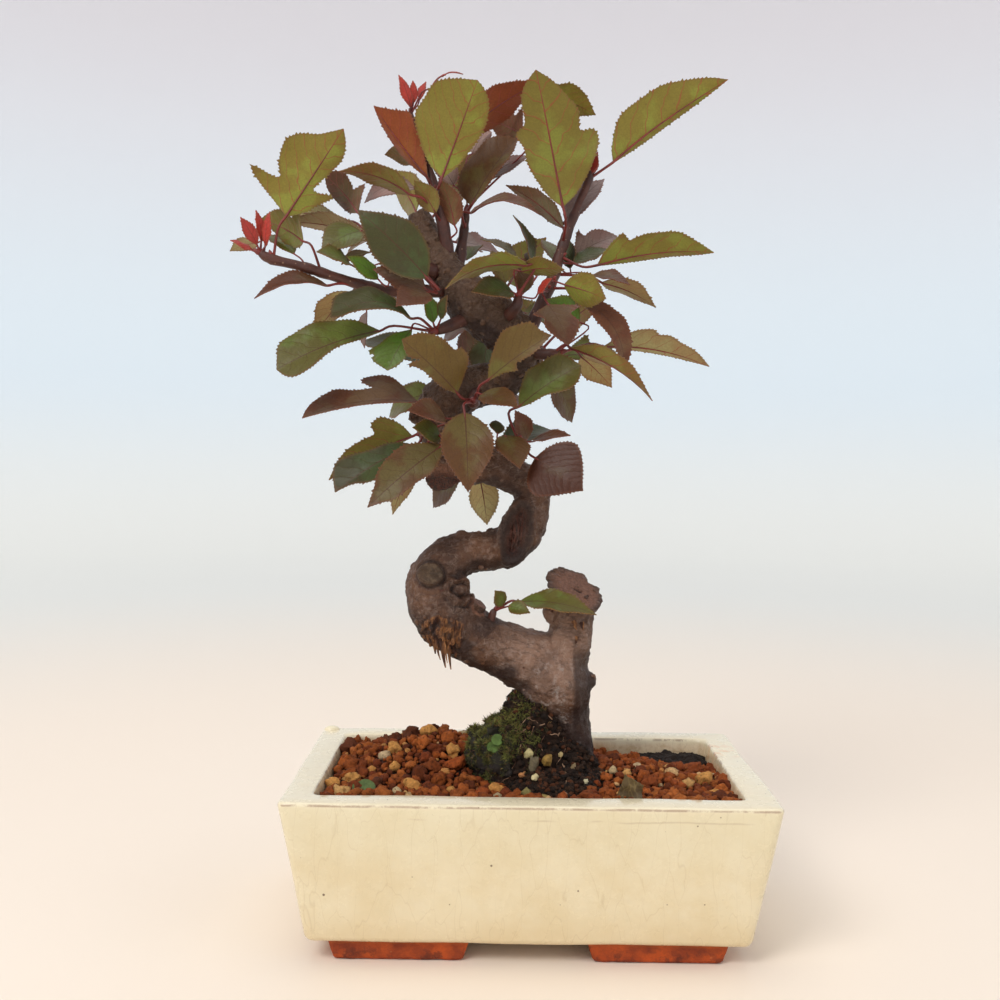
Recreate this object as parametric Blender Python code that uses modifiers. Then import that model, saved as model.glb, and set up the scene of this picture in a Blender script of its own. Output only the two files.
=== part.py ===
"""Apple bonsai with a twisted trunk in a shallow glazed pot, at its real size.

Every named size is in millimetres and MM turns it into Blender's metres. +X is the viewer's right, +Y is away
from the viewer and +Z is up. The pot stands on z = 0 with its centre on the Z axis, and at the end one empty
moves the whole tree so that the middle of its box is over the origin.
"""

import math
import random
from dataclasses import dataclass

import bmesh
import bpy
from mathutils import Matrix, Vector, noise
from mathutils.bvhtree import BVHTree
from mathutils.geometry import delaunay_2d_cdt

MM = 0.001
GAP = 0.3           # clearance left between neighbouring pieces
GROW = 0.5          # how much wider than the wood its hole in the soil is, all round

# Pot
POT_X = 1.3                        # the pot's middle, a little to the right of the middle of the leaves
RIM_X, RIM_Y = 86.5, 52.5          # half length and half depth at the rim
FOOT_X, FOOT_Y = 78.0, 45.0        # half length and half depth at the underside
POT_TOP, POT_UNDER = 58.5, 7.0     # heights of the rim and of the underside
WALL_TOP, WALL_LOW = 11.0, 10.0    # wall thickness at the rim and near the floor
FLOOR_TOP = 16.0
CORNER, INNER_CORNER = 3.2, 2.5    # radii of the upright corners
EDGE_LOW, EDGE_HIGH = 2.6, 1.4     # rounding of the pot's lower edge and of its rim
DRAIN_X, DRAIN_RADIUS = 38.0, 7.0
SCREEN_SIDE, SCREEN_THICK, SCREEN_BARS = 24.0, 1.0, 3
FOOT_OUT, FOOT_IN = 70.5, 20.4     # outer and inner end of a foot along the front
FOOT_WIDE, FOOT_BACK = 9.0, 15.0   # width of a foot's arms, and where its side arm ends
FOOT_SLANT = 2.4                   # how much shorter a foot is where it meets the table, at each end

# Soil and what lies on it
SOIL_TOP = 46.0
GRANULE = 7.8                      # spacing of the granules
GRANULE_HIGH = 2.3

# Blades and stalks
BLADE_THICK = 0.7
STALK_HALF = 0.5                   # half the width of a leaf stalk
SHORT_STALK = 7.0                  # a stalk no longer than this is straight
STALK_BEND = 6.0                   # how far from the blade a longer one bends at most
TOOTH, LONG_GAP = 0.7, 0.2         # depth of a notch in a drawn edge, and the share of the length that has one


@dataclass
class Leaf:
    """One leaf: where its stalk leaves the stem, where its blade starts, how it points and how big it is."""

    at: float             # place of the stalk on the stem, 0 at its root and 1 at its tip
    base: tuple           # start of the blade
    heading: float        # degrees seen from the front, 0 to the right and 90 up
    lean: float           # degrees towards the viewer
    turn: float           # 90 shows the upper face to the viewer, -90 the underside, 0 an edge
    length: float
    width: float
    tint: str
    arch: float = 0.07    # height of the bow over the length
    fold: float = 14.0    # degrees that each half is raised
    left: tuple = ()      # edge of a half that isn't plain: share of the length and millimetres from the midrib
    right: tuple = ()
    sway: float = 0.0     # how far the midrib curves to the leaf's left, over the length


def lobed(half):
    """The edge of a half with one side lobe near its base, from the width that it has without the lobe."""
    return ((0.16, 0.8 * half), (0.32, 1.35 * half), (0.38, 0.85 * half), (0.62, half), (0.84, 0.6 * half))


@dataclass
class Spray:
    """A stem that grows from the trunk, with its leaves."""

    name: str
    stem: list
    radii: tuple
    leaves: list


# Trunk, from the root end to the dead tip: x, y, z and radius
TRUNK = [
    (20, 1, 40, 6.5), (20, 0, 52, 7), (19.5, 0, 62, 7), (17.5, 0, 71, 8), (14.5, 0, 80, 10.8),
    (11.5, -1, 90, 14.2), (5, -1, 97.5, 13), (-4, -2, 101, 11.5), (-13, -4, 104.5, 10.4), (-21, -6, 109, 10.6),
    (-29, -7, 115.5, 12.2), (-33.5, -7, 123.5, 12), (-34, -6, 132, 10), (-29, -5, 137.5, 8.8), (-21.5, -3, 140, 8),
    (-13, -1, 141, 7.6), (-5, 0, 144, 8.2), (-0.5, 1, 151, 8.2), (1.5, 1, 159.5, 7.2), (-0.5, 0, 166, 7.2),
    (-8, -2, 170.5, 6.9), (-17, -2, 174, 7.4), (-26, 1, 179, 8.9), (-33.5, 6, 187, 9.8), (-33, 10, 196, 9.8),
    (-25, 12, 202, 9), (-14, 12, 205, 8), (-5, 9, 211, 8), (-4.5, 4, 219, 9.2), (-13, 0, 227.5, 10.4),
    (-23, -1, 235, 9.8), (-30, 0, 243, 7.8), (-35, 1, 251.5, 6), (-40, 3, 261, 5), (-43.5, 4, 268.5, 4),
]
STUBS = [  # branches cut short: path, radii, and the cut's middle and the way that it faces
    ([(12, -1, 92), (15.5, -2, 105), (18, -2, 118), (20.5, -3, 136)], (11.5, 9, 7.8, 8.6),
     (20, -3, 126), (0.35, -0.55, 0.8)),
    ([(-27, 0, 181), (-31, -4, 173), (-34, -9, 163)], (7.5, 6.6, 6.2), (-33, -7, 168), (0.1, -0.75, -0.65)),
    ([(-14, -3, 173.5), (-20, -5, 169.5), (-23, -6, 167)], (5.0, 3.8, 3.2), (-22, -6, 168), (-0.9, -0.2, -0.4)),
    ([(-23, -8, 112), (-19.5, -9, 118.5), (-17, -10, 123)], (5.0, 3.2, 2.8), (-17.5, -10, 122), (0.6, -0.3, 0.8)),
]
KNOBS = [  # old buds, healed wounds and burrs: centre and radii
    ((8.5, -3, 117), (2.6, 2.6, 3.4)), ((21, -7, 105), (2.6, 2.4, 2.4)), ((24.5, -3, 92), (2.8, 3, 3.2)),
    ((-1, -4, 89.5), (2.8, 2.6, 2.6)), ((-36, -12, 130), (5.8, 5.4, 5.4)), ((-26.5, -11, 125), (4.2, 5.2, 8.6)),
    ((-32, -13, 118.5), (4.5, 4.5, 5.5)), ((-25, -6, 146), (2.4, 2.4, 2.4)), ((-6, -7, 145), (2.2, 2.2, 2.2)),
    ((-43, 4, 191), (2.6, 2.6, 3)), ((15, -10, 95), (2.2, 2, 2.4)),
]
TORN_WOOD = [  # splinters left where a branch was torn off: foot, tip and radius
    ((-33, -8, 120), (-27.5, -10, 99), 6.4), ((-37, -9, 118), (-34, -11, 105), 3.6),
    ((-28, -13, 117), (-23.5, -12, 101.5), 3.8),
]
SCAR_AT, SCAR_SIZE, SCAR_TILT = (-4.5, -9.8, 150.5), (4.6, 5.2, 10.5), 14.0
PALE_STONES = [(1, 67.5), (8, 65.5), (3, 64), (-1, 61), (3.5, 60), (0, 56), (5.5, 56.5), (18, 61.5),
               (22, 58), (11, 60)]   # across and up, on the front of the mound
BARE_CORNER = ((62, 34, 46), (33, 16, 8))
ROOTS = [  # from the foot of the trunk out into the soil
    [(20, 0, 58), (8, -8, 52), (-6, -14, 42)], [(20, 0, 56), (31, -9, 48), (40, -14, 38)],
    [(20, 0, 58), (12, 11, 50), (2, 22, 38)], [(20, 2, 55), (30, 12, 47), (38, 20, 34)],
]

SPRAYS = [
    Spray("left_shoot", [(-33, -4, 238), (-52, -8, 237), (-63, -9, 239), (-74, -11, 242), (-85, -13, 245),
                         (-95, -15, 247), (-99, -16, 249)], (2.6, 2.1, 1.9, 1.8, 1.7, 1.7, 1.2), [
        Leaf(.93, (-89.5, -16, 262.5), 60, -11, -75, 39.5, 24, "yellow_green", .05, 10,
             ((.15, 5), (.27, 7), (.42, 10), (.36, 3), (.6, 4.5), (.76, 5.5), (.9, 3.5)),
             ((.08, 8), (.21, 20), (.27, 10), (.42, 13), (.6, 15), (.74, 12), (.84, 6))),
        Leaf(.97, (-102, -8, 254), 190, -27, -30, 13, 7, "pale"),
        Leaf(.74, (-89, -4, 251), 144, -29, 40, 16, 9, "green"),
        Leaf(.66, (-84, -13, 254), 150, -28, -50, 23, 12, "yellow_green", left=lobed(6.5)),
        Leaf(.45, (-75, -13, 238), 194, 18, 35, 27, 12, "purple", .14),
        Leaf(.40, (-67, -4, 237), 226, -20, -35, 23, 14, "pale"),
        Leaf(.14, (-51, 4, 235), 170, -38, -40, 16, 11, "olive"),
        Leaf(.20, (-63, 8, 231), 265, -17, 30, 14, 9, "rose_grey"),
        Leaf(1, (-100, -17, 252), 120, 21, 60, 11, 5, "red"),
        Leaf(1, (-99, -14, 254), 101, 0, 40, 11, 4, "red"),
        Leaf(1, (-97, -15, 252), 82, 9, 60, 12, 4, "red"),
        Leaf(1, (-102, -15, 250), 159, 35, 30, 9, 4, "red"),
    ]),
    Spray("upper_left_spur", [(-36, -3, 245), (-48, -10, 247), (-54, -9, 251)], (3.2, 2.8, 1.8), [
        Leaf(1, (-65.5, -2, 267), 131, -20, -60, 22, 12, "brown", .07, 14,
             ((.15, 4), (.33, 7.5), (.4, 4), (.7, 5.5), (.9, 3.5)), ((.25, 4), (.55, 6), (.85, 4.5))),
        Leaf(1, (-61, -4, 257), 168, -13, -25, 35, 13, "pale"),
        Leaf(1, (-72, 6, 265), 171, -18, -20, 31, 12, "pale"),
        Leaf(1, (-63, -12, 258), 216, 24, 65, 18, 15, "green", .12),
        Leaf(.9, (-60, -9, 251), 208, 20, 30, 12, 9, "olive"),
        Leaf(.8, (-66, -19, 245), 167, 45, 35, 15, 10, "green"),
        Leaf(.8, (-56, -18, 240), 147, 27, 50, 14, 8, "bright_green"),
        Leaf(.3, (-38, -22, 240), 137, 7, 75, 34, 19, "dark_green", .08),
        Leaf(.4, (-39, -17, 237), 163, 17, 60, 20, 13, "purple"),
        Leaf(.3, (-38, -20, 235), 213, 45, 60, 17, 12, "purple"),
    ]),
    Spray("crown_shoot", [(-31, 1, 244), (-33, -3, 261), (-36, -3, 271), (-37, -3, 277), (-40, -3, 287),
                          (-46, -2, 304)], (3.0, 2.1, 1.9, 1.8, 1.0, 0.8), [
        Leaf(.35, (-45, -10, 272), 165, 12, -30, 27, 12, "olive", .12),
        Leaf(.45, (-45, 6, 278), 193, -16, 50, 21, 12, "rose_grey", .2),
        Leaf(.5, (-39.5, -6, 279.5), 128, 4, -55, 32, 14, "orange", .05, 30,
             ((.1, 2.5), (.35, 6.5), (.55, 9.5), (.68, 10.5), (.78, 7), (.9, 3)), ((.4, 4), (.75, 3)), -.04),
        Leaf(.5, (-46, 6, 289), 164, -27, -35, 13, 9, "olive"),
        Leaf(.5, (-33.5, -12, 278), 69, 11, -85, 36, 27, "yellow_green", .05, 8,
             ((.18, 4), (.4, 6.5), (.6, 8), (.8, 7), (.93, 4)),
             ((.08, 6), (.25, 12), (.47, 17), (.65, 16), (.83, 14), (.93, 8))),
        Leaf(.5, (-26, 4, 299), 36, -9, -50, 37, 15, "orange"),
        Leaf(1, (-38, -6, 312), 18, 19, 20, 13, 5, "red", .2),
        Leaf(1, (-46, -3, 306), 112, 10, 60, 12, 4.5, "red"),
        Leaf(1, (-45, -2, 308), 93, 0, 60, 8, 3.5, "red"),
        Leaf(1, (-43, 1, 310), 70, 0, 60, 7, 3.5, "red"),
        Leaf(.3, (-36, -8, 266), 125, 17, -60, 14, 9, "olive"),
        Leaf(.2, (-29, -6, 262), 107, 14, -60, 17, 10, "brown"),
        Leaf(.4, (-30, 4, 279), 127, -22, 60, 16, 10, "rose_grey"),
    ]),
    Spray("crown_side_spur", [(-28, 3, 246), (-26, 5, 261), (-25, 3, 269)], (2.4, 1.7, 1.2), [
        Leaf(1, (-23, -2, 270), 57, -7, 60, 31.5, 17, "brown", .07, 14,
             ((.09, 7.5), (.24, 10), (.45, 10.5), (.74, 10), (.9, 6)), ((.3, 2.5), (.75, 3))),
        Leaf(1, (-23, 11, 293), 61, -26, 60, 14, 10, "rose_grey"),
        Leaf(.9, (-17, 8, 282), 35, -17, 45, 20, 11, "rose_grey"),
        Leaf(.7, (-23, -4, 267), 355, 21, 30, 27, 13, "purple", .18),
        Leaf(1, (-4, 14, 301), 149, -21, -60, 18, 13, "brown", left=lobed(6)),
        Leaf(.3, (-25, 10, 252), 51, -41, 45, 12, 9, "green"),
    ]),
    Spray("right_shoot", [(-1, 3, 223), (8, 2, 244), (10, 2, 251), (13, 2, 260), (17, 1, 271), (20, 0, 278),
                          (22, 0, 284)], (2.8, 2.1, 1.9, 1.7, 1.6, 1.6, 1.2), [
        Leaf(.55, (11, -8, 269), 103, 8, -85, 49, 26, "yellow_green", .05, 8,
             ((.08, 6), (.23, 12.5), (.39, 17), (.5, 16.5), (.52, 11.5), (.66, 12), (.79, 8.5), (.9, 5)),
             ((.12, 5), (.34, 9.5), (.48, 10), (.59, 12), (.66, 8), (.82, 7.5), (.92, 5))),
        Leaf(.60, (12, 6, 264), 143, -8, -25, 28, 12, "grey_green", .07),
        Leaf(.72, (13, 8, 267), 49, -15, 60, 24, 12, "rose_grey"),
        Leaf(.95, (30, -2, 287), 35.5, 5, -60, 51, 20, "yellow_green", .08, 25,
             ((.3, 2.5), (.7, 2)), ((.06, 5), (.22, 11), (.42, 12), (.6, 11.5), (.8, 7), (.92, 3.5))),
        Leaf(.95, (4.5, 7, 315), 339, -6, -40, 21, 13, "yellow_green"),
        Leaf(.48, (17, 10, 254), 28, -18, 60, 20, 13, "rose_grey", left=lobed(6)),
        Leaf(.45, (16, 4, 250), 24, -8, 40, 15, 9, "dark_green"),
        Leaf(.42, (15, 8, 249), 90, -11, 60, 11, 7, "dark_green"),
        Leaf(.48, (24.5, -6, 248), 5, 12, -40, 42.5, 16, "yellow_green", .07, 14,
             ((.3, 3), (.6, 3), (.85, 2)), ((.08, 5), (.24, 10.5), (.3, 7), (.5, 9.5), (.7, 8.5), (.84, 5))),
        Leaf(.38, (23, 0, 245), 344, 17, 35, 15, 10, "purple"),
        Leaf(.38, (27, 4, 243), 339, -15, -30, 24, 11, "pale"),
        Leaf(.33, (12, -10, 240), 337, 28, -60, 18, 13, "yellow_green"),
        Leaf(.30, (18, -5, 235), 302, 15, 60, 32, 14, "purple", .1, 14,
             ((.1, 4), (.4, 5.5), (.65, 5), (.86, 3)), ((.3, 4.5), (.6, 3.5), (.85, 2)), .12),
        Leaf(.28, (6, -14, 232), 295, 27, 70, 19, 15, "purple", left=lobed(6.5), right=lobed(7)),
        Leaf(.45, (10, 12, 252), 120, -35, 50, 14, 9, "grey_green"),
        Leaf(1, (22, -1, 283), 75, 10, 50, 8, 4, "red"),
        Leaf(1, (23, 3, 284), 100, -10, 50, 7, 4, "red"),
    ]),
    Spray("right_middle_spur", [(-4, 4, 217), (6, -2, 215), (11, -2, 216)], (2.6, 2.0, 1.3), [
        Leaf(1, (18, -4, 227), 149, 22, 60, 16, 12, "bright_green"),
        Leaf(1, (28.5, 6, 219), 351, -8, -40, 42.5, 17, "pale", .08, 14,
             ((.35, 2.5), (.75, 2)), ((.1, 4), (.26, 8), (.4, 9), (.46, 7), (.57, 8), (.68, 6), (.84, 4))),
        Leaf(1, (20, 2, 216), 339, -12, -30, 19, 10, "pale"),
        Leaf(1, (20, 8, 215), 320, -32, -60, 20, 12, "pale"),
        Leaf(.8, (15, -6, 217), 325.5, 23, -20, 38, 12, "olive", .08, 35),
    ]),
    Spray("inner_spur", [(-12, -2, 226), (-6, -12, 231), (-5, -12, 235)], (2.8, 2.0, 1.3), [
        Leaf(1, (-2, -18, 245.5), 199, 16, -20, 32, 13, "yellow_green", .13),
        Leaf(1, (-4, -14, 244), 357, 33, -30, 18, 10, "yellow_green"),
        Leaf(1, (-7, -16, 236), 185, 33, 50, 18, 12, "dark_green"),
        Leaf(.9, (-10, -6, 241), 112, -23, 60, 15, 11, "olive"),
        Leaf(1, (0, 2, 250), 111, -16, 25, 21, 9, "dark_green"),
        Leaf(1, (-6, 4, 252), 149, -26, 25, 18, 8, "pale"),
        Leaf(1, (0, 3, 247), 98, -35, 50, 10, 7, "olive"),
        Leaf(1, (-3, -9, 237), 95, 11, 60, 11, 8, "brown"),
        Leaf(1, (2, -13, 236), 45, 39, 30, 9, 5, "red"),
    ]),
    Spray("left_middle_spur", [(-22, -3, 229), (-31, -10, 224), (-35, -14, 222)], (2.8, 2.2, 1.6), [
        Leaf(1, (-36, -15, 225), 104, 14, 60, 11, 6, "bright_green"),
        Leaf(1, (-33, -18, 226), 72, 37, 50, 10, 5, "dark_green"),
        Leaf(1, (-44, -17, 226), 182, 16, 40, 29, 14, "dark_green", .24, 14,
             ((.2, 3), (.45, 5), (.75, 4), (.9, 3)), ((.15, 3.5), (.4, 7.5), (.7, 9), (.9, 8.5), (.97, 4))),
        Leaf(1, (-56, -10, 222), 204, 20, 60, 41, 18, "green", .07, 14,
             ((.2, 2), (.45, 2.5), (.6, 4.5), (.75, 7), (.88, 7.5), (.96, 5)),
             ((.16, 6), (.34, 9), (.5, 10.5), (.65, 10.5), (.81, 9.5), (.9, 7.5), (.95, 4))),
        Leaf(1, (-44, -15, 222), 243, 22, 70, 18.5, 14, "bright_green", .07, 14,
             ((.18, 2), (.5, 4.5), (.78, 3.5)), ((.3, 5), (.55, 7), (.79, 9.5), (.84, 7), (.94, 6.5))),
    ]),
    Spray("lower_left_spur", [(-33, 4, 188), (-39, -6, 186), (-39, -11, 185)], (2.8, 2.3, 1.6), [
        Leaf(.5, (-41.5, -9, 196), 189, 10, 35, 43, 16, "purple", .08, 14,
             ((.4, 3), (.75, 2.5)),
             ((.07, 5), (.14, 10), (.25, 13.5), (.38, 14), (.44, 11.5), (.37, 7.5), (.54, 6.5), (.7, 9), (.84, 7),
              (.94, 4))),
        Leaf(1, (-31, -17, 190), 170, 42, 45, 18, 11, "purple"),
        Leaf(1, (-33, -15, 183), 160, 39, 50, 13, 10, "green"),
        Leaf(.8, (-44, -3, 183.5), 208, -6, -45, 36.5, 16, "yellow_green", .07, 14,
             ((.05, 7), (.17, 11), (.31, 10), (.34, 6.5), (.5, 6.5), (.66, 6), (.82, 4)),
             ((.35, 2.5), (.75, 2))),
        Leaf(.8, (-43, -9, 180), 212, 14, 60, 34, 15, "dark_green", .07, 14,
             ((.3, 5), (.6, 7), (.8, 2)), ((.1, 3), (.25, 5), (.45, 6), (.68, 8), (.83, 8.5), (.92, 5.5))),
        Leaf(1, (-32, -20, 180), 221, 18, 70, 35.5, 18, "brown", .05, 12,
             ((.08, 3), (.27, 6.5), (.45, 6), (.75, 5), (.87, 2.5)),
             ((.1, 4), (.3, 8), (.5, 8.5), (.7, 6.5), (.82, 3.5))),
        Leaf(.8, (-38, -16, 180), 245, 4, -50, 28, 13, "pale"),
    ]),
    Spray("front_spur", [(-20, 10, 203), (-21, -2, 197), (-21, -9, 197)], (2.8, 2.3, 1.6), [
        Leaf(1, (-24, -18, 192), 274, 23, 80, 31, 19, "brown", .07, 12),
        Leaf(.8, (-15.5, -13, 204.5), 35, 20, 70, 29, 15, "olive", .07, 14,
             ((.15, 4.5), (.34, 8), (.55, 10), (.76, 9), (.88, 7.5), (.92, 3.5)),
             ((.25, 2), (.42, 4.5), (.46, 2), (.7, 2.5))),
        Leaf(.9, (-18, -14, 199), 339, 41, 50, 19, 11, "brown"),
        Leaf(.9, (-27, -14, 199.5), 137, 24, 75, 29, 20, "olive", .08, 12,
             ((.27, 3), (.58, 3.5), (.76, 5.5), (.68, 1.5), (.83, 3)),
             ((.08, 5), (.22, 11), (.37, 12.5), (.44, 10), (.68, 9.5), (.89, 6))),
    ]),
    Spray("lower_right_spur", [(-5, -2, 169), (-5, -8, 178), (-4, -12, 182)], (2.6, 2.0, 1.4), [
        Leaf(1, (-1, -8, 183), 114, 28, 60, 13, 8, "purple"),
        Leaf(1, (1, -10, 182), 10, 30, 20, 16, 8, "purple"),
        Leaf(1, (2, -15, 176), 326, 27, 80, 23, 24, "brown", .06, 8),
        Leaf(.9, (-9, -14, 184), 294, 44, 60, 18, 13, "brown"),
        Leaf(.8, (-12, -2, 185), 99, -50, 60, 8, 6, "dark_green"),
        Leaf(.9, (-4, -10, 195), 34, 14, 65, 27.5, 16, "green", .07, 14,
             ((.1, 4), (.32, 8), (.52, 8.5), (.7, 8), (.86, 7)),
             ((.15, 2), (.4, 3.5), (.6, 6), (.8, 7.5), (.92, 5))),
    ]),
    Spray("trunk_sprout", [(-15, -6, 108), (-13, -9, 117), (-12, -9, 119)], (1.8, 1.5, 0.9), [
        Leaf(1, (-3, -9, 122), 354, 19, 30, 30, 12, "green", .08),
        Leaf(1, (-7, -13, 121), 347, 25, 60, 9, 6, "green"),
        Leaf(1, (-9, -9, 121), 118, 33, 60, 8, 6, "green"),
    ]),
    Spray("crown_back_spur", [(-37, 2, 255), (-40, 14, 262), (-41, 20, 268)], (2.4, 1.9, 1.3), [
        Leaf(1, (-46, 28, 274), 125, -35, -50, 30, 16, "yellow_green"),
        Leaf(1, (-34, 26, 278), 62, -25, -60, 28, 15, "olive"),
        Leaf(.8, (-52, 24, 262), 190, -30, 30, 27, 14, "dark_green", .12),
        Leaf(.9, (-30, 28, 262), 350, -35, 40, 24, 13, "rose_grey", right=lobed(6)),
    ]),
    Spray("back_upper_spur", [(-14, 2, 228), (-15, 14, 233), (-16, 20, 238)], (2.8, 2.2, 1.5), [
        Leaf(1, (-24, 28, 244), 150, -40, -50, 30, 16, "olive"),
        Leaf(1, (-8, 28, 246), 55, -30, -60, 30, 16, "yellow_green", left=lobed(7.5)),
        Leaf(1, (-18, 32, 232), 205, -45, 40, 28, 15, "purple", .12),
        Leaf(1, (-2, 28, 234), 345, -40, 40, 30, 15, "green", .1),
        Leaf(.9, (-16, 28, 224), 265, -40, 50, 24, 14, "dark_green"),
    ]),
    Spray("back_middle_spur", [(-30, 12, 199), (-32, 24, 204), (-33, 30, 208)], (2.8, 2.2, 1.5), [
        Leaf(1, (-42, 34, 214), 160, -25, 40, 32, 16, "dark_green", .1, 14, lobed(7.5)),
        Leaf(1, (-26, 38, 214), 60, -35, -60, 27, 15, "brown"),
        Leaf(1, (-38, 38, 202), 205, -40, 45, 30, 15, "green", .12),
        Leaf(.9, (-22, 42, 204), 345, -40, 45, 28, 15, "purple", .1),
        Leaf(.9, (-32, 34, 194), 262, -35, 60, 26, 16, "olive"),
    ]),
    Spray("back_right_spur", [(-4, 7, 214), (2, 18, 216), (5, 23, 219)], (2.6, 2.0, 1.4), [
        Leaf(1, (12, 25, 226), 40, -30, -50, 30, 15, "olive"),
        Leaf(1, (14, 28, 217), 350, -25, 40, 32, 15, "green", .12, 14, lobed(7)),
        Leaf(.9, (8, 30, 210), 300, -35, 50, 27, 14, "brown"),
        Leaf(1, (2, 32, 228), 110, -48, -60, 24, 14, "yellow_green"),
    ]),
    Spray("lower_back_spur", [(-18, -1, 174), (-19, 10, 178), (-20, 14, 178)], (2.4, 2.0, 1.4), [
        Leaf(1, (-19, 11, 169), 280, 12, -75, 20, 12, "yellow_green"),
        Leaf(1, (-10, 20, 180), 20, -35, 40, 26, 14, "dark_green", .1),
        Leaf(1, (-26, 22, 172), 235, -35, 50, 26, 14, "brown"),
    ]),
]

TINTS = {
    "green": (0.090, 0.130, 0.035), "bright_green": (0.115, 0.200, 0.040), "dark_green": (0.055, 0.070, 0.040),
    "olive": (0.130, 0.125, 0.045), "yellow_green": (0.270, 0.260, 0.060), "pale": (0.420, 0.380, 0.200),
    "grey_green": (0.160, 0.160, 0.100), "brown": (0.130, 0.075, 0.045), "purple": (0.120, 0.060, 0.055),
    "rose_grey": (0.290, 0.190, 0.180), "orange": (0.330, 0.100, 0.025), "red": (0.420, 0.030, 0.025),
}
STEM_TINT = (0.075, 0.028, 0.024)


def clear_scene():
    """Empties the file, so that the script gives the same tree wherever it is run."""
    for obj in list(bpy.data.objects):
        bpy.data.objects.remove(obj, do_unlink=True)


def collection(name):
    """A collection in the scene, made when it is first asked for."""
    found = bpy.data.collections.get(name)
    if found is None:
        found = bpy.data.collections.new(name)
        bpy.context.scene.collection.children.link(found)
    return found


def material(name, color, roughness):
    """A plain Principled material, made once."""
    found = bpy.data.materials.get(name)
    if found is None:
        found = bpy.data.materials.new(name)
        found.use_nodes = True
        shader = found.node_tree.nodes["Principled BSDF"]
        shader.inputs["Base Color"].default_value = (*color, 1)
        shader.inputs["Roughness"].default_value = roughness
    return found


def add_object(name, mesh, group, finish=None):
    """Puts a mesh in the scene as an object of the named collection."""
    obj = bpy.data.objects.new(name, mesh)
    collection(group).objects.link(obj)
    if finish is not None:
        mesh.materials.clear()
        mesh.materials.append(finish)
    return obj


def from_bmesh(name, shape, group="helpers", finish=None):
    """Turns a bmesh in millimetres into an object in metres."""
    bmesh.ops.scale(shape, vec=(MM, MM, MM), verts=shape.verts)
    mesh = bpy.data.meshes.new(name)
    shape.to_mesh(mesh)
    shape.free()
    return add_object(name, mesh, group, finish)


def rounded_ring(half_x, half_y, corner, segments):
    """Points round a rectangle with round corners, from half sizes, about the pot's middle."""
    points = []
    for number, (side_x, side_y) in enumerate(((1, 1), (-1, 1), (-1, -1), (1, -1))):
        for step in range(segments + 1):
            angle = math.radians(90 * (number + step / segments))
            points.append((POT_X + side_x * (half_x - corner) + corner * math.cos(angle),
                           side_y * (half_y - corner) + corner * math.sin(angle)))
    return points


def lofted_block(name, levels, segments=3):
    """A closed block through rounded rectangles, given as (height, half x, half y, corner) from the bottom up."""
    shape = bmesh.new()
    low, *others = levels
    verts = [shape.verts.new((x, y, low[0])) for x, y in rounded_ring(*low[1:], segments)]
    face = shape.faces.new(verts)
    for height, *sizes in others:
        grown = bmesh.ops.extrude_face_region(shape, geom=[face])["geom"]
        if height != others[0][0]:
            bmesh.ops.delete(shape, geom=[face], context="FACES_ONLY")
        face = next(item for item in grown if isinstance(item, bmesh.types.BMFace))
        for vert, (x, y) in zip(face.verts, rounded_ring(*sizes, segments)):
            vert.co = Vector((x, y, height))
    bmesh.ops.recalc_face_normals(shape, faces=shape.faces)
    return from_bmesh(name, shape)


def plain_block(name, low, high, low_z, high_z, corner):
    """A block from one rounded rectangle (half sizes) to another."""
    return lofted_block(name, [(low_z, *low, corner), (high_z, *high, corner)], 2)


def ball(name, centre, radii, segments=12, rings=6):
    """A stretched sphere."""
    shape = bmesh.new()
    bmesh.ops.create_uvsphere(shape, u_segments=segments, v_segments=rings, radius=1)
    bmesh.ops.scale(shape, vec=radii, verts=shape.verts)
    bmesh.ops.translate(shape, vec=centre, verts=shape.verts)
    return from_bmesh(name, shape)


def stone(name, centre, radii, seed):
    """A rough lump with twenty faces."""
    draw = random.Random(seed)
    shape = bmesh.new()
    bmesh.ops.create_icosphere(shape, subdivisions=1, radius=1)
    for vert in shape.verts:
        vert.co = vert.co * draw.uniform(0.85, 1.15)
    bmesh.ops.scale(shape, vec=radii, verts=shape.verts)
    bmesh.ops.rotate(shape, matrix=Matrix.Rotation(draw.uniform(0, 6), 3, "Z"), verts=shape.verts)
    bmesh.ops.translate(shape, vec=centre, verts=shape.verts)
    return from_bmesh(name, shape)


def smooth_path(points, per_span):
    """Points of any size (x, y, z and more) along a Catmull-Rom curve through the given ones."""
    rows = [tuple(map(float, p)) for p in points]
    rows = [rows[0], *rows, rows[-1]]
    found = []
    for a, b, c, d in zip(rows, rows[1:], rows[2:], rows[3:]):
        for step in range(per_span):
            t = step / per_span
            found.append(tuple(
                0.5 * (2 * q + (r - p) * t + (2 * p - 5 * q + 4 * r - s) * t**2 + (3 * q - p - 3 * r + s) * t**3)
                for p, q, r, s in zip(a, b, c, d)))
    return [*found, rows[-1]]


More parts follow.
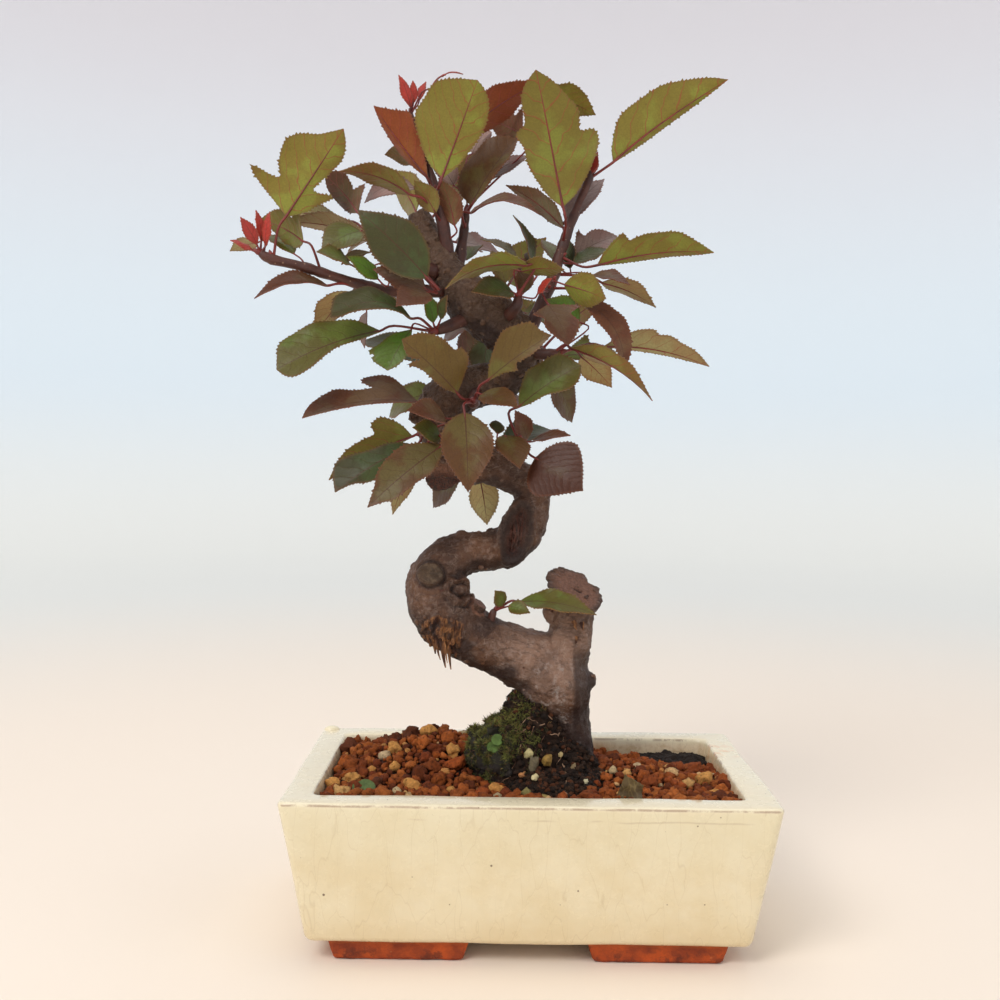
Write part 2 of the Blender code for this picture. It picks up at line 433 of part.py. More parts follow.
def tube(name, path, radii, bevel_resolution):
    """A round limb along a path, made from a curve with a radius at each point, as a closed mesh.

    Its sides are 4, 6, 8, 10 or 12 for a bevel resolution of 0 to 4.
    """
    curve = bpy.data.curves.new(name, "CURVE")
    curve.dimensions = "3D"
    curve.bevel_depth = MM
    curve.bevel_resolution = bevel_resolution
    curve.use_fill_caps = True
    spline = curve.splines.new("POLY")
    spline.points.add(len(path) - 1)
    for point, place, radius in zip(spline.points, path, radii):
        point.co = (*(Vector(place) * MM), 1)
        point.radius = radius
    guide = add_object(name + "_guide", curve, "helpers")
    bpy.context.view_layer.update()
    mesh = bpy.data.meshes.new_from_object(guide.evaluated_get(bpy.context.evaluated_depsgraph_get()))
    shape = bmesh.new()
    shape.from_mesh(mesh)
    bmesh.ops.remove_doubles(shape, verts=shape.verts, dist=1e-6)
    bmesh.ops.recalc_face_normals(shape, faces=shape.faces)
    shape.to_mesh(mesh)
    shape.free()
    bpy.data.objects.remove(guide, do_unlink=True)
    bpy.data.curves.remove(curve)
    return add_object(name, mesh, "helpers")


def boolean(obj, others, operation):
    """Joins others to obj, or cuts them from it, in one modifier that is then applied."""
    group = bpy.data.collections.new("operands")
    bpy.context.scene.collection.children.link(group)
    for other in others:
        group.objects.link(other)
    modifier = obj.modifiers.new("boolean", "BOOLEAN")
    modifier.operation = operation
    modifier.solver = "MANIFOLD"
    modifier.operand_type = "COLLECTION"
    modifier.material_mode = "TRANSFER"
    modifier.collection = group
    bpy.context.view_layer.update()
    mesh = bpy.data.meshes.new_from_object(obj.evaluated_get(bpy.context.evaluated_depsgraph_get()))
    obj.modifiers.clear()
    obj.data = mesh
    bpy.data.collections.remove(group)
    for other in others:
        bpy.data.objects.remove(other, do_unlink=True)
    return obj


def keep_largest(obj):
    """Drops the loose scraps that a cut can leave, so that the object is one body."""
    shape = bmesh.new()
    shape.from_mesh(obj.data)
    shape.verts.ensure_lookup_table()
    unseen, bodies = set(shape.verts), []
    while unseen:
        body, edge = set(), [unseen.pop()]
        while edge:
            vert = edge.pop()
            body.add(vert)
            near = {e.other_vert(vert) for e in vert.link_edges} & unseen
            unseen -= near
            edge.extend(near)
        bodies.append(body)
    bodies.sort(key=len)
    for body in bodies[:-1]:
        bmesh.ops.delete(shape, geom=list(body), context="VERTS")
    bmesh.ops.dissolve_degenerate(shape, dist=1e-6, edges=shape.edges)
    shape.to_mesh(obj.data)
    shape.free()
    return obj


def finish_node(obj, name, finish=None):
    """Names a finished piece and moves it to the tree's collection."""
    for group in list(obj.users_collection):
        group.objects.unlink(obj)
    obj.name = name
    collection("apple_bonsai").objects.link(obj)
    if finish is not None:
        obj.data.materials.clear()
        obj.data.materials.append(finish)
    return obj


def inner_half(height, clearance=0.0):
    """Half sizes of the pot's inside at a height."""
    share = (height - FLOOR_TOP) / (POT_TOP - FLOOR_TOP)
    slope_x, slope_y = (RIM_X - FOOT_X), (RIM_Y - FOOT_Y)
    down = (POT_TOP - FLOOR_TOP) / (POT_TOP - POT_UNDER)
    wall = WALL_LOW + (WALL_TOP - WALL_LOW) * share
    return (RIM_X - slope_x * down * (1 - share) - wall - clearance,
            RIM_Y - slope_y * down * (1 - share) - wall - clearance)


def inside_block(name, low_z, high_z, clearance):
    """The space inside the pot between two heights."""
    return plain_block(name, inner_half(low_z, clearance), inner_half(high_z, clearance), low_z, high_z,
                       INNER_CORNER)


def foot_arm(name, x_range, y_range, slant):
    """One arm of a corner foot, shorter and narrower where it meets the table."""
    shape = bmesh.new()
    bmesh.ops.create_cube(shape, size=2)
    for vert in shape.verts:
        top = vert.co.z > 0
        x = x_range[vert.co.x > 0] - (0 if top else math.copysign(slant[0], vert.co.x))
        y = y_range[vert.co.y > 0] - (0 if top else math.copysign(slant[1], vert.co.y))
        vert.co = Vector((POT_X + x, y, POT_UNDER + 1.5 if top else 0.0))
    upright = [e for e in shape.edges if abs(e.verts[0].co.z - e.verts[1].co.z) > 1]
    bmesh.ops.bevel(shape, geom=upright, offset=2.0, segments=2, profile=0.5, affect="EDGES")
    return from_bmesh(name, shape)


def build_pot():
    """The pot with its four corner feet, fired as one piece: glazed body, bare clay feet, two drain holes."""
    glaze = material("cream_glaze", (0.78, 0.66, 0.44), 0.25)
    clay = material("bare_clay", (0.42, 0.09, 0.03), 0.8)
    levels = []
    for height, inset in ((POT_UNDER, EDGE_LOW), (POT_UNDER + 0.3 * EDGE_LOW, 0.3 * EDGE_LOW),
                          (POT_UNDER + EDGE_LOW, 0), (POT_TOP - EDGE_HIGH, 0),
                          (POT_TOP - 0.3 * EDGE_HIGH, 0.3 * EDGE_HIGH), (POT_TOP, EDGE_HIGH)):
        share = (height - POT_UNDER) / (POT_TOP - POT_UNDER)
        levels.append((height, FOOT_X + (RIM_X - FOOT_X) * share - inset,
                       FOOT_Y + (RIM_Y - FOOT_Y) * share - inset, CORNER))
    pot = lofted_block("pot", levels)
    inner = [(height, *(half + out for half in inner_half(height)), INNER_CORNER + out)
             for height, out in ((FLOOR_TOP, 0), (POT_TOP - EDGE_HIGH, 0), (POT_TOP, EDGE_HIGH),
                                 (POT_TOP + EDGE_HIGH, 3 * EDGE_HIGH))]
    boolean(pot, [lofted_block("cavity", inner, 2)], "DIFFERENCE")
    drains = []
    for side in (-1, 1):
        shape = bmesh.new()
        bmesh.ops.create_cone(shape, cap_ends=True, segments=14, radius1=DRAIN_RADIUS, radius2=DRAIN_RADIUS,
                              depth=30, matrix=Matrix.Translation((POT_X + side * DRAIN_X, 0, FLOOR_TOP)))
        drains.append(from_bmesh("drain", shape))
    boolean(pot, drains, "DIFFERENCE")
    arms = []
    front = FOOT_Y - 2.5
    for side_x in (-1, 1):
        for side_y in (-1, 1):
            long_x = sorted((side_x * FOOT_IN, side_x * FOOT_OUT))
            long_y = sorted((side_y * (front - FOOT_WIDE), side_y * front))
            arms.append(foot_arm("foot_long", long_x, long_y, (FOOT_SLANT, 0.8)))
            short_x = sorted((side_x * (FOOT_OUT - FOOT_WIDE - 0.7), side_x * (FOOT_OUT - 0.6)))
            short_y = sorted((side_y * FOOT_BACK, side_y * (front - 0.6)))
            arms.append(foot_arm("foot_short", short_x, short_y, (1.3, FOOT_SLANT)))
    boolean(pot, arms, "UNION")
    finish_node(pot, "pot", glaze)
    pot.data.materials.append(clay)
    for face in pot.data.polygons:
        face.material_index = int(face.center.z < (POT_UNDER + 0.6) * MM)


def build_screens():
    """The two square nets that lie over the drain holes and keep the soil in."""
    net = material("net_plastic", (0.03, 0.05, 0.03), 0.6)
    pitch = SCREEN_SIDE / SCREEN_BARS
    for side, name in ((-1, "drain_net_left"), (1, "drain_net_right")):
        shape = bmesh.new()
        bmesh.ops.create_grid(shape, x_segments=SCREEN_BARS, y_segments=SCREEN_BARS, size=SCREEN_SIDE / 2)
        holes = bmesh.ops.inset_individual(shape, faces=shape.faces[:], thickness=pitch * 0.16)
        outer = set(holes["faces"])
        bmesh.ops.delete(shape, geom=[f for f in shape.faces if f not in outer], context="FACES_ONLY")
        bmesh.ops.translate(shape, vec=(POT_X + side * DRAIN_X, 0, FLOOR_TOP + GAP), verts=shape.verts)
        sheet = from_bmesh(name, shape)
        thicken(sheet, SCREEN_THICK, 1.0)
        finish_node(sheet, name, net)


def thicken(sheet, thickness, offset):
    """Gives an open sheet its thickness, to one side of it or to both."""
    modifier = sheet.modifiers.new("thickness", "SOLIDIFY")
    modifier.thickness = thickness * MM
    modifier.offset = offset
    bpy.context.view_layer.update()
    mesh = bpy.data.meshes.new_from_object(sheet.evaluated_get(bpy.context.evaluated_depsgraph_get()))
    sheet.modifiers.clear()
    sheet.data = mesh
    shape = bmesh.new()
    shape.from_mesh(mesh)
    bmesh.ops.recalc_face_normals(shape, faces=shape.faces)
    shape.to_mesh(mesh)
    shape.free()


def roughen(obj, size, height):
    """Moves each point of a limb in or out by noise, for bark that isn't turned on a lathe."""
    mesh = obj.data
    normals = [v.normal.copy() for v in mesh.vertices]
    for vert, normal in zip(mesh.vertices, normals):
        vert.co += normal * noise.noise(vert.co / MM / size) * height * MM


def cut_end(limb, place, facing):
    """Saws a limb off at a plane, and closes it with the flat cut."""
    shape = bmesh.new()
    shape.from_mesh(limb.data)
    bmesh.ops.bisect_plane(shape, geom=shape.verts[:] + shape.edges[:] + shape.faces[:],
                           plane_co=Vector(place) * MM, plane_no=facing, clear_outer=True)
    bmesh.ops.holes_fill(shape, edges=[e for e in shape.edges if e.is_boundary], sides=0)
    bmesh.ops.recalc_face_normals(shape, faces=shape.faces)
    shape.to_mesh(limb.data)
    shape.free()


def limb(name, points, radii, grow, bevel_resolution):
    """A limb grown outwards all round and at both ends."""
    path = [Vector(p) for p in points]
    path[0] += (path[0] - path[1]).normalized() * grow
    path[-1] += (path[-1] - path[-2]).normalized() * grow
    return tube(name, path, [r + grow for r in radii], bevel_resolution)


def trunk_limbs(grow):
    """All the wood that grew as one, as overlapping limbs, each grown outwards by the same amount."""
    limbs = [limb("trunk", [p[:3] for p in TRUNK], [p[3] for p in TRUNK], grow, 3)]
    roughen(limbs[0], 9.0, 1.1)
    for points, radii, place, facing in STUBS:
        limbs.append(limb("stub", points, radii, grow, 2))
        roughen(limbs[-1], 5.0, 0.7)
        cut_end(limbs[-1], Vector(place) + Vector(facing).normalized() * grow, facing)
    for points in ROOTS:
        limbs.append(limb("root", points, (5, 3.4, 1.6), grow, 0))
    for centre, radii in KNOBS:
        limbs.append(stone("knob", centre, [r + grow for r in radii], int(radii[0] * 10 + centre[2])))
    for foot, tip, radius in TORN_WOOD:
        middle = Vector(foot).lerp(Vector(tip), 0.55)
        limbs.append(limb("splinter", [foot, middle, tip], (radius, radius * 0.8, 0.8), grow, 0))
    return limbs


def build_trunk():
    """The whole of the wood that grew as one: roots, twisted trunk, cut stubs, knobs, torn wood and a scar."""
    trunk, *limbs = trunk_limbs(0)
    boolean(trunk, limbs, "UNION")
    scar = ball("scar", (0, 0, 0), SCAR_SIZE)
    scar.data.transform(Matrix.Rotation(math.radians(SCAR_TILT), 4, "Y"))
    scar.data.transform(Matrix.Translation(Vector(SCAR_AT) * MM))
    boolean(trunk, [scar], "DIFFERENCE")
    finish_node(keep_largest(trunk), "trunk", material("bark", (0.150, 0.105, 0.085), 0.65))


def wood_cutter():
    """The trunk and a clearance all round it, as one body that cuts the hole for it."""
    cutter, *limbs = trunk_limbs(GROW)
    return boolean(cutter, limbs, "UNION")


def mound_lumps(grow):
    """The soil that rises round the foot of the trunk, as overlapping lumps."""
    lumps = [((11, -4, 47), (27, 36, 16)), ((2, 1, 56), (25, 22, 22)), ((4, -1, 73), (14, 14, 17)),
             ((14, -2, 59), (14, 15, 13))]
    return [ball("mound", centre, [r + grow for r in radii]) for centre, radii in lumps]


def pale_stones(mound, grow):
    """Small stones half sunk where a line from the front meets the mound."""
    draw = random.Random(11)
    skin = tree_of([mesh_shape(lump) for lump in mound])
    stones = []
    for number, (x, z) in enumerate(PALE_STONES):
        place = skin.ray_cast(Vector((x, -80, z)), Vector((0, 1, 0)))[0]
        stones.append(stone("stone", place, [draw.uniform(1.5, 2.5) + grow for _ in range(3)], 40 + number))
    return stones


def build_soil():
    """The root ball: soil that fills the pot, with the mound at the trunk and a plain hole for all the wood."""
    soil = inside_block("soil", FLOOR_TOP + GAP, SOIL_TOP, GAP)
    mound = mound_lumps(0)
    lumps = mound + pale_stones(mound, 0) + [ball("bare_corner", *BARE_CORNER)]
    mass = lumps.pop(0)
    boolean(mass, lumps, "UNION")
    boolean(mass, [inside_block("fit", FLOOR_TOP + 12, 95, GAP)], "INTERSECT")
    boolean(soil, [mass], "UNION")
    pockets = []
    for side in (-1, 1):
        half = SCREEN_SIDE / 2 + GAP
        pocket = plain_block("pocket", (half, half), (half, half), FLOOR_TOP - 1,
                             FLOOR_TOP + SCREEN_THICK + 2 * GAP, 0.5)
        pocket.data.transform(Matrix.Translation((side * DRAIN_X * MM, 0, 0)))
        pockets.append(pocket)
    boolean(soil, [*pockets, wood_cutter()], "DIFFERENCE")
    finish_node(keep_largest(soil), "soil", material("dark_soil", (0.035, 0.024, 0.018), 0.95))


def moss_body(grow):
    """Cushions of moss over the mound's left side, placed by a seeded rule, before their underside is cut."""
    draw = random.Random(5)
    centre, radii = Vector((2, 1, 56)), Vector((25, 22, 22))
    body = ball("moss", centre, [r + 1.8 + grow for r in radii])
    lumps = []
    for _ in range(15):
        angle, up = math.radians(draw.uniform(140, 262)), math.radians(draw.uniform(22, 72))
        out = Vector((math.cos(up) * math.cos(angle), math.cos(up) * math.sin(angle), math.sin(up)))
        place = centre + Vector(a * b for a, b in zip(out, radii)) * 1.05
        size = draw.uniform(2.6, 4.2) + grow
        lumps.append(stone("moss", place, (size, size, size * 0.8), draw.randrange(99)))
    boolean(body, lumps, "UNION")
    side = plain_block("side", (22 + grow, 26 + grow), (22 + grow, 26 + grow), 59 - grow, 95, 6)
    side.data.transform(Matrix.Translation((-27.5 * MM, -2 * MM, 0)))
    return boolean(body, [side], "INTERSECT")


def build_moss():
    """The moss cushion on the mound and the little tuft in the pot's corner."""
    green = material("moss", (0.060, 0.085, 0.020), 0.95)
    moss = moss_body(0)
    boolean(moss, [*mound_lumps(GAP + 0.1), wood_cutter()], "DIFFERENCE")
    finish_node(keep_largest(moss), "moss_cushion", green)
    finish_node(corner_tuft(0), "moss_corner_tuft", green)


def corner_tuft(grow):
    """Small lumps of moss by the wall, at the left end of the pot."""
    draw = random.Random(8)
    lumps = []
    for number in range(5):
        place = (-67 + draw.uniform(-3, 3), 14 + number * 2.2, 51 + draw.uniform(0, 2))
        lumps.append(stone("tuft", place, [draw.uniform(3.0, 3.8) + grow] * 3, number))
    tuft = lumps.pop(0)
    boolean(tuft, lumps, "UNION")
    return boolean(tuft, [inside_block("fit", SOIL_TOP + GAP, 70, GAP)], "INTERSECT")


def heap_height(x, y):
    """Height of the heap of granules, before their own relief: high at the left and low at the right."""
    left = 12.0 * math.exp(-((x + 34) / 27) ** 2 - ((y - 14) / 24) ** 2)
    right = 6.0 * math.exp(-((x - 36) / 17) ** 2 - ((y + 4) / 22) ** 2)
    front = 2.0 * math.exp(-((y + 38) / 12) ** 2)
    return 53.0 + left + right + front - 2.5 * max(0, x / 75) * max(0, y / 41)


def build_gravel():
    """The layer of clay granules: a peak for each granule and a valley between each three, on one slab."""
    draw = random.Random(21)
    half_x, half_y = (half + 3 for half in inner_half(POT_TOP))
    peaks = []
    for row in range(int(2 * half_y / GRANULE) + 1):
        for column in range(int(2 * half_x / GRANULE) + 1):
            peaks.append(Vector((-half_x + (column + 0.5 * (row % 2)) * GRANULE + draw.uniform(-1.3, 1.3),
                                 -half_y + row * GRANULE + draw.uniform(-1.3, 1.3))))
    _, _, cells, *_ = delaunay_2d_cdt(peaks, [], [], 0, 1e-4)
    valleys = [sum((peaks[k] for k in cell), Vector((0, 0))) / 3 for cell in cells]
    flat, _, faces, *_ = delaunay_2d_cdt(peaks + valleys, [], [], 0, 1e-4)
    shape = bmesh.new()
    for number, (x, y) in enumerate(flat):
        rise = draw.uniform(0.7, 1.1) * GRANULE_HIGH if number < len(peaks) else 0
        shape.verts.new((x, y, heap_height(x, y) + rise))
    shape.verts.ensure_lookup_table()
    for face in faces:
        shape.faces.new([shape.verts[k] for k in face])
    rim = [e for e in shape.edges if e.is_boundary]
    skirt = bmesh.ops.extrude_edge_only(shape, edges=rim)["geom"]
    for vert in skirt:
        if isinstance(vert, bmesh.types.BMVert):
            vert.co.z = SOIL_TOP + GAP
    bmesh.ops.holes_fill(shape, edges=[e for e in shape.edges if e.is_boundary], sides=0)
    bmesh.ops.recalc_face_normals(shape, faces=shape.faces)
    gravel = from_bmesh("gravel", shape)
    boolean(gravel, [inside_block("fit", SOIL_TOP - 5, 90, GAP)], "INTERSECT")
    place, sizes = BARE_CORNER
    bare = ball("bare_corner", place, [sizes[0] + 0.5, sizes[1] + 0.5, 30])
    mound = mound_lumps(GAP + 0.1)
    cutters = [*mound, *pale_stones(mound, 2 * GAP), moss_body(GAP + 0.1), corner_tuft(GAP + 0.1), bare,
               wood_cutter(), leaf_scrap(1.3)]
    boolean(gravel, cutters, "DIFFERENCE")
    finish_node(keep_largest(gravel), "clay_gravel", material("clay_granules", (0.230, 0.075, 0.030), 0.9))


def leaf_scrap(thickness):
    """A dry scrap of leaf that stands in the granules by the front wall."""
    outline = [(-4.2, -2.5), (4.0, -2.5), (5.2, -0.5), (2.8, 5.6), (-2.4, 6.2), (-3.6, 3.0)]
    shape = bmesh.new()
    verts = [shape.verts.new((x, -0.06 * x * x, z)) for x, z in outline]
    shape.faces.new(verts)
    bmesh.ops.triangulate(shape, faces=shape.faces)
    bmesh.ops.rotate(shape, matrix=Matrix.Rotation(math.radians(-12), 3, "X"), verts=shape.verts)
    bmesh.ops.translate(shape, vec=(35, -36, 57), verts=shape.verts)
    scrap = from_bmesh("leaf_scrap", shape)
    thicken(scrap, thickness, 0.0)
    return scrap


def plain_half(leaf):
    """The edge of a half without lobes: a sawtooth along a smooth bulge, as (share of the length, out) pairs."""
    half = leaf.width / 2
    teeth = 3 if leaf.length > 30 else 2 if leaf.length > 15 else 1

    def edge(t):
        bulge = math.sin(math.pi * min(t, 1) ** 0.85)
        return half * bulge ** (0.8 if t < 0.44 else 1.15)

    step, bite = 0.93 / teeth, 0.10 * half
    points = []
    for tooth in range(teeth):
        tip = 0.04 + (tooth + 0.62) * step
        notch = tip + 0.28 * step
        points += [(tip, edge(tip) + bite), (notch, edge(notch) - 0.35 * bite)]
    return points


def toothed(edge):
    """A drawn edge with a small notch after each of its points that has a long way to go to the next."""
    points = []
    for (t, out), (next_t, next_out) in zip(edge, [*edge[1:], (1, 0)]):
        points.append((t, out))
        if next_t - t > LONG_GAP and out > 4:
            share = 0.3
            points.append((t + share * (next_t - t), out + share * (next_out - out) - TOOTH))
    return points


def blade_sheet(leaf):
    """The blade as an open sheet in its own frame, X along the midrib and Z out of the upper face.

    Its first and last outline points are where the stalk joins it.
    """
    halves = [toothed(edge) if edge else plain_half(leaf) for edge in (leaf.left, leaf.right)]
    left, right = [[(t * leaf.length, out) for t, out in half] for half in halves]
    rim = [(0, -STALK_HALF), *((x, -y) for x, y in right), (leaf.length, 0), *reversed(left), (0, STALK_HALF)]
    ribs = [(leaf.length * 0.45, 0)]
    tip = 1 + len(right)
    chain = [*range(len(rim), len(rim) + len(ribs)), tip]
    edges = [(k, (k + 1) % len(rim)) for k in range(len(rim))] + list(zip(chain, chain[1:]))
    flat, _, faces, *_ = delaunay_2d_cdt([Vector(p) for p in rim + ribs], edges, [], 1, 1e-4)
    points = []
    for x, y in flat:
        t = x / leaf.length
        raise_side = abs(y) * math.sin(math.radians(leaf.fold))
        bow = leaf.length * 4 * t * (1 - t)
        points.append(Vector((x, y * math.cos(math.radians(leaf.fold)) + leaf.sway * bow,
                              leaf.arch * bow + raise_side)))
    return points, faces, (len(rim) - 1, 0)


def leaf_axes(leaf):
    """The blade's own axes in the tree's frame, as a matrix whose columns are along, left and up."""
    heading, lean, turn = map(math.radians, (leaf.heading, leaf.lean, leaf.turn))
    along = Vector((math.cos(heading) * math.cos(lean), -math.sin(lean), math.sin(heading) * math.cos(lean)))
    viewer = Vector((0, -1, 0))
    facing = (viewer - along * viewer.dot(along)).normalized()
    edge_on = along.cross(facing)
    if edge_on.z < 0:
        edge_on.negate()
    up = edge_on * math.cos(turn) + facing * math.sin(turn)
    return Matrix((along, up.cross(along), up)).transposed()


def along_stem(stem, share):
    """The point of a stem at a share of its length."""
    lengths = [(Vector(b) - Vector(a)).length for a, b in zip(stem, stem[1:])]
    left = share * sum(lengths)
    for a, b, length in zip(stem, stem[1:], lengths):
        if left <= length:
            return Vector(a).lerp(Vector(b), left / length)
        left -= length
    return Vector(stem[-1])


def stalk_path(leaf, stem):
    """From inside the stem to the blade's start, which a longer stalk meets along the midrib."""
    root, base, along = along_stem(stem, leaf.at), Vector(leaf.base), leaf_axes(leaf).col[0]
    reach = (base - root).length
    bend = [base - along * min(reach * 0.35, STALK_BEND)] if reach > SHORT_STALK else []
    return [root, *bend, base]


def leaf_sheet(leaf, stem):
    """The stalk and the blade as one open sheet in place on the tree, and how many of its faces are blade."""
    blade, faces, (left, right) = blade_sheet(leaf)
    axes, path = leaf_axes(leaf), stalk_path(leaf, stem)
    points = [path[-1] + axes @ p for p in blade]
    faces = [tuple(face) for face in faces]
    blade_faces = len(faces)
    side = axes.col[1]
    for near, far in reversed(list(zip(path, path[1:]))):
        way = (far - near).normalized()
        across = side - way * side.dot(way)
        if across.length < 0.3:
            across = axes.col[2] - way * axes.col[2].dot(way)
        side = across.normalized()
        points += [near + side * STALK_HALF, near - side * STALK_HALF]
        faces += [(left, len(points) - 2, len(points) - 1), (left, len(points) - 1, right)]
        left, right = len(points) - 2, len(points) - 1
    return points, faces, blade_faces


def tree_of(parts):
    """One search tree over several (points, faces) shapes."""
    points, faces = [], []
    for more_points, more_faces in parts:
        start = len(points)
        points += more_points
        faces += [tuple(start + k for k in face) for face in more_faces]
    return BVHTree.FromPolygons(points, faces, epsilon=0.0)


def mesh_shape(obj):
    """Points in millimetres and faces of an object's mesh."""
    return [v.co / MM for v in obj.data.vertices], [tuple(f.vertices) for f in obj.data.polygons]


def build_spray(spray):
    """A stem with its leaves joined in one body, cut back to the bark that it grows from."""
    points = [(*p, r) for p, r in zip(spray.stem, spray.radii)]
    path = smooth_path(points, 2 if len(points) < 4 else 1)
    wood = material("stem_bark", STEM_TINT, 0.55)
    stem = tube(spray.name, [p[:3] for p in path], [p[3] for p in path], 1)
    stem.data.materials.append(wood)
    leaves = []
    for leaf in spray.leaves:
        places, faces, blade_faces = leaf_sheet(leaf, spray.stem)
        mesh = bpy.data.meshes.new("leaf")
        mesh.from_pydata([p * MM for p in places], [], faces)
        mesh.materials.append(material("leaf_" + leaf.tint, TINTS[leaf.tint], 0.5))
        mesh.materials.append(wood)
        for face in mesh.polygons:
            face.material_index = int(face.index >= blade_faces)
        leaves.append(add_object("leaf", mesh, "helpers"))
        thicken(leaves[-1], BLADE_THICK, 0.0)
    boolean(stem, leaves, "UNION")
    boolean(stem, [wood_cutter()], "DIFFERENCE")
    finish_node(keep_largest(stem), spray.name)


def centre_on_origin():
    """Parents every piece to one empty, moved so that the tree's box stands centred over the origin."""
    pieces = list(collection("apple_bonsai").objects)
    corners = [v.co for obj in pieces for v in obj.data.vertices]
    low = [min(c[k] for c in corners) for k in range(3)]
    high = [max(c[k] for c in corners) for k in range(3)]
    empty = bpy.data.objects.new("apple_bonsai_origin", None)
    collection("apple_bonsai").objects.link(empty)
    empty.location = (-(low[0] + high[0]) / 2, -(low[1] + high[1]) / 2, -low[2])
    for obj in pieces:
        obj.parent = empty
    for obj in list(bpy.data.objects):
        if obj.type == "MESH" and obj.name not in collection("apple_bonsai").objects:
            bpy.data.objects.remove(obj, do_unlink=True)
    bpy.context.view_layer.update()


def main():
    clear_scene()
    build_pot()
    build_screens()
    build_trunk()
    build_soil()
    build_moss()
    build_gravel()
    finish_node(leaf_scrap(0.7), "leaf_scrap", material("dry_leaf", (0.100, 0.075, 0.030), 0.5))
    for spray in SPRAYS:
        build_spray(spray)
    centre_on_origin()


main()
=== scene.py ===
# %% [markdown]
# # A small apple tree in a glazed pot
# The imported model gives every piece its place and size. This lesson dresses it: each plain solid is replaced by
# a finer piece of the same form, or gets a better finish. All sizes here are in millimetres in the tree's own
# frame, where the pot stands on z = 0 and the viewer is at -y, and `at` turns them into Blender's metres.

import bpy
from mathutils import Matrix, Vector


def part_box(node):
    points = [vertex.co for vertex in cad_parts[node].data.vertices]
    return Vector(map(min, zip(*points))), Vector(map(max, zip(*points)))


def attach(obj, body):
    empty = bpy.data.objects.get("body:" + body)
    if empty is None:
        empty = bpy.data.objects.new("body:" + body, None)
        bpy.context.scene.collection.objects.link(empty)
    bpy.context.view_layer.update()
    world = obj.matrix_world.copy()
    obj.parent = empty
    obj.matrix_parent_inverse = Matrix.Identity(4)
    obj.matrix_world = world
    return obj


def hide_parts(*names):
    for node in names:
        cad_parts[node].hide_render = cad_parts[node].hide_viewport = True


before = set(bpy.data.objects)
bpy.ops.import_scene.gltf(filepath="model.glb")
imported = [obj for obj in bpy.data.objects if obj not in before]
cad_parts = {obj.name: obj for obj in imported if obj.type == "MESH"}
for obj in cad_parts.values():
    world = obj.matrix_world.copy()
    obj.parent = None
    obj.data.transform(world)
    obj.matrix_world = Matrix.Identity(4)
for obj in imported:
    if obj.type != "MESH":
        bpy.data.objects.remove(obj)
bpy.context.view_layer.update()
print("nodes in the packed model:", len(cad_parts))

# %% Tools used all through the lesson
import math
import random

import bmesh
import bpy
from mathutils import Matrix, Vector, noise
from mathutils.bvhtree import BVHTree
from mathutils.geometry import delaunay_2d_cdt
from mathutils.kdtree import KDTree

MM = 0.001
POT_X = 1.3                        # the pot's middle in the tree's frame
pot_low, pot_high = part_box("pot")
TREE = (pot_low + pot_high) / 2 - Vector((POT_X * MM, 0, 0))
TREE.z = 0


def at(x, y, z):
    """A point of the tree's frame, given in millimetres, as Blender's metres."""
    return Vector((x, y, z)) * MM + TREE


def in_mm(place):
    """A point in metres as millimetres in the tree's frame."""
    return (place - TREE) / MM


print("the tree's frame starts at", [round(c / MM, 2) for c in TREE], "mm")

# %% [markdown]
# An operator acts on everything that is selected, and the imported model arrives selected. So each step below first
# picks its own object, and in edit mode picks its own points, edges or faces by where they are.

# %% Picking and shaping


def pick(*pieces):
    """Leaves only these objects selected, the first of them active."""
    if bpy.context.mode != "OBJECT":
        bpy.ops.object.mode_set(mode="OBJECT")
    bpy.ops.object.select_all(action="DESELECT")
    for piece in pieces:
        piece.select_set(True)
    bpy.context.view_layer.objects.active = pieces[0]


def start(name, add, **options):
    """Adds a primitive with its own name, and fixes its place and size in its mesh."""
    if bpy.context.mode != "OBJECT":
        bpy.ops.object.mode_set(mode="OBJECT")
    bpy.ops.object.select_all(action="DESELECT")
    add(**options)
    piece = bpy.context.object
    piece.name = piece.data.name = name
    bpy.ops.object.transform_apply(location=True, rotation=True, scale=True)
    return piece


def edit(piece, kind, test):
    """Goes into edit mode with the points, edges or faces selected whose middle (in mm) passes the test."""
    pick(piece)
    bpy.ops.object.mode_set(mode="EDIT")
    bpy.ops.mesh.select_mode(type=kind)
    bpy.ops.mesh.select_all(action="DESELECT")
    shape = bmesh.from_edit_mesh(piece.data)
    parts = {"VERT": shape.verts, "EDGE": shape.edges, "FACE": shape.faces}[kind]
    for part in parts:
        verts = [part] if kind == "VERT" else part.verts
        middle = sum((in_mm(v.co) for v in verts), Vector()) / len(verts)
        part.select_set(bool(test(middle, part)))
    shape.select_flush_mode()
    bmesh.update_edit_mesh(piece.data)


def done():
    """Back to object mode."""
    bpy.ops.object.mode_set(mode="OBJECT")


def use(piece, kind, **settings):
    """Adds a modifier with these settings and applies it."""
    pick(piece)
    modifier = piece.modifiers.new(kind.lower(), kind)
    for key, value in settings.items():
        setattr(modifier, key, value)
    bpy.ops.object.modifier_apply(modifier=modifier.name)
    return piece


def join(name, pieces):
    """Makes one object of several."""
    pick(*pieces)
    if len(pieces) > 1:
        bpy.ops.object.join()
    pieces[0].name = pieces[0].data.name = name
    return pieces[0]


def smooth(piece, degrees=40):
    """Smooth shading, with edges sharper than this left crisp."""
    pick(piece)
    bpy.ops.object.shade_smooth_by_angle(angle=math.radians(degrees))


def hand_over(piece, slot, *nodes):
    """Puts a finished piece on the tree's only body, in place of the plain nodes it stands for."""
    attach(piece, "root")
    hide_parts(*nodes)
    print(piece.name, "stands for", *nodes, "with", sum(len(f.vertices) - 2 for f in piece.data.polygons), "triangles")


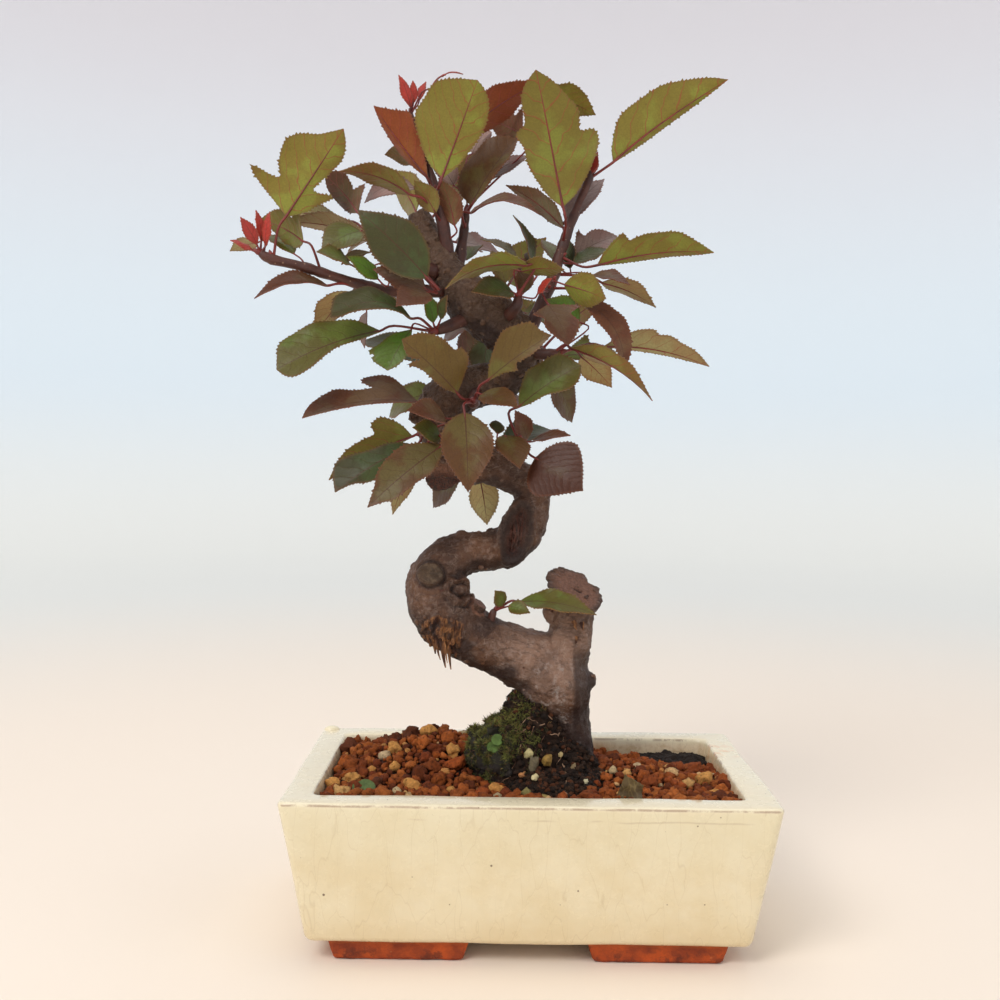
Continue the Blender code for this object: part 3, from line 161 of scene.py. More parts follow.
def placed(name, data):
    """A new object in the scene that holds this mesh, curve, lamp or camera."""
    piece = bpy.data.objects.new(name, data)
    bpy.context.scene.collection.objects.link(piece)
    return piece


def from_lists(name, points, faces, mats=()):
    """An object from points in mm and faces, for shapes that a formula gives."""
    mesh = bpy.data.meshes.new(name)
    mesh.from_pydata([at(*p) for p in points], [], faces)
    for mat in mats:
        mesh.materials.append(mat)
    return placed(name, mesh)


def store(piece, name, rows):
    """Keeps a number, a vector or a colour for each point of a mesh, for its finish to read."""
    kind, key = {1: ("FLOAT", "value"), 3: ("FLOAT_VECTOR", "vector"), 4: ("FLOAT_COLOR", "color")}[
        len(rows[0]) if hasattr(rows[0], "__len__") else 1]
    flat = rows if key == "value" else [part for row in rows for part in row]
    piece.data.attributes.new(name, kind, "POINT").data.foreach_set(key, flat)


def face_outward(piece, inside=False):
    """Merges doubled points and turns every face outward, or inward."""
    pick(piece)
    bpy.ops.object.mode_set(mode="EDIT")
    bpy.ops.mesh.select_all(action="SELECT")
    bpy.ops.mesh.remove_doubles(threshold=0.00001)
    bpy.ops.mesh.normals_make_consistent(inside=inside)
    done()


def lump_texture(name, size, depth=2):
    """A cloud texture that a Displace modifier reads; it is a formula and holds no picture."""
    cloud = bpy.data.textures.new(name, "CLOUDS")
    cloud.noise_scale = size * MM
    cloud.noise_depth = depth
    return cloud


print("tools ready")

# %% [markdown]
# ## Finishes
# Each finish is a material made of nodes. The small builder below adds a node, sets its values and links whatever
# is given as a socket, so that a finish reads as a short list of steps. Effects that several finishes share
# become node groups.

# %% A bench for node trees


class Bench:
    """A node tree being put together, for a material or for a group."""

    def __init__(self, tree):
        self.tree = tree

    def add(self, kind, values=None, **settings):
        """Adds a node; values are for its inputs, and a socket among them is linked."""
        item = self.tree.nodes.new("ShaderNode" + kind)
        for key, value in settings.items():
            setattr(item, key, value)
        for key, value in (values or {}).items():
            if isinstance(value, bpy.types.NodeSocket):
                self.tree.links.new(value, item.inputs[key])
            else:
                item.inputs[key].default_value = value
        return item

    def math(self, operation, a, b=0.0, c=0.0):
        return self.add("Math", {0: a, 1: b, 2: c}, operation=operation).outputs[0]

    def times(self, a, b):
        return self.math("MULTIPLY", a, b)

    def plus(self, a, b):
        return self.math("ADD", a, b)

    def minus(self, a, b):
        return self.math("SUBTRACT", a, b)

    def step(self, value, low, high, out_low=0.0, out_high=1.0):
        """A value turned into a mask that rises smoothly from one level to another."""
        ranged = self.add("MapRange", {"Value": value, "From Min": low, "From Max": high, "To Min": out_low,
                                       "To Max": out_high}, interpolation_type="SMOOTHSTEP")
        return ranged.outputs["Result"]

    def mix(self, mask, a, b, blend="MIX"):
        mixed = self.add("Mix", {"Factor": mask, 6: a, 7: b}, data_type="RGBA", blend_type=blend)
        return mixed.outputs[2]

    def lay(self, under, mask, amount, over):
        """A colour laid over another one where a mask is, by some amount."""
        return self.mix(self.times(mask, amount), under, over)

    def shade(self, color, light):
        """A colour made lighter or darker by a factor."""
        grey = self.add("CombineColor", {0: light, 1: light, 2: light}).outputs[0]
        return self.mix(1.0, color, grey, "MULTIPLY")

    def noise(self, vector, scale, detail=3.0, roughness=0.55):
        made = self.add("TexNoise", {"Vector": vector, "Scale": scale, "Detail": detail, "Roughness": roughness})
        return made.outputs["Fac"]

    def bump(self, strength, distance, height):
        made = self.add("Bump", {"Strength": strength, "Distance": distance, "Height": height})
        return made.outputs["Normal"]

    def own(self, name, kind="Fac"):
        """What the mesh keeps under a name for each point."""
        return self.add("Attribute", attribute_name=name).outputs[kind]

    def stretch(self, place, scale, turn=(0, 0, 0)):
        """A place on a scale of its own for each axis, to draw a pattern out."""
        return self.add("Mapping", {"Vector": place, "Scale": scale, "Rotation": turn}).outputs["Vector"]

    def group(self, tree, **values):
        """Places a group; a value's name is its socket's name with _ for each space."""
        item = self.tree.nodes.new("ShaderNodeGroup")
        item.node_tree = tree
        for key, value in values.items():
            socket = item.inputs[key.replace("_", " ")]
            if isinstance(value, bpy.types.NodeSocket):
                self.tree.links.new(value, socket)
            else:
                socket.default_value = value
        return item.outputs

    def object_place(self):
        """Object coordinates in millimetres, so that every scale below is a real size."""
        return self.stretch(self.add("TexCoord").outputs["Object"], [1 / MM] * 3)

    def patches(self, place, size, first, second, contrast, grain):
        return self.group(PATCHES, Place=place, Size=size, First=first, Second=second, Contrast=contrast,
                          Grain=grain)["Color"]

    def specks(self, place, spacing, radius, share):
        return self.group(SPECKS, Place=place, Spacing=spacing, Radius=radius, Share=share)["Mask"]

    def cracks(self, place, size, width):
        return self.group(CRACKS, Place=place, Size=size, Width=width)["Mask"]


def new_group(name, inputs, outputs):
    """An empty shader group with named sockets, and its bench, inlet and outlet."""
    tree = bpy.data.node_groups.new(name, "ShaderNodeTree")
    for label, kind, value in inputs:
        socket = tree.interface.new_socket(label, in_out="INPUT", socket_type="NodeSocket" + kind)
        if value is not None:
            socket.default_value = value
    for label, kind in outputs:
        tree.interface.new_socket(label, in_out="OUTPUT", socket_type="NodeSocket" + kind)
    inlet = tree.nodes.new("NodeGroupInput").outputs
    outlet = tree.nodes.new("NodeGroupOutput").inputs
    return tree, Bench(tree), inlet, outlet


def new_finish(name, **values):
    """A material, its bench and its Principled shader with these even values set on its own sockets."""
    made = bpy.data.materials.new(name)
    made.use_nodes = True
    shader = made.node_tree.nodes["Principled BSDF"]
    for key, value in values.items():
        shader.inputs[key.replace("_", " ")].default_value = value
    return made, Bench(made.node_tree), shader


def feed(bench, shader, **sockets):
    """Links sockets to the shader's inputs by name."""
    for key, socket in sockets.items():
        bench.tree.links.new(socket, shader.inputs[key.replace("_", " ")])


def paint(red, green, blue):
    """A colour as a paint chart gives it, 0 to 255, in the linear values that nodes use."""
    def linear(part):
        part /= 255
        return part / 12.92 if part < 0.04045 else ((part + 0.055) / 1.055) ** 2.4
    return (linear(red), linear(green), linear(blue), 1)


print("bench ready")

# %% Shared effects: patches, specks, cracks and relief


def build_patches():
    """Two colours in soft patches of a given size, with a finer grain over them."""
    tree, bench, inlet, outlet = new_group("patches",
                                           [("Place", "Vector", None), ("Size", "Float", 5.0),
                                            ("First", "Color", None), ("Second", "Color", None),
                                            ("Contrast", "Float", 0.3), ("Grain", "Float", 0.15)],
                                           [("Color", "Color")])
    scale = bench.math("DIVIDE", 1.0, inlet["Size"])
    coarse = bench.noise(inlet["Place"], scale, 4.0, 0.6)
    low = bench.minus(0.5, inlet["Contrast"])
    high = bench.plus(0.5, inlet["Contrast"])
    mask = bench.step(coarse, low, high)
    fine = bench.noise(inlet["Place"], bench.times(scale, 9.0), 3.0, 0.7)
    color = bench.mix(mask, inlet["First"], inlet["Second"])
    shade = bench.math("MULTIPLY_ADD", bench.minus(fine, 0.5), inlet["Grain"], 1.0)
    bench.tree.links.new(bench.shade(color, shade), outlet["Color"])
    return tree


def build_specks():
    """Small round spots: a mask that is 1 in the middle of some cells."""
    tree, bench, inlet, outlet = new_group("specks",
                                           [("Place", "Vector", None), ("Spacing", "Float", 8.0),
                                            ("Radius", "Float", 0.06), ("Share", "Float", 0.3)], [("Mask", "Float")])
    cell = bench.add("TexVoronoi", {"Vector": inlet["Place"], "Scale": bench.math("DIVIDE", 1.0, inlet["Spacing"])})
    lot = bench.add("SeparateColor", {0: cell.outputs["Color"]})
    radius = bench.times(inlet["Radius"], bench.plus(lot.outputs[1], 0.4))
    spot = bench.step(cell.outputs["Distance"], radius, bench.times(radius, 0.6))
    chosen = bench.math("LESS_THAN", lot.outputs[0], inlet["Share"])
    bench.tree.links.new(bench.times(spot, chosen), outlet["Mask"])
    return tree


def build_cracks():
    """Fine lines between the cells of a bent net."""
    tree, bench, inlet, outlet = new_group("cracks",
                                           [("Place", "Vector", None), ("Size", "Float", 6.0),
                                            ("Width", "Float", 0.02)], [("Mask", "Float")])
    scale = bench.math("DIVIDE", 1.0, inlet["Size"])
    bend = bench.add("TexNoise", {"Vector": inlet["Place"], "Scale": scale, "Detail": 2.0})
    shift = bench.add("VectorMath", {0: bend.outputs["Color"], 3: inlet["Size"]}, operation="SCALE")
    place = bench.add("VectorMath", {0: inlet["Place"], 1: shift.outputs[0]}, operation="ADD")
    net = bench.add("TexVoronoi", {"Vector": place.outputs[0], "Scale": scale}, feature="DISTANCE_TO_EDGE")
    line = bench.step(net.outputs["Distance"], inlet["Width"], 0.0)
    bench.tree.links.new(line, outlet["Mask"])
    return tree


PATCHES, SPECKS, CRACKS = build_patches(), build_specks(), build_cracks()
print("groups:", PATCHES.name, SPECKS.name, CRACKS.name)

# %% [markdown]
# ## Camera, floor and light
# The camera stands where the photographer's did: about 0.43 m away, a little above the rim, with a 40 mm lens.
# The floor could be a plane with a wall behind it, but the line where they meet would show. One profile that
# runs flat and then bends up, spun round the tree, has no such line from any side.

# %% Camera
LENS, EYE = 40.43, (-10.7, -427, 178)
PITCH, ROLL = math.radians(2.44), math.radians(0.79)

look = Vector((0, math.cos(PITCH), -math.sin(PITCH)))
level_up = Vector((0, math.sin(PITCH), math.cos(PITCH)))
right = Vector((math.cos(ROLL), 0, 0)) + level_up * math.sin(ROLL)
up = Vector((-math.sin(ROLL), 0, 0)) + level_up * math.cos(ROLL)
camera_data = bpy.data.cameras.new("camera")
camera_data.lens, camera_data.sensor_width, camera_data.clip_start = LENS, 36, 0.01
camera = placed("camera", camera_data)
camera.matrix_world = Matrix.Translation(at(*EYE)) @ Matrix((right, up, -look)).transposed().to_4x4()
bpy.context.scene.camera = camera
bpy.context.scene.view_settings.view_transform = "Standard"
print("camera", [round(c, 3) for c in camera.location])

# %% Floor
FLOOR_FLAT, FLOOR_BEND, FLOOR_HIGH = 1.3, 0.9, 2.6   # metres


def build_floor():
    """A shallow seamless bowl: the profile is drawn once and spun round the tree."""
    floor = start("studio_floor", bpy.ops.mesh.primitive_plane_add, size=0.02, location=at(0, 0, 0))
    profile = [(FLOOR_FLAT * k / 6, 0) for k in range(7)]
    profile += [(FLOOR_FLAT + FLOOR_BEND * math.sin(a), FLOOR_BEND * (1 - math.cos(a)))
                for a in (math.radians(10 * k) for k in range(1, 10))]
    profile.append((FLOOR_FLAT + FLOOR_BEND, FLOOR_HIGH))
    edit(floor, "VERT", lambda middle, part: True)
    bpy.ops.mesh.delete(type="VERT")
    shape = bmesh.from_edit_mesh(floor.data)
    line = [shape.verts.new((TREE.x + out, TREE.y, height)) for out, height in profile]
    for a, b in zip(line, line[1:]):
        shape.edges.new((a, b)).select_set(True)
    bmesh.update_edit_mesh(floor.data)
    bpy.ops.mesh.spin(steps=64, angle=2 * math.pi, center=TREE, axis=(0, 0, 1))
    bpy.ops.mesh.select_all(action="SELECT")
    bpy.ops.mesh.remove_doubles(threshold=0.0005)
    bpy.ops.mesh.normals_make_consistent(inside=True)
    done()
    smooth(floor, 60)
    made, bench, shader = new_finish("studio_paper", Roughness=0.9)
    place = bench.add("TexCoord").outputs["Object"]
    height = bench.add("SeparateXYZ", {0: place}).outputs["Z"]
    warm, pale, cool, grey = paint(247, 233, 217), paint(240, 240, 234), paint(224, 234, 240), paint(222, 218, 221)
    far = bench.add("VectorMath", {0: place, 1: tuple(TREE)}, operation="DISTANCE").outputs["Value"]
    color = bench.mix(bench.step(far, 0.3, 1.1), warm, pale)
    color = bench.mix(bench.step(height, 0.0, 0.34), color, cool)
    color = bench.mix(bench.step(height, 0.35, 1.2), color, grey)
    glow = bench.step(far, 0.5, 2.3, 0.0, 0.26)
    feed(bench, shader, Base_Color=color, Emission_Color=color, Emission_Strength=glow)
    # the glow is weak, and a render that treats it as a lamp takes much longer
    made.cycles.emission_sampling = "NONE"
    floor.data.materials.append(made)
    return floor


floor = build_floor()
print("floor", len(floor.data.polygons), "faces")

# %% Light
LAMPS = [  # name, place in metres from the tree, size in metres, power in watts, colour
    ("key_front_left", (-0.75, -0.95, 1.25), 0.65, 12.5, (1, 0.98, 0.95)),
    ("fill_right", (1.1, -0.5, 0.7), 1.0, 1.8, (1, 0.97, 0.93)),
    ("top", (0.0, 0.25, 1.6), 1.2, 8, (0.97, 0.99, 1)),
]
for name, place, size, power, color in LAMPS:
    lamp = bpy.data.lights.new(name, "AREA")
    lamp.size, lamp.energy, lamp.color = size, power, color
    holder = placed(name, lamp)
    holder.location = TREE + Vector(place)
    holder.rotation_euler = (at(0, 0, 130) - holder.location).to_track_quat("-Z", "Y").to_euler()
world = bpy.data.worlds.new("studio")
world.use_nodes = True
world.node_tree.nodes["Background"].inputs["Color"].default_value = (0.93, 0.96, 1, 1)
world.node_tree.nodes["Background"].inputs["Strength"].default_value = 0.3
bpy.context.scene.world = world
print("lamps:", len(LAMPS))

# %% [markdown]
# ## The pot
# The pot is thick cream stoneware, glazed all over but for four corner feet of bare orange clay. It could be a
# lofted shell, but by hand it goes quicker: a cube is tapered, its top is inset by the width of the rim and
# pushed down for the hollow, and then the edges are rounded. Cutting the walls into small squares gives them
# enough points for the slight unevenness of a hand-made pot, without which a glaze looks like plastic.

# %% Pot sizes
RIM_X, RIM_Y = 86.5, 52.5          # half length and half depth at the rim
FOOT_X, FOOT_Y = 78.0, 45.0        # and at the underside
POT_TOP, POT_UNDER, FLOOR_TOP = 58.5, 7.0, 16.0
WALL = 11.0
INNER_LOW_X, INNER_LOW_Y = 69.4, 36.0
CORNER, INNER_CORNER, EDGE_LOW, EDGE_HIGH = 3.2, 4.0, 2.6, 1.5
DRAIN_X, DRAIN_RADIUS = 38.0, 7.0
PATCH_SIDE = 5.5                   # spacing of the cuts across the walls

# %% Pot body


def round_edges(piece, test, offset, segments):
    """Rounds the edges that pass a test."""
    edit(piece, "EDGE", test)
    bpy.ops.mesh.bevel(offset=offset * MM, segments=segments, affect="EDGES", clamp_overlap=False)
    done()


def cut_across(axis, low, high, spacing):
    """Cuts the piece that is being edited into slices across one axis."""
    count = int((high - low) / spacing)
    normal = [0, 0, 0]
    normal[axis] = 1
    for k in range(1, count):
        place = [0, 0, 0]
        place[axis] = low + (high - low) * k / count
        bpy.ops.mesh.select_all(action="SELECT")
        bpy.ops.mesh.bisect(plane_co=at(*place), plane_no=normal)


def build_pot_body():
    body = start("pot_body", bpy.ops.mesh.primitive_cube_add, size=1,
                 location=at(POT_X, 0, (POT_TOP + POT_UNDER) / 2),
                 scale=(2 * RIM_X * MM, 2 * RIM_Y * MM, (POT_TOP - POT_UNDER) * MM))
    middle = at(POT_X, 0, 0)
    edit(body, "FACE", lambda m, f: f.normal.z < -0.9)
    bpy.ops.transform.resize(value=(FOOT_X / RIM_X, FOOT_Y / RIM_Y, 1), center_override=middle)
    done()
    edit(body, "FACE", lambda m, f: f.normal.z > 0.9)
    bpy.ops.mesh.inset(thickness=WALL * MM)
    bpy.ops.mesh.extrude_region_move(TRANSFORM_OT_translate={"value": (0, 0, (FLOOR_TOP - POT_TOP) * MM)})
    bpy.ops.transform.resize(value=(INNER_LOW_X / (RIM_X - WALL), INNER_LOW_Y / (RIM_Y - WALL), 1),
                             center_override=middle)
    done()
    upright = lambda e: abs(e.verts[0].co.z - e.verts[1].co.z) > 20 * MM
    outside = lambda m: abs(m.x - POT_X) > INNER_LOW_X + 6 and abs(m.y) > INNER_LOW_Y + 6
    round_edges(body, lambda m, e: upright(e) and outside(m), CORNER, 4)
    round_edges(body, lambda m, e: upright(e) and not outside(m), INNER_CORNER, 4)
    sharp = lambda e: len(e.link_faces) == 2 and e.calc_face_angle() > math.radians(50)
    round_edges(body, lambda m, e: sharp(e) and abs(m.z - FLOOR_TOP) < 0.1, 3.0, 3)
    round_edges(body, lambda m, e: sharp(e) and abs(m.z - POT_TOP) < 0.1, EDGE_HIGH, 4)
    round_edges(body, lambda m, e: sharp(e) and abs(m.z - POT_UNDER) < 0.1, EDGE_LOW, 4)
    drains = [start("drain", bpy.ops.mesh.primitive_cylinder_add, vertices=32, radius=DRAIN_RADIUS * MM,
                    depth=30 * MM, location=at(POT_X + side * DRAIN_X, 0, 12)) for side in (-1, 1)]
    for drain in drains:
        use(body, "BOOLEAN", object=drain, operation="DIFFERENCE", solver="EXACT")
        bpy.data.objects.remove(drain, do_unlink=True)
    edit(body, "FACE", lambda m, f: True)
    cut_across(0, POT_X - RIM_X, POT_X + RIM_X, PATCH_SIDE)
    cut_across(1, -RIM_Y, RIM_Y, PATCH_SIDE)
    cut_across(2, POT_UNDER + 3, POT_TOP - 2, PATCH_SIDE)
    done()
    return body


pot_body = build_pot_body()
print("pot body", len(pot_body.data.vertices), "points")

# %% [markdown]
# The glaze has run into a small lump on the back left corner of the rim, and it pools in places. A low cloud
# displacement makes the walls very slightly uneven, as thrown or pressed clay is.

# %% Unevenness and the lump of glaze
use(pot_body, "DISPLACE", texture=lump_texture("clay_swell", 38, 1), strength=0.9 * MM, mid_level=0.5,
    texture_coords="GLOBAL")
glaze_lump = start("glaze_lump", bpy.ops.mesh.primitive_uv_sphere_add, segments=24, ring_count=12,
                   radius=2.6 * MM, location=at(POT_X - RIM_X + 4, RIM_Y - 3.4, POT_TOP - 0.3), scale=(1.3, 0.9, 0.75))
pot_body = join("pot_body", [pot_body, glaze_lump])
smooth(pot_body, 50)

# %% [markdown]
# The feet are one bent bar under each corner, a little narrower where it meets the table. Each is two tapered
# bars, and one remesh joins them all and softens their edges like clay that was cut with a wire and wiped.

# %% Feet
FOOT_OUT, FOOT_IN, FOOT_WIDE, FOOT_BACK = 70.5, 20.4, 9.0, 15.0
FRONT = FOOT_Y - 2.5


def foot_bar(x_low, x_high, y_low, y_high, slant_x, slant_y):
    """A bar that is shorter and narrower at the table."""
    size = (x_high - x_low, y_high - y_low, POT_UNDER + 1.0)
    middle = (POT_X + (x_low + x_high) / 2, (y_low + y_high) / 2, size[2] / 2)
    bar = start("foot_bar", bpy.ops.mesh.primitive_cube_add, size=1, location=at(*middle),
                scale=[s * MM for s in size])
    edit(bar, "FACE", lambda m, f: f.normal.z < -0.9)
    bpy.ops.transform.resize(value=(1 - 2 * slant_x / size[0], 1 - 2 * slant_y / size[1], 1),
                             center_override=at(middle[0], middle[1], 0))
    done()
    round_edges(bar, lambda m, e: True, 0.9, 2)
    return bar


def build_feet():
    bars = []
    for side_x in (-1, 1):
        for side_y in (-1, 1):
            x = sorted((side_x * FOOT_IN, side_x * FOOT_OUT))
            y = sorted((side_y * (FRONT - FOOT_WIDE), side_y * FRONT))
            bars.append(foot_bar(*x, *y, 2.4, 0.8))
            x = sorted((side_x * (FOOT_OUT - FOOT_WIDE - 0.7), side_x * (FOOT_OUT - 0.6)))
            y = sorted((side_y * FOOT_BACK, side_y * (FRONT - 0.6)))
            bars.append(foot_bar(*x, *y, 1.3, 2.4))
    feet = join("pot_feet", bars)
    use(feet, "REMESH", mode="VOXEL", voxel_size=0.75 * MM)
    use(feet, "SMOOTH", factor=0.5, iterations=3)
    use(feet, "DISPLACE", texture=lump_texture("foot_lumps", 5, 2), strength=0.5 * MM, mid_level=0.5,
        texture_coords="GLOBAL")
    for vert in feet.data.vertices:            # the undersides were ground level after the firing
        vert.co.z = max(vert.co.z, 0.0)
    smooth(feet, 60)
    return feet


pot_feet = build_feet()
print("feet", len(pot_feet.data.vertices), "points")

# %% [markdown]
# The glaze is cream and glossy, with a fine net of cracks, iron specks, a warmer tone where it is thin over the
# edges, and brown lines where it has broken along the rim. All of it is worked out from the place on the pot.

# %% Glaze and bare clay


def build_glaze():
    made, bench, shader = new_finish("cream_crackle_glaze", Roughness=0.24, IOR=1.5, Coat_Weight=0.35,
                                     Coat_Roughness=0.08)
    place = bench.object_place()
    base = bench.patches(place, 26.0, paint(236, 223, 190), paint(228, 211, 172), 0.2, 0.05)
    cloudy = bench.noise(place, 1 / 9, 4.0, 0.65)
    base = bench.mix(bench.step(cloudy, 0.56, 0.8, 0.0, 0.3), base, paint(238, 228, 202))
    parts = bench.add("SeparateXYZ", {0: place})
    x, y, z = parts.outputs
    out_x = bench.minus(bench.math("ABSOLUTE", bench.minus(x, POT_X + TREE.x / MM)), RIM_X)
    out_y = bench.minus(bench.math("ABSOLUTE", bench.minus(y, TREE.y / MM)), RIM_Y)
    out = bench.math("MAXIMUM", out_x, out_y)
    below = bench.minus(z, POT_TOP)
    # painted light: the top of the rim is made paler where the light from above falls on it; the foot of the wall is
    # warmer
    rim = bench.step(z, POT_TOP - 2.5, POT_TOP - 0.3)
    base = bench.lay(base, rim, 0.75, paint(248, 232, 200))
    base = bench.mix(bench.step(z, POT_TOP - 30, POT_TOP - 8, 0.0, 0.35), base, paint(230, 222, 190))
    low = bench.step(z, POT_UNDER + 16, POT_UNDER + 1)
    base = bench.lay(base, low, 0.35, paint(221, 196, 150))
    # inside the hollow the glaze is browner and stained by the soil
    inside = bench.times(bench.step(out, -WALL + 0.8, -WALL - 0.6), bench.step(z, POT_TOP - 0.3, POT_TOP - 3.5))
    stain = bench.noise(place, 1 / 7, 5.0, 0.7)
    inner = bench.mix(bench.step(stain, 0.35, 0.7), paint(234, 212, 176), paint(198, 164, 120))
    base = bench.mix(inside, base, inner)
    # brown broken line along the outer edge of the rim, and a fainter one on the inner edge
    wander = bench.times(bench.minus(bench.noise(place, 1 / 14, 2.0), 0.5), 1.6)
    edge_a = bench.plus(bench.plus(out, 0.35), wander)
    edge_b = bench.plus(below, 0.85)
    away = bench.math("SQRT", bench.plus(bench.times(edge_a, edge_a), bench.times(edge_b, edge_b)))
    broken = bench.step(bench.noise(place, 1 / 6, 4.0, 0.75), 0.34, 0.52)
    outer_line = bench.times(bench.step(away, 0.62, 0.15), broken)
    in_a = bench.plus(bench.plus(out, WALL - 0.4), bench.times(wander, 0.6))
    in_away = bench.math("SQRT", bench.plus(bench.times(in_a, in_a), bench.times(edge_b, edge_b)))
    inner_line = bench.times(bench.step(in_away, 0.8, 0.2), bench.step(stain, 0.44, 0.54))
    base = bench.lay(base, outer_line, 0.58, paint(138, 92, 72))
    base = bench.lay(base, inner_line, 0.6, paint(120, 78, 58))
    # a faint drip line a little below the rim, and an orange stain on the right side of the rim
    drip_at = bench.plus(bench.plus(below, 5.2), bench.times(wander, 1.3))
    drip = bench.times(bench.step(bench.math("ABSOLUTE", drip_at), 0.5, 0.1),
                       bench.step(bench.noise(place, 1 / 22, 2.0), 0.5, 0.6))
    base = bench.lay(base, drip, 0.25, paint(150, 116, 84))
    spot = bench.add("VectorMath", {0: place, 1: tuple(in_place(79, 24, 58.5))}, operation="DISTANCE")
    rust = bench.times(bench.step(spot.outputs["Value"], 16, 3), bench.step(stain, 0.48, 0.62))
    base = bench.lay(base, rust, 0.55, paint(222, 158, 96))
    # crackle, specks and crumbs
    upright = bench.stretch(place, (1.0, 1.0, 0.16))
    crackle = bench.cracks(upright, 7.5, 0.014)
    fine = bench.cracks(upright, 3.6, 0.014)
    patchy = bench.step(bench.noise(place, 1 / 30, 2.0), 0.42, 0.62)
    base = bench.lay(base, crackle, 0.17, paint(168, 140, 98))
    base = bench.lay(base, bench.times(fine, patchy), 0.1, paint(182, 150, 106))
    iron = bench.specks(place, 4.6, 0.06, 0.42)
    base = bench.lay(base, iron, 0.75, paint(104, 72, 44))
    dirt = bench.specks(place, 10.0, 0.045, 0.5)
    base = bench.lay(base, dirt, 0.85, paint(84, 52, 32))
    roughness = bench.step(cloudy, 0.3, 0.75, 0.2, 0.36)
    swell = bench.plus(bench.times(cloudy, 0.25), bench.times(crackle, -0.03))
    bump = bench.bump(0.35, 0.6 * MM, swell)
    feed(bench, shader, Base_Color=base, Roughness=roughness, Normal=bump)
    return made


def in_place(x, y, z):
    """A point of the tree's frame in the millimetres that object_place gives."""
    return at(x, y, z) / MM


def build_bare_clay():
    made, bench, shader = new_finish("bare_orange_clay", Roughness=0.75)
    place = bench.object_place()
    base = bench.patches(place, 9.0, paint(184, 76, 16), paint(128, 46, 8), 0.18, 0.5)
    z = bench.add("SeparateXYZ", {0: place}).outputs["Z"]
    # dark damp stains, more of them low on the feet
    damp = bench.times(bench.step(bench.noise(place, 1 / 6, 5.0, 0.7), 0.48, 0.6), bench.step(z, 6.5, 2.0, 0.25, 1.0))
    base = bench.lay(base, damp, 0.7, paint(84, 30, 10))
    base = bench.mix(bench.step(z, 5.6, 7.0, 0.0, 0.35), base, paint(198, 106, 50))
    grit = bench.specks(place, 2.0, 0.2, 0.25)
    base = bench.lay(base, grit, 0.25, paint(204, 134, 84))
    bump = bench.bump(0.6, 0.4 * MM, bench.noise(place, 1.6, 4.0, 0.7))
    feed(bench, shader, Base_Color=base, Normal=bump)
    return made


pot_body.data.materials.clear()
pot_body.data.materials.append(build_glaze())
pot_feet.data.materials.clear()
pot_feet.data.materials.append(build_bare_clay())
hand_over(pot_body, "pot_glaze", "pot")
hand_over(pot_feet, "pot_glaze", "pot")

# %% [markdown]
# The two drain nets lie hidden under the soil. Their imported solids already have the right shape, so they stay,
# and only their plastic is made here.

# %% Drain nets
net_plastic, bench, shader = new_finish("net_plastic", Roughness=0.5)
scuffed = bench.patches(bench.object_place(), 3.0, paint(34, 44, 36), paint(52, 60, 48), 0.2, 0.3)
feed(bench, shader, Base_Color=scuffed)
for name in ("drain_net_left", "drain_net_right"):
    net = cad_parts[name]
    net.data.materials.clear()
    net.data.materials.append(net_plastic)
print("nets finished")

# %% [markdown]
# ## The trunk
# The trunk is one living piece of wood: it winds from the root over two bends to a dead tip, with branches sawn
# off, healed wounds, a hollow scar and torn wood where a branch was pulled away. Metaballs or a sculpt could make
# it, but its path is known, so each limb is a thick curve. All limbs are joined and remeshed into one skin, and
# then the bark is raised on that skin point by point.

# %% Paths


def smooth_path(points, per_span):
    """Points of any size (x, y, z and more) along a Catmull-Rom curve through the given ones."""
    rows = [tuple(map(float, p)) for p in points]
    rows = [rows[0], *rows, rows[-1]]
    found = []
    for a, b, c, d in zip(rows, rows[1:], rows[2:], rows[3:]):
        for step in range(per_span):
            t = step / per_span
            found.append(tuple(
                0.5 * (2 * q + (r - p) * t + (2 * p - 5 * q + 4 * r - s) * t**2 + (3 * q - p - 3 * r + s) * t**3)
                for p, q, r, s in zip(a, b, c, d)))
    return [*found, rows[-1]]


def tubes(name, paths, bevel_resolution, mat):
    """Round limbs along paths of (x, y, z, radius), as splines of one curve that is then made a mesh."""
    curve = bpy.data.curves.new(name, "CURVE")
    curve.dimensions, curve.bevel_depth, curve.use_fill_caps = "3D", MM, True
    curve.bevel_resolution = bevel_resolution
    for path in paths:
        spline = curve.splines.new("POLY")
        spline.points.add(len(path) - 1)
        for point, (x, y, z, radius) in zip(spline.points, path):
            point.co = (*at(x, y, z), 1)
            point.radius = radius
    piece = placed(name, curve)
    pick(piece)
    bpy.ops.object.convert(target="MESH")
    face_outward(piece)
    piece.data.materials.clear()
    if mat is not None:
        piece.data.materials.append(mat)
    pick(piece)
    bpy.ops.object.shade_smooth()
    return piece


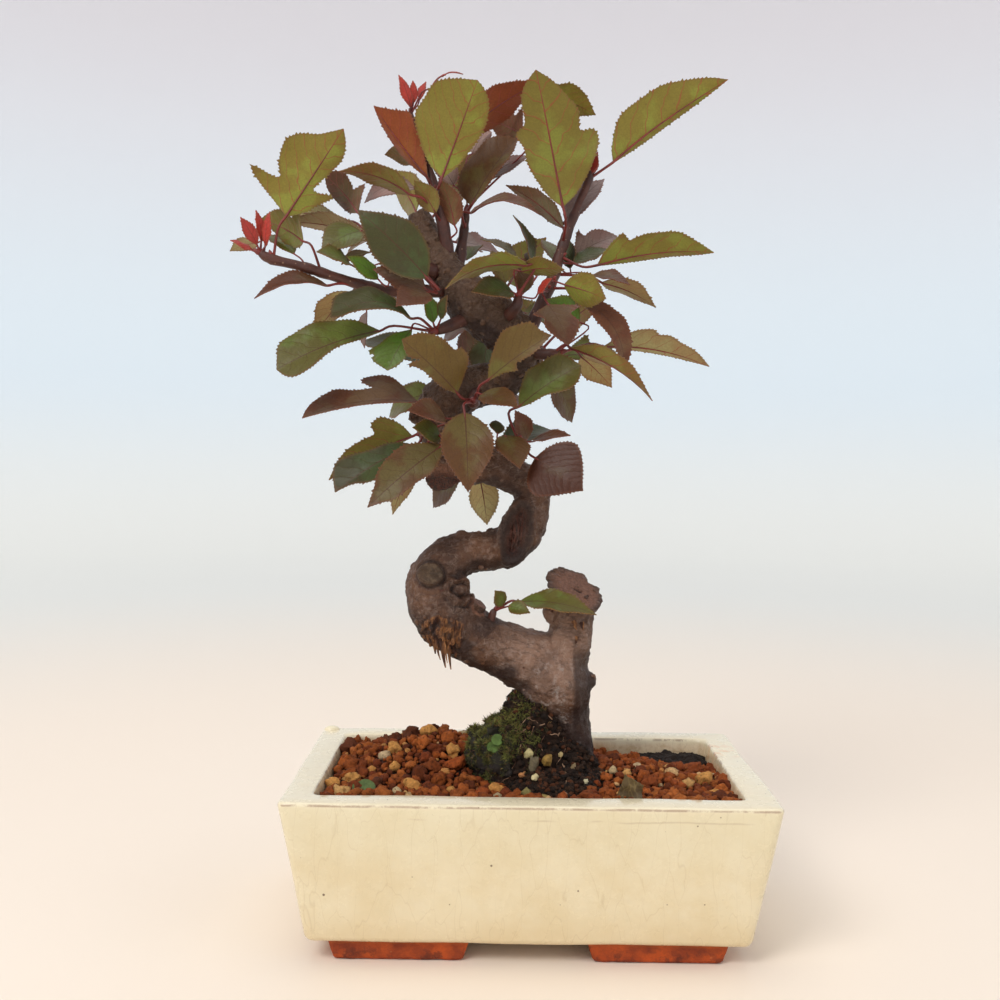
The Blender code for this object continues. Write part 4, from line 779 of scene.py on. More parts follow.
# %% The table of limbs
TRUNK = [  # from the root end to the dead tip: x, y, z and radius
    (20, 1, 40, 6.5), (20, 0, 52, 7), (19.5, 0, 62, 7), (17.5, 0, 71, 8), (14.5, 0, 80, 10.8),
    (11.5, -1, 90, 14.2), (5, -1, 97.5, 13), (-4, -2, 101, 11.5), (-13, -4, 104.5, 10.4), (-21, -6, 109, 10.6),
    (-29, -7, 115.5, 12.2), (-33.5, -7, 123.5, 12), (-34, -6, 132, 10), (-29, -5, 137.5, 8.8), (-21.5, -3, 140, 8),
    (-13, -1, 141, 7.6), (-5, 0, 144, 8.2), (-0.5, 1, 151, 8.2), (1.5, 1, 159.5, 7.2), (-0.5, 0, 166, 7.2),
    (-8, -2, 170.5, 6.9), (-17, -2, 174, 7.4), (-26, 1, 179, 8.9), (-33.5, 6, 187, 9.8), (-33, 10, 196, 9.8),
    (-25, 12, 202, 9), (-14, 12, 205, 8), (-5, 9, 211, 8), (-4.5, 4, 219, 9.2), (-13, 0, 227.5, 10.4),
    (-23, -1, 235, 9.8), (-30, 0, 243, 7.8), (-35, 1, 251.5, 6), (-40, 3, 261, 5), (-43.5, 4, 268.5, 4),
]
STUBS = [  # branches cut short: path, radii, and the cut's middle and the way that it faces
    ([(12, -1, 92), (15.5, -2, 105), (18, -2, 118), (20.5, -3, 136)], (11.5, 9, 7.8, 8.6),
     (20, -3, 126), (0.35, -0.55, 0.8)),
    ([(-27, 0, 181), (-31, -4, 173), (-34, -9, 163)], (7.5, 6.6, 6.2), (-33, -7, 168), (0.1, -0.75, -0.65)),
    ([(-14, -3, 173.5), (-20, -5, 169.5), (-23, -6, 167)], (5.0, 3.8, 3.2), (-22, -6, 168), (-0.9, -0.2, -0.4)),
    ([(-23, -8, 112), (-19.5, -9, 118.5), (-17, -10, 123)], (5.0, 3.2, 2.8), (-17.5, -10, 122), (0.6, -0.3, 0.8)),
]
KNOBS = [  # old buds, healed wounds and burrs: centre and radii
    ((8.5, -3, 117), (2.6, 2.6, 3.4)), ((21, -7, 105), (2.6, 2.4, 2.4)), ((24.5, -3, 92), (2.8, 3, 3.2)),
    ((-1, -4, 89.5), (2.8, 2.6, 2.6)), ((-36, -12, 130), (5.8, 5.4, 5.4)), ((-26.5, -11, 125), (4.2, 5.2, 8.6)),
    ((-32, -13, 118.5), (4.5, 4.5, 5.5)), ((-25, -6, 146), (2.4, 2.4, 2.4)), ((-6, -7, 145), (2.2, 2.2, 2.2)),
    ((-43, 4, 191), (2.6, 2.6, 3)), ((15, -10, 95), (2.2, 2, 2.4)),
]
ROOTS = [  # from the foot of the trunk out into the soil
    [(20, 0, 58), (8, -8, 52), (-6, -14, 42)], [(20, 0, 56), (31, -9, 48), (40, -14, 38)],
    [(20, 0, 58), (12, 11, 50), (2, 22, 38)], [(20, 2, 55), (30, 12, 47), (38, 20, 34)],
]
SCAR_AT, SCAR_SIZE, SCAR_TILT = (-4.3, -9.8, 148), (5.0, 5.2, 11.0), 14.0
print("limbs:", 1 + len(STUBS) + len(ROOTS), "knobs:", len(KNOBS))

# %% One skin of wood
SKIN = 0.62                        # size of the remesh in mm


def limb(name, rows, per_span):
    return tubes(name, [smooth_path(rows, per_span)], 4, None)


def saw_off(piece, place, facing):
    """Cuts a limb at a plane and closes the cut."""
    edit(piece, "VERT", lambda m, v: True)
    bpy.ops.mesh.bisect(plane_co=at(*place), plane_no=facing, use_fill=True, clear_outer=True)
    done()


def ball(name, centre, radii, tilt=0.0):
    return start(name, bpy.ops.mesh.primitive_uv_sphere_add, segments=24, ring_count=14, radius=MM,
                 location=at(*centre), scale=radii, rotation=(0, math.radians(tilt), 0))


def build_skin():
    limbs = [limb("trunk_skin", TRUNK, 6)]
    for points, radii, place, facing in STUBS:
        rows = [(*p, r) for p, r in zip(points, radii)]
        limbs.append(limb("stub", rows, 5))
        saw_off(limbs[-1], place, facing)
    for points in ROOTS:
        limbs.append(limb("root", [(*p, r) for p, r in zip(points, (5.2, 3.4, 1.6))], 5))
    for centre, radii in KNOBS:
        limbs.append(ball("knob", centre, radii))
    limbs.append(ball("scar_lip", (SCAR_AT[0], SCAR_AT[1] + 4.2, SCAR_AT[2]), (6.6, 5.4, 12.4), SCAR_TILT))
    skin = join("trunk_wood", limbs)
    use(skin, "REMESH", mode="VOXEL", voxel_size=SKIN * MM)
    use(skin, "SMOOTH", factor=0.5, iterations=6)
    return skin


trunk_wood = build_skin()
print("skin", len(trunk_wood.data.vertices), "points")

# %% [markdown]
# The bark is raised by moving every point along its normal: broad swellings, fine lengthwise ridges that follow
# the limb, rings at the healed wounds, and rough torn fibres round the wound on the left. The same pass works
# out how much bare wood, dark bark (damp dirt, and painted shade on the undersides and the right flank), painted
# shade in the creases and torn fibre there is at each point, and stores it as attributes for the finish to read,
# with the run along the limb that the pores follow.

# %% Bark
LEFT_WOUND = [  # a healed disc, folds of callus, and the torn wood below: middle, radius
    ((-35.5, -13.5, 132), 5.2), ((-25.5, -13.5, 126.5), 7.5), ((-30.5, -13.5, 111.5), 9.5)]
AXIS = [Vector(row[:3]) for row in smooth_path(TRUNK, 8)]
STUB_AXES = [[Vector(row) for row in smooth_path(points, 8)] for points, *_ in STUBS]


def ridge(place, way, around, scale):
    """Noise that is long along the limb and short round it."""
    along = place.dot(way)
    flat = place - way * along
    return noise.noise((flat * 1.0 + way * along * around) * scale)


def soft(value, low, high):
    """0 below the low level and 1 above the high one, smooth between."""
    t = min(1.0, max(0.0, (value - low) / (high - low)))
    return t * t * (3 - 2 * t)


def axis_tree():
    tree = KDTree(len(AXIS) + sum(len(line) for line in STUB_AXES))
    ways, k = [], 0
    for line in [AXIS, *STUB_AXES]:
        for j, point in enumerate(line):
            tree.insert(point, k)
            ways.append((line[min(j + 1, len(line) - 1)] - line[max(j - 1, 0)]).normalized())
            k += 1
    tree.balance()
    return tree, ways


def raise_bark(skin):
    mesh = skin.data
    tree, ways = axis_tree()
    cuts = [(Vector(place), Vector(facing).normalized(), max(radii[-2:])) for _, radii, place, facing in STUBS]
    tilt = Matrix.Rotation(math.radians(-SCAR_TILT), 3, "Y")
    names = ("bare_wood", "damp", "torn", "healed", "crease_shade")
    masks = {name: [] for name in names}
    runs, moved = [], []
    for vert in mesh.vertices:
        place, normal = in_mm(vert.co), vert.normal
        middle, k, _ = tree.find(place)
        way = ways[k]
        out = (place - middle).normalized() if (place - middle).length > 0.1 else normal
        # broad swellings, lengthwise ridges and fine grain
        lift = 1.0 * noise.noise(place / 9.5) + 0.45 * noise.noise(place / 4.2 + Vector((7, 3, 1)))
        lift += 0.42 * ridge(place, way, 0.22, 0.55) + 0.2 * ridge(place, way, 0.3, 1.5)
        # knobbly bits and cracks on the upper, twiggy part
        rough = soft(place.z, 172, 200) * 0.5 + 0.25
        crack = abs(noise.noise(place / 2.6 + Vector((3, 9, 4))))
        lift -= rough * 0.5 * (1 - soft(crack, 0.02, 0.16))
        # painted shade in the cracks
        crease_shade = 0.5 * rough * (1 - soft(crack, 0.02, 0.1))
        # sawn ends: flat, with a split across
        bare = 0.0
        for cut_at, facing, radius in cuts:
            off = place - cut_at
            if normal.dot(facing) > 0.8 and off.length < radius * 1.7:
                bare = 1.0
        # the big stub flares out below its cut, with a ragged rim
        below = -(place - cuts[0][0]).dot(cuts[0][1])
        if not bare and -2 < below < 14 and (place - cuts[0][0]).length < 20:
            flare = math.exp(-((below - 1) / 5.5) ** 2)
            off = place - cuts[0][0]
            angle = math.atan2(off.z, off.x)
            corner = max(0, math.cos(2 * angle - 5.6)) + max(0, math.cos(angle - 2.2))
            lift += flare * (0.3 + 2.2 * corner + 1.2 * noise.noise(place / 2.6) + 0.9 * noise.noise(place / 1.3))
            crease_shade = max(crease_shade, 0.8 * flare * (1 - soft(abs(noise.noise(place / 2.2)), 0.02, 0.2)))
        if bare:
            lift *= 0.3
            if (place - cuts[0][0]).length < 14:
                off = place - cuts[0][0]
                for angle in (0.5, 2.7, 4.5):
                    ray = Vector((math.cos(angle), 0.25, math.sin(angle) * 0.8)).normalized()
                    along = off.dot(ray)
                    if along > 0 and (off - ray * along).length < 0.6:
                        lift -= 1.1
                        crease_shade = 1.0
        # hollow scar with a rolled lip
        local = tilt @ (place - Vector(SCAR_AT))
        far = math.hypot(local.x / SCAR_SIZE[0], local.z / SCAR_SIZE[2])
        front = soft(-out.y, 0.1, 0.5) if abs(place.z - SCAR_AT[2]) < 20 else 0
        scar = front * (1 - soft(far, 0.82, 1.04))
        lip = front * math.exp(-((far - 1.12) / 0.16) ** 2)
        lift += -3.4 * scar + 1.3 * lip + scar * 0.7 * ridge(place, Vector((0, 0, 1)), 0.2, 1.3)
        crease_shade = max(crease_shade, front * math.exp(-((far - 0.98) / 0.09) ** 2))
        # wounds on the left bend
        torn = healed = 0.0
        for number, (wound, radius) in enumerate(LEFT_WOUND):
            reach = (place - Vector(wound)).length
            near = 1 - soft(reach, radius * 0.75, radius * 1.15)
            if number == 0:
                healed = max(healed, near)
                lift += 1.0 * math.exp(-((reach - radius * 0.85) / 0.9) ** 2)
                lift -= 1.0 * math.exp(-((reach - radius * 1.05) / 0.6) ** 2)
                crease_shade = max(crease_shade, math.exp(-((reach - radius * 1.05) / 0.7) ** 2))
            elif number == 1:
                fold = math.sin(reach * 1.7 + 4.5 * noise.noise(place / 5))
                lift += near * (1.1 * fold + 0.8 * noise.noise(place / 2))
                crease_shade = max(crease_shade, near * soft(-fold, 0.45, 0.95))
                torn = max(torn, 0.5 * near * soft(noise.noise(place / 3), 0.0, 0.4))
            else:
                torn = max(torn, near * soft(noise.noise(place / 3.5) + near, 0.4, 0.8))
                crease_shade = max(crease_shade, 0.9 * near * soft(noise.noise(place / 2.1), 0.05, 0.3))
                lift += near * (1.5 * ridge(place, Vector((0.3, 0, 1)).normalized(), 0.13, 0.75)
                                + 0.8 * ridge(place, Vector((0.2, 0, 1)).normalized(), 0.1, 1.8))
        # dark bark: painted shade on the undersides and the right flank, and damp dirt near the soil and on the dirty
        # foot
        foot = soft(87 - 0.684 * place.x + 4 * noise.noise(place / 5) - place.z, -3, 3)
        under = soft(-out.z + 0.25 * noise.noise(place / 5), 0.12, 0.62)
        flank = soft(place.x - 16.5 - 0.5 * noise.noise(place / 4), 0, 2.2) * soft(106 - place.z, -3, 5)
        side = 0.85 * flank * soft(place.z - 58, 0, 6)
        damp = max(foot * soft(28 - place.x, -6, 3), 0.85 * under, side, soft(72 - place.z, -4, 7))
        damp = min(1.0, damp + 0.35 * soft(noise.noise(place / 11 + Vector((2, 2, 2))), 0.15, 0.5))
        if place.z < 66:
            lift += 0.8 * noise.noise(place / 2.2)
        masks["bare_wood"].append(max(bare, 0.8 * scar))
        masks["damp"].append(max(0.0, damp * (1 - bare)))
        masks["torn"].append(torn)
        masks["healed"].append(healed)
        masks["crease_shade"].append(crease_shade)
        runs.append(flat_run(place, way, out))
        co = place + normal * lift
        for number, (cut_at, facing, radius) in enumerate(cuts):
            over = (co - cut_at).dot(facing) + 0.7
            if over > 0 and (co - cut_at).length < radius * (2.1 if number == 0 else 1.7):
                co -= facing * (over if not bare else 0.75 * over)
        moved.append(at(*co))
    for vert, co in zip(mesh.vertices, moved):
        vert.co = co
    for name in names:
        store(skin, name, masks[name])
    store(skin, "bark_run", runs)


def flat_run(place, way, out):
    """Place on the bark with the limb's own way as its third axis, so that pores line up with the limb."""
    side = way.cross(out)
    return (place.dot(side) * 0.5 + math.atan2(out.x, -out.y) * 3.0, out.z * 4 + place.y * 0.3, place.dot(way))


raise_bark(trunk_wood)
smooth(trunk_wood, 70)
print("bark raised")

# %% [markdown]
# Splinters of torn wood point down at the left bend, and bud scales and flakes of old bark stand on the limbs.
# A splinter is a slim wedge: a cube whose far end is pinched.

# %% Splinters and flakes
SPLINTERS = [  # foot, tip, width, thickness
    ((-36, -14.5, 114.5), (-33.8, -13.4, 103), 2.4, 1.5), ((-33, -16.2, 116), (-30, -15.2, 98.2), 2.3, 1.7),
    ((-29.6, -16, 112.5), (-28, -14.4, 97.4), 1.8, 1.5), ((-34.4, -16, 112), (-32, -15, 101), 1.3, 1.1),
    ((-26.6, -15.2, 108.5), (-26.3, -14, 102), 2.4, 1.5), ((-31.2, -16.8, 111), (-29.2, -16, 100), 1.1, 1.0),
    ((17.4, -10.2, 115.6), (18.6, -11.4, 112.4), 1.8, 1.2), ((20.6, -9.6, 115), (21, -10.8, 112), 1.5, 1.1),
    ((18.8, -9.6, 109.6), (18.2, -10.6, 106.8), 1.3, 0.9),
    ((-37.6, -12.6, 113), (-36, -12.2, 105.5), 1.4, 1.0), ((-27.8, -15.8, 113), (-27.4, -15, 106), 1.2, 1.0),
]


def splinter(foot, tip, wide, thick, draw):
    foot, tip = Vector(foot), Vector(tip)
    way = (tip - foot).normalized()
    piece = start("splinter", bpy.ops.mesh.primitive_cube_add, size=1)
    edit(piece, "VERT", lambda m, v: True)
    bpy.ops.mesh.subdivide(number_cuts=4)
    done()
    side = way.cross(Vector((0, -1, 0))).normalized()
    front = side.cross(way)
    for vert in piece.data.vertices:
        share = vert.co.z + 0.5
        slim = (1 - 0.8 * share ** 1.6) * (1 + 0.12 * draw.uniform(-1, 1))
        local = foot.lerp(tip, share) + side * vert.co.x * wide * slim - front * vert.co.y * thick * slim
        local += side * 0.35 * noise.noise(foot + Vector((share * 5, 0, 0)))
        vert.co = at(*local)
    face_outward(piece)
    store(piece, "torn", [1.0] * len(piece.data.vertices))
    return piece


def flakes(skin, count, seed):
    """Small scales of bark and old bud scars that stand off the wood, most of them on the rough upper part."""
    draw = random.Random(seed)
    bm = bmesh.new()
    verts = [v for v in skin.data.vertices if in_mm(v.co).z > 70]
    upper = [v for v in verts if in_mm(v.co).z > 180]
    for number in range(count):
        vert = draw.choice(upper if number % 3 else verts)
        turn = vert.normal.to_track_quat("Z", "Y").to_matrix().to_4x4()
        size = draw.uniform(0.5, 1.3) * MM
        shape = Matrix.Diagonal((size * draw.uniform(0.6, 1.4), size * draw.uniform(0.6, 1.4), size * 0.55, 1))
        spin = Matrix.Rotation(draw.uniform(0, 6.28), 4, "Z") @ Matrix.Rotation(draw.uniform(-0.5, 0.5), 4, "X")
        bmesh.ops.create_icosphere(bm, subdivisions=1, radius=1,
                                   matrix=Matrix.Translation(vert.co) @ turn @ spin @ shape)
    mesh = bpy.data.meshes.new("flakes")
    bm.to_mesh(mesh)
    bm.free()
    return placed("flakes", mesh)


FLAKES = 420
draw = random.Random(31)
splinters = [splinter(*row, draw) for row in SPLINTERS]
bark_flakes = flakes(trunk_wood, FLAKES, 17)
print("splinters", len(splinters), "and flakes of bark")

# %% [markdown]
# The finish of the wood: satin grey-brown bark, paler on the flank where a pool of light is painted, with short
# reddish pores along the limb and a web of pale scratches, dark bark below that is partly damp dirt and partly
# painted shade, painted shade in the creases, warm split wood at the wounds, and a red-brown sawn face.

# %% Bark finish


def build_bark():
    made, bench, shader = new_finish("apple_bark", Roughness=0.5, Specular_IOR_Level=0.45)
    place = bench.object_place()
    run = bench.own("bark_run", "Vector")
    damp, bare, torn, healed, crease_shade = map(bench.own, ("damp", "bare_wood", "torn", "healed", "crease_shade"))
    color = bench.patches(place, 12.0, paint(106, 70, 46), paint(62, 37, 23), 0.2, 0.35)
    mottled = bench.step(bench.noise(place, 1 / 2.4, 4.0, 0.7), 0.46, 0.68)
    # painted light: a soft pool of light on the flank of the lower bend makes the bark paler and more mottled there
    lit = bench.add("VectorMath", {0: place, 1: tuple(at(8, -9, 104) / MM)}, operation="DISTANCE").outputs["Value"]
    lit = bench.step(lit, 25, 12)
    color = bench.lay(color, lit, 0.75, paint(152, 118, 98))
    color = bench.lay(color, mottled, bench.step(lit, 0.0, 1.0, 0.3, 0.55), paint(166, 140, 126))
    # pores: short dashes that are long along the limb
    dashes = bench.stretch(run, (1.0, 1.0, 0.4))
    pores = bench.specks(dashes, 2.3, 0.2, 0.55)
    color = bench.lay(color, pores, 0.75, paint(84, 42, 28))
    scratch_at = bench.stretch(place, (0.5, 1.0, 1.0), (0.3, 0.5, 0.2))
    scratches = bench.cracks(scratch_at, 3.0, 0.05)
    thin = bench.step(bench.noise(place, 1 / 6, 2.0), 0.45, 0.6)
    color = bench.lay(color, bench.times(scratches, thin), 0.28, paint(186, 158, 138))
    # darker streaks and stains that run along the limb
    long_way = bench.stretch(run, (1.0, 1.0, 0.16))
    streak = bench.step(bench.noise(long_way, 0.55, 5.0, 0.7), 0.5, 0.64)
    color = bench.lay(color, streak, 0.6, paint(62, 36, 24))
    # the young upper limbs are browner
    z = bench.add("SeparateXYZ", {0: place}).outputs["Z"]
    color = bench.lay(color, bench.step(z, 165, 215), 0.55, paint(90, 66, 46))
    # dark bark: damp dirt at the foot and near the soil, and painted shade on the undersides and the right flank
    color = bench.lay(color, damp, 0.92, paint(42, 21, 14))
    white = bench.times(bench.step(bench.noise(place, 1 / 3.2, 5.0, 0.75), 0.52, 0.68), bench.step(z, 118, 84))
    white = bench.times(white, bench.step(damp, 0.9, 0.3, 0.12, 0.5))
    color = bench.mix(white, color, paint(196, 186, 180))
    color = bench.mix(bench.times(healed, 0.7), color, bench.mix(mottled, paint(62, 48, 30), paint(98, 78, 50)))
    # torn wood: fibres in orange, straw and brown
    grain = bench.stretch(place, (1.0, 1.0, 0.12))
    fibre = bench.noise(grain, 1.3, 4.0, 0.7)
    split = bench.mix(bench.step(fibre, 0.4, 0.66), paint(96, 56, 30), paint(178, 122, 74))
    split = bench.mix(bench.step(bench.noise(grain, 0.5, 3.0), 0.46, 0.6), split, paint(62, 32, 20))
    color = bench.mix(bench.step(torn, 0.35, 0.8), color, split)
    sawn = bench.mix(bench.step(fibre, 0.35, 0.65), paint(96, 60, 44), paint(132, 90, 68))
    hollow = bench.mix(bench.step(fibre, 0.4, 0.6), paint(40, 20, 14), paint(84, 40, 26))
    low = bench.times(bench.step(z, 172, 168), bench.step(z, 136, 140))
    color = bench.mix(bare, color, bench.mix(low, sawn, hollow))
    # painted shade in the cracks, grooves, folds and splits
    color = bench.lay(color, crease_shade, 0.8, paint(36, 20, 14))
    roughness = bench.step(mottled, 0.0, 1.0, 0.56, 0.4)
    relief = bench.plus(bench.noise(place, 1.1, 5.0, 0.7), bench.times(scratches, 0.25))
    relief = bench.minus(relief, bench.times(pores, 0.3))
    relief = bench.plus(relief, bench.times(bench.times(torn, fibre), 2.0))
    bump = bench.bump(0.8, 0.8 * MM, relief)
    feed(bench, shader, Base_Color=color, Roughness=roughness, Normal=bump)
    return made


bark = build_bark()
wood_parts = [trunk_wood, *splinters, bark_flakes]
for part in wood_parts:
    part.data.materials.clear()
    part.data.materials.append(bark)
trunk_wood = join("trunk_wood", wood_parts)
hand_over(trunk_wood, "bark", "trunk")

# %% [markdown]
# ## Leafy stems
# An apple leaf is a thin blade with a saw-toothed edge, often with a lobe or two near its base, folded a little
# along a red midrib. A leaf could be a picture on a card, but the edge of every tooth shows against the pale
# wall, so each blade is a real sheet: its outline is drawn with teeth, filled with small triangles, folded,
# bowed and waved, and given its thickness by one Solidify modifier for all the leaves of a stem. Operators can't
# draw so many outlines, so this sheet is one of the shapes that are made from lists of points.

# %% The table of stems and leaves
from dataclasses import dataclass


@dataclass
class Leaf:
    """One leaf: where its stalk leaves the stem, where its blade starts, how it points and how big it is."""

    at: float             # place of the stalk on the stem, 0 at its root and 1 at its tip
    base: tuple           # start of the blade
    heading: float        # degrees seen from the front, 0 to the right and 90 up
    lean: float           # degrees towards the viewer
    turn: float           # 90 shows the upper face to the viewer, -90 the underside, 0 an edge
    length: float
    width: float
    tint: str
    arch: float = 0.07    # height of the bow over the length
    fold: float = 14.0    # degrees that each half is raised
    left: tuple = ()      # edge of a half that isn't plain: share of the length and millimetres from the midrib
    right: tuple = ()
    sway: float = 0.0     # how far the midrib curves to the leaf's left, over the length


def lobed(half):
    """The edge of a half with one side lobe near its base, from the width that it has without the lobe."""
    return ((0.16, 0.8 * half), (0.32, 1.35 * half), (0.38, 0.85 * half), (0.62, half), (0.84, 0.6 * half))


@dataclass
class Spray:
    """A stem that grows from the trunk, with its leaves."""

    name: str
    stem: list
    radii: tuple
    leaves: list


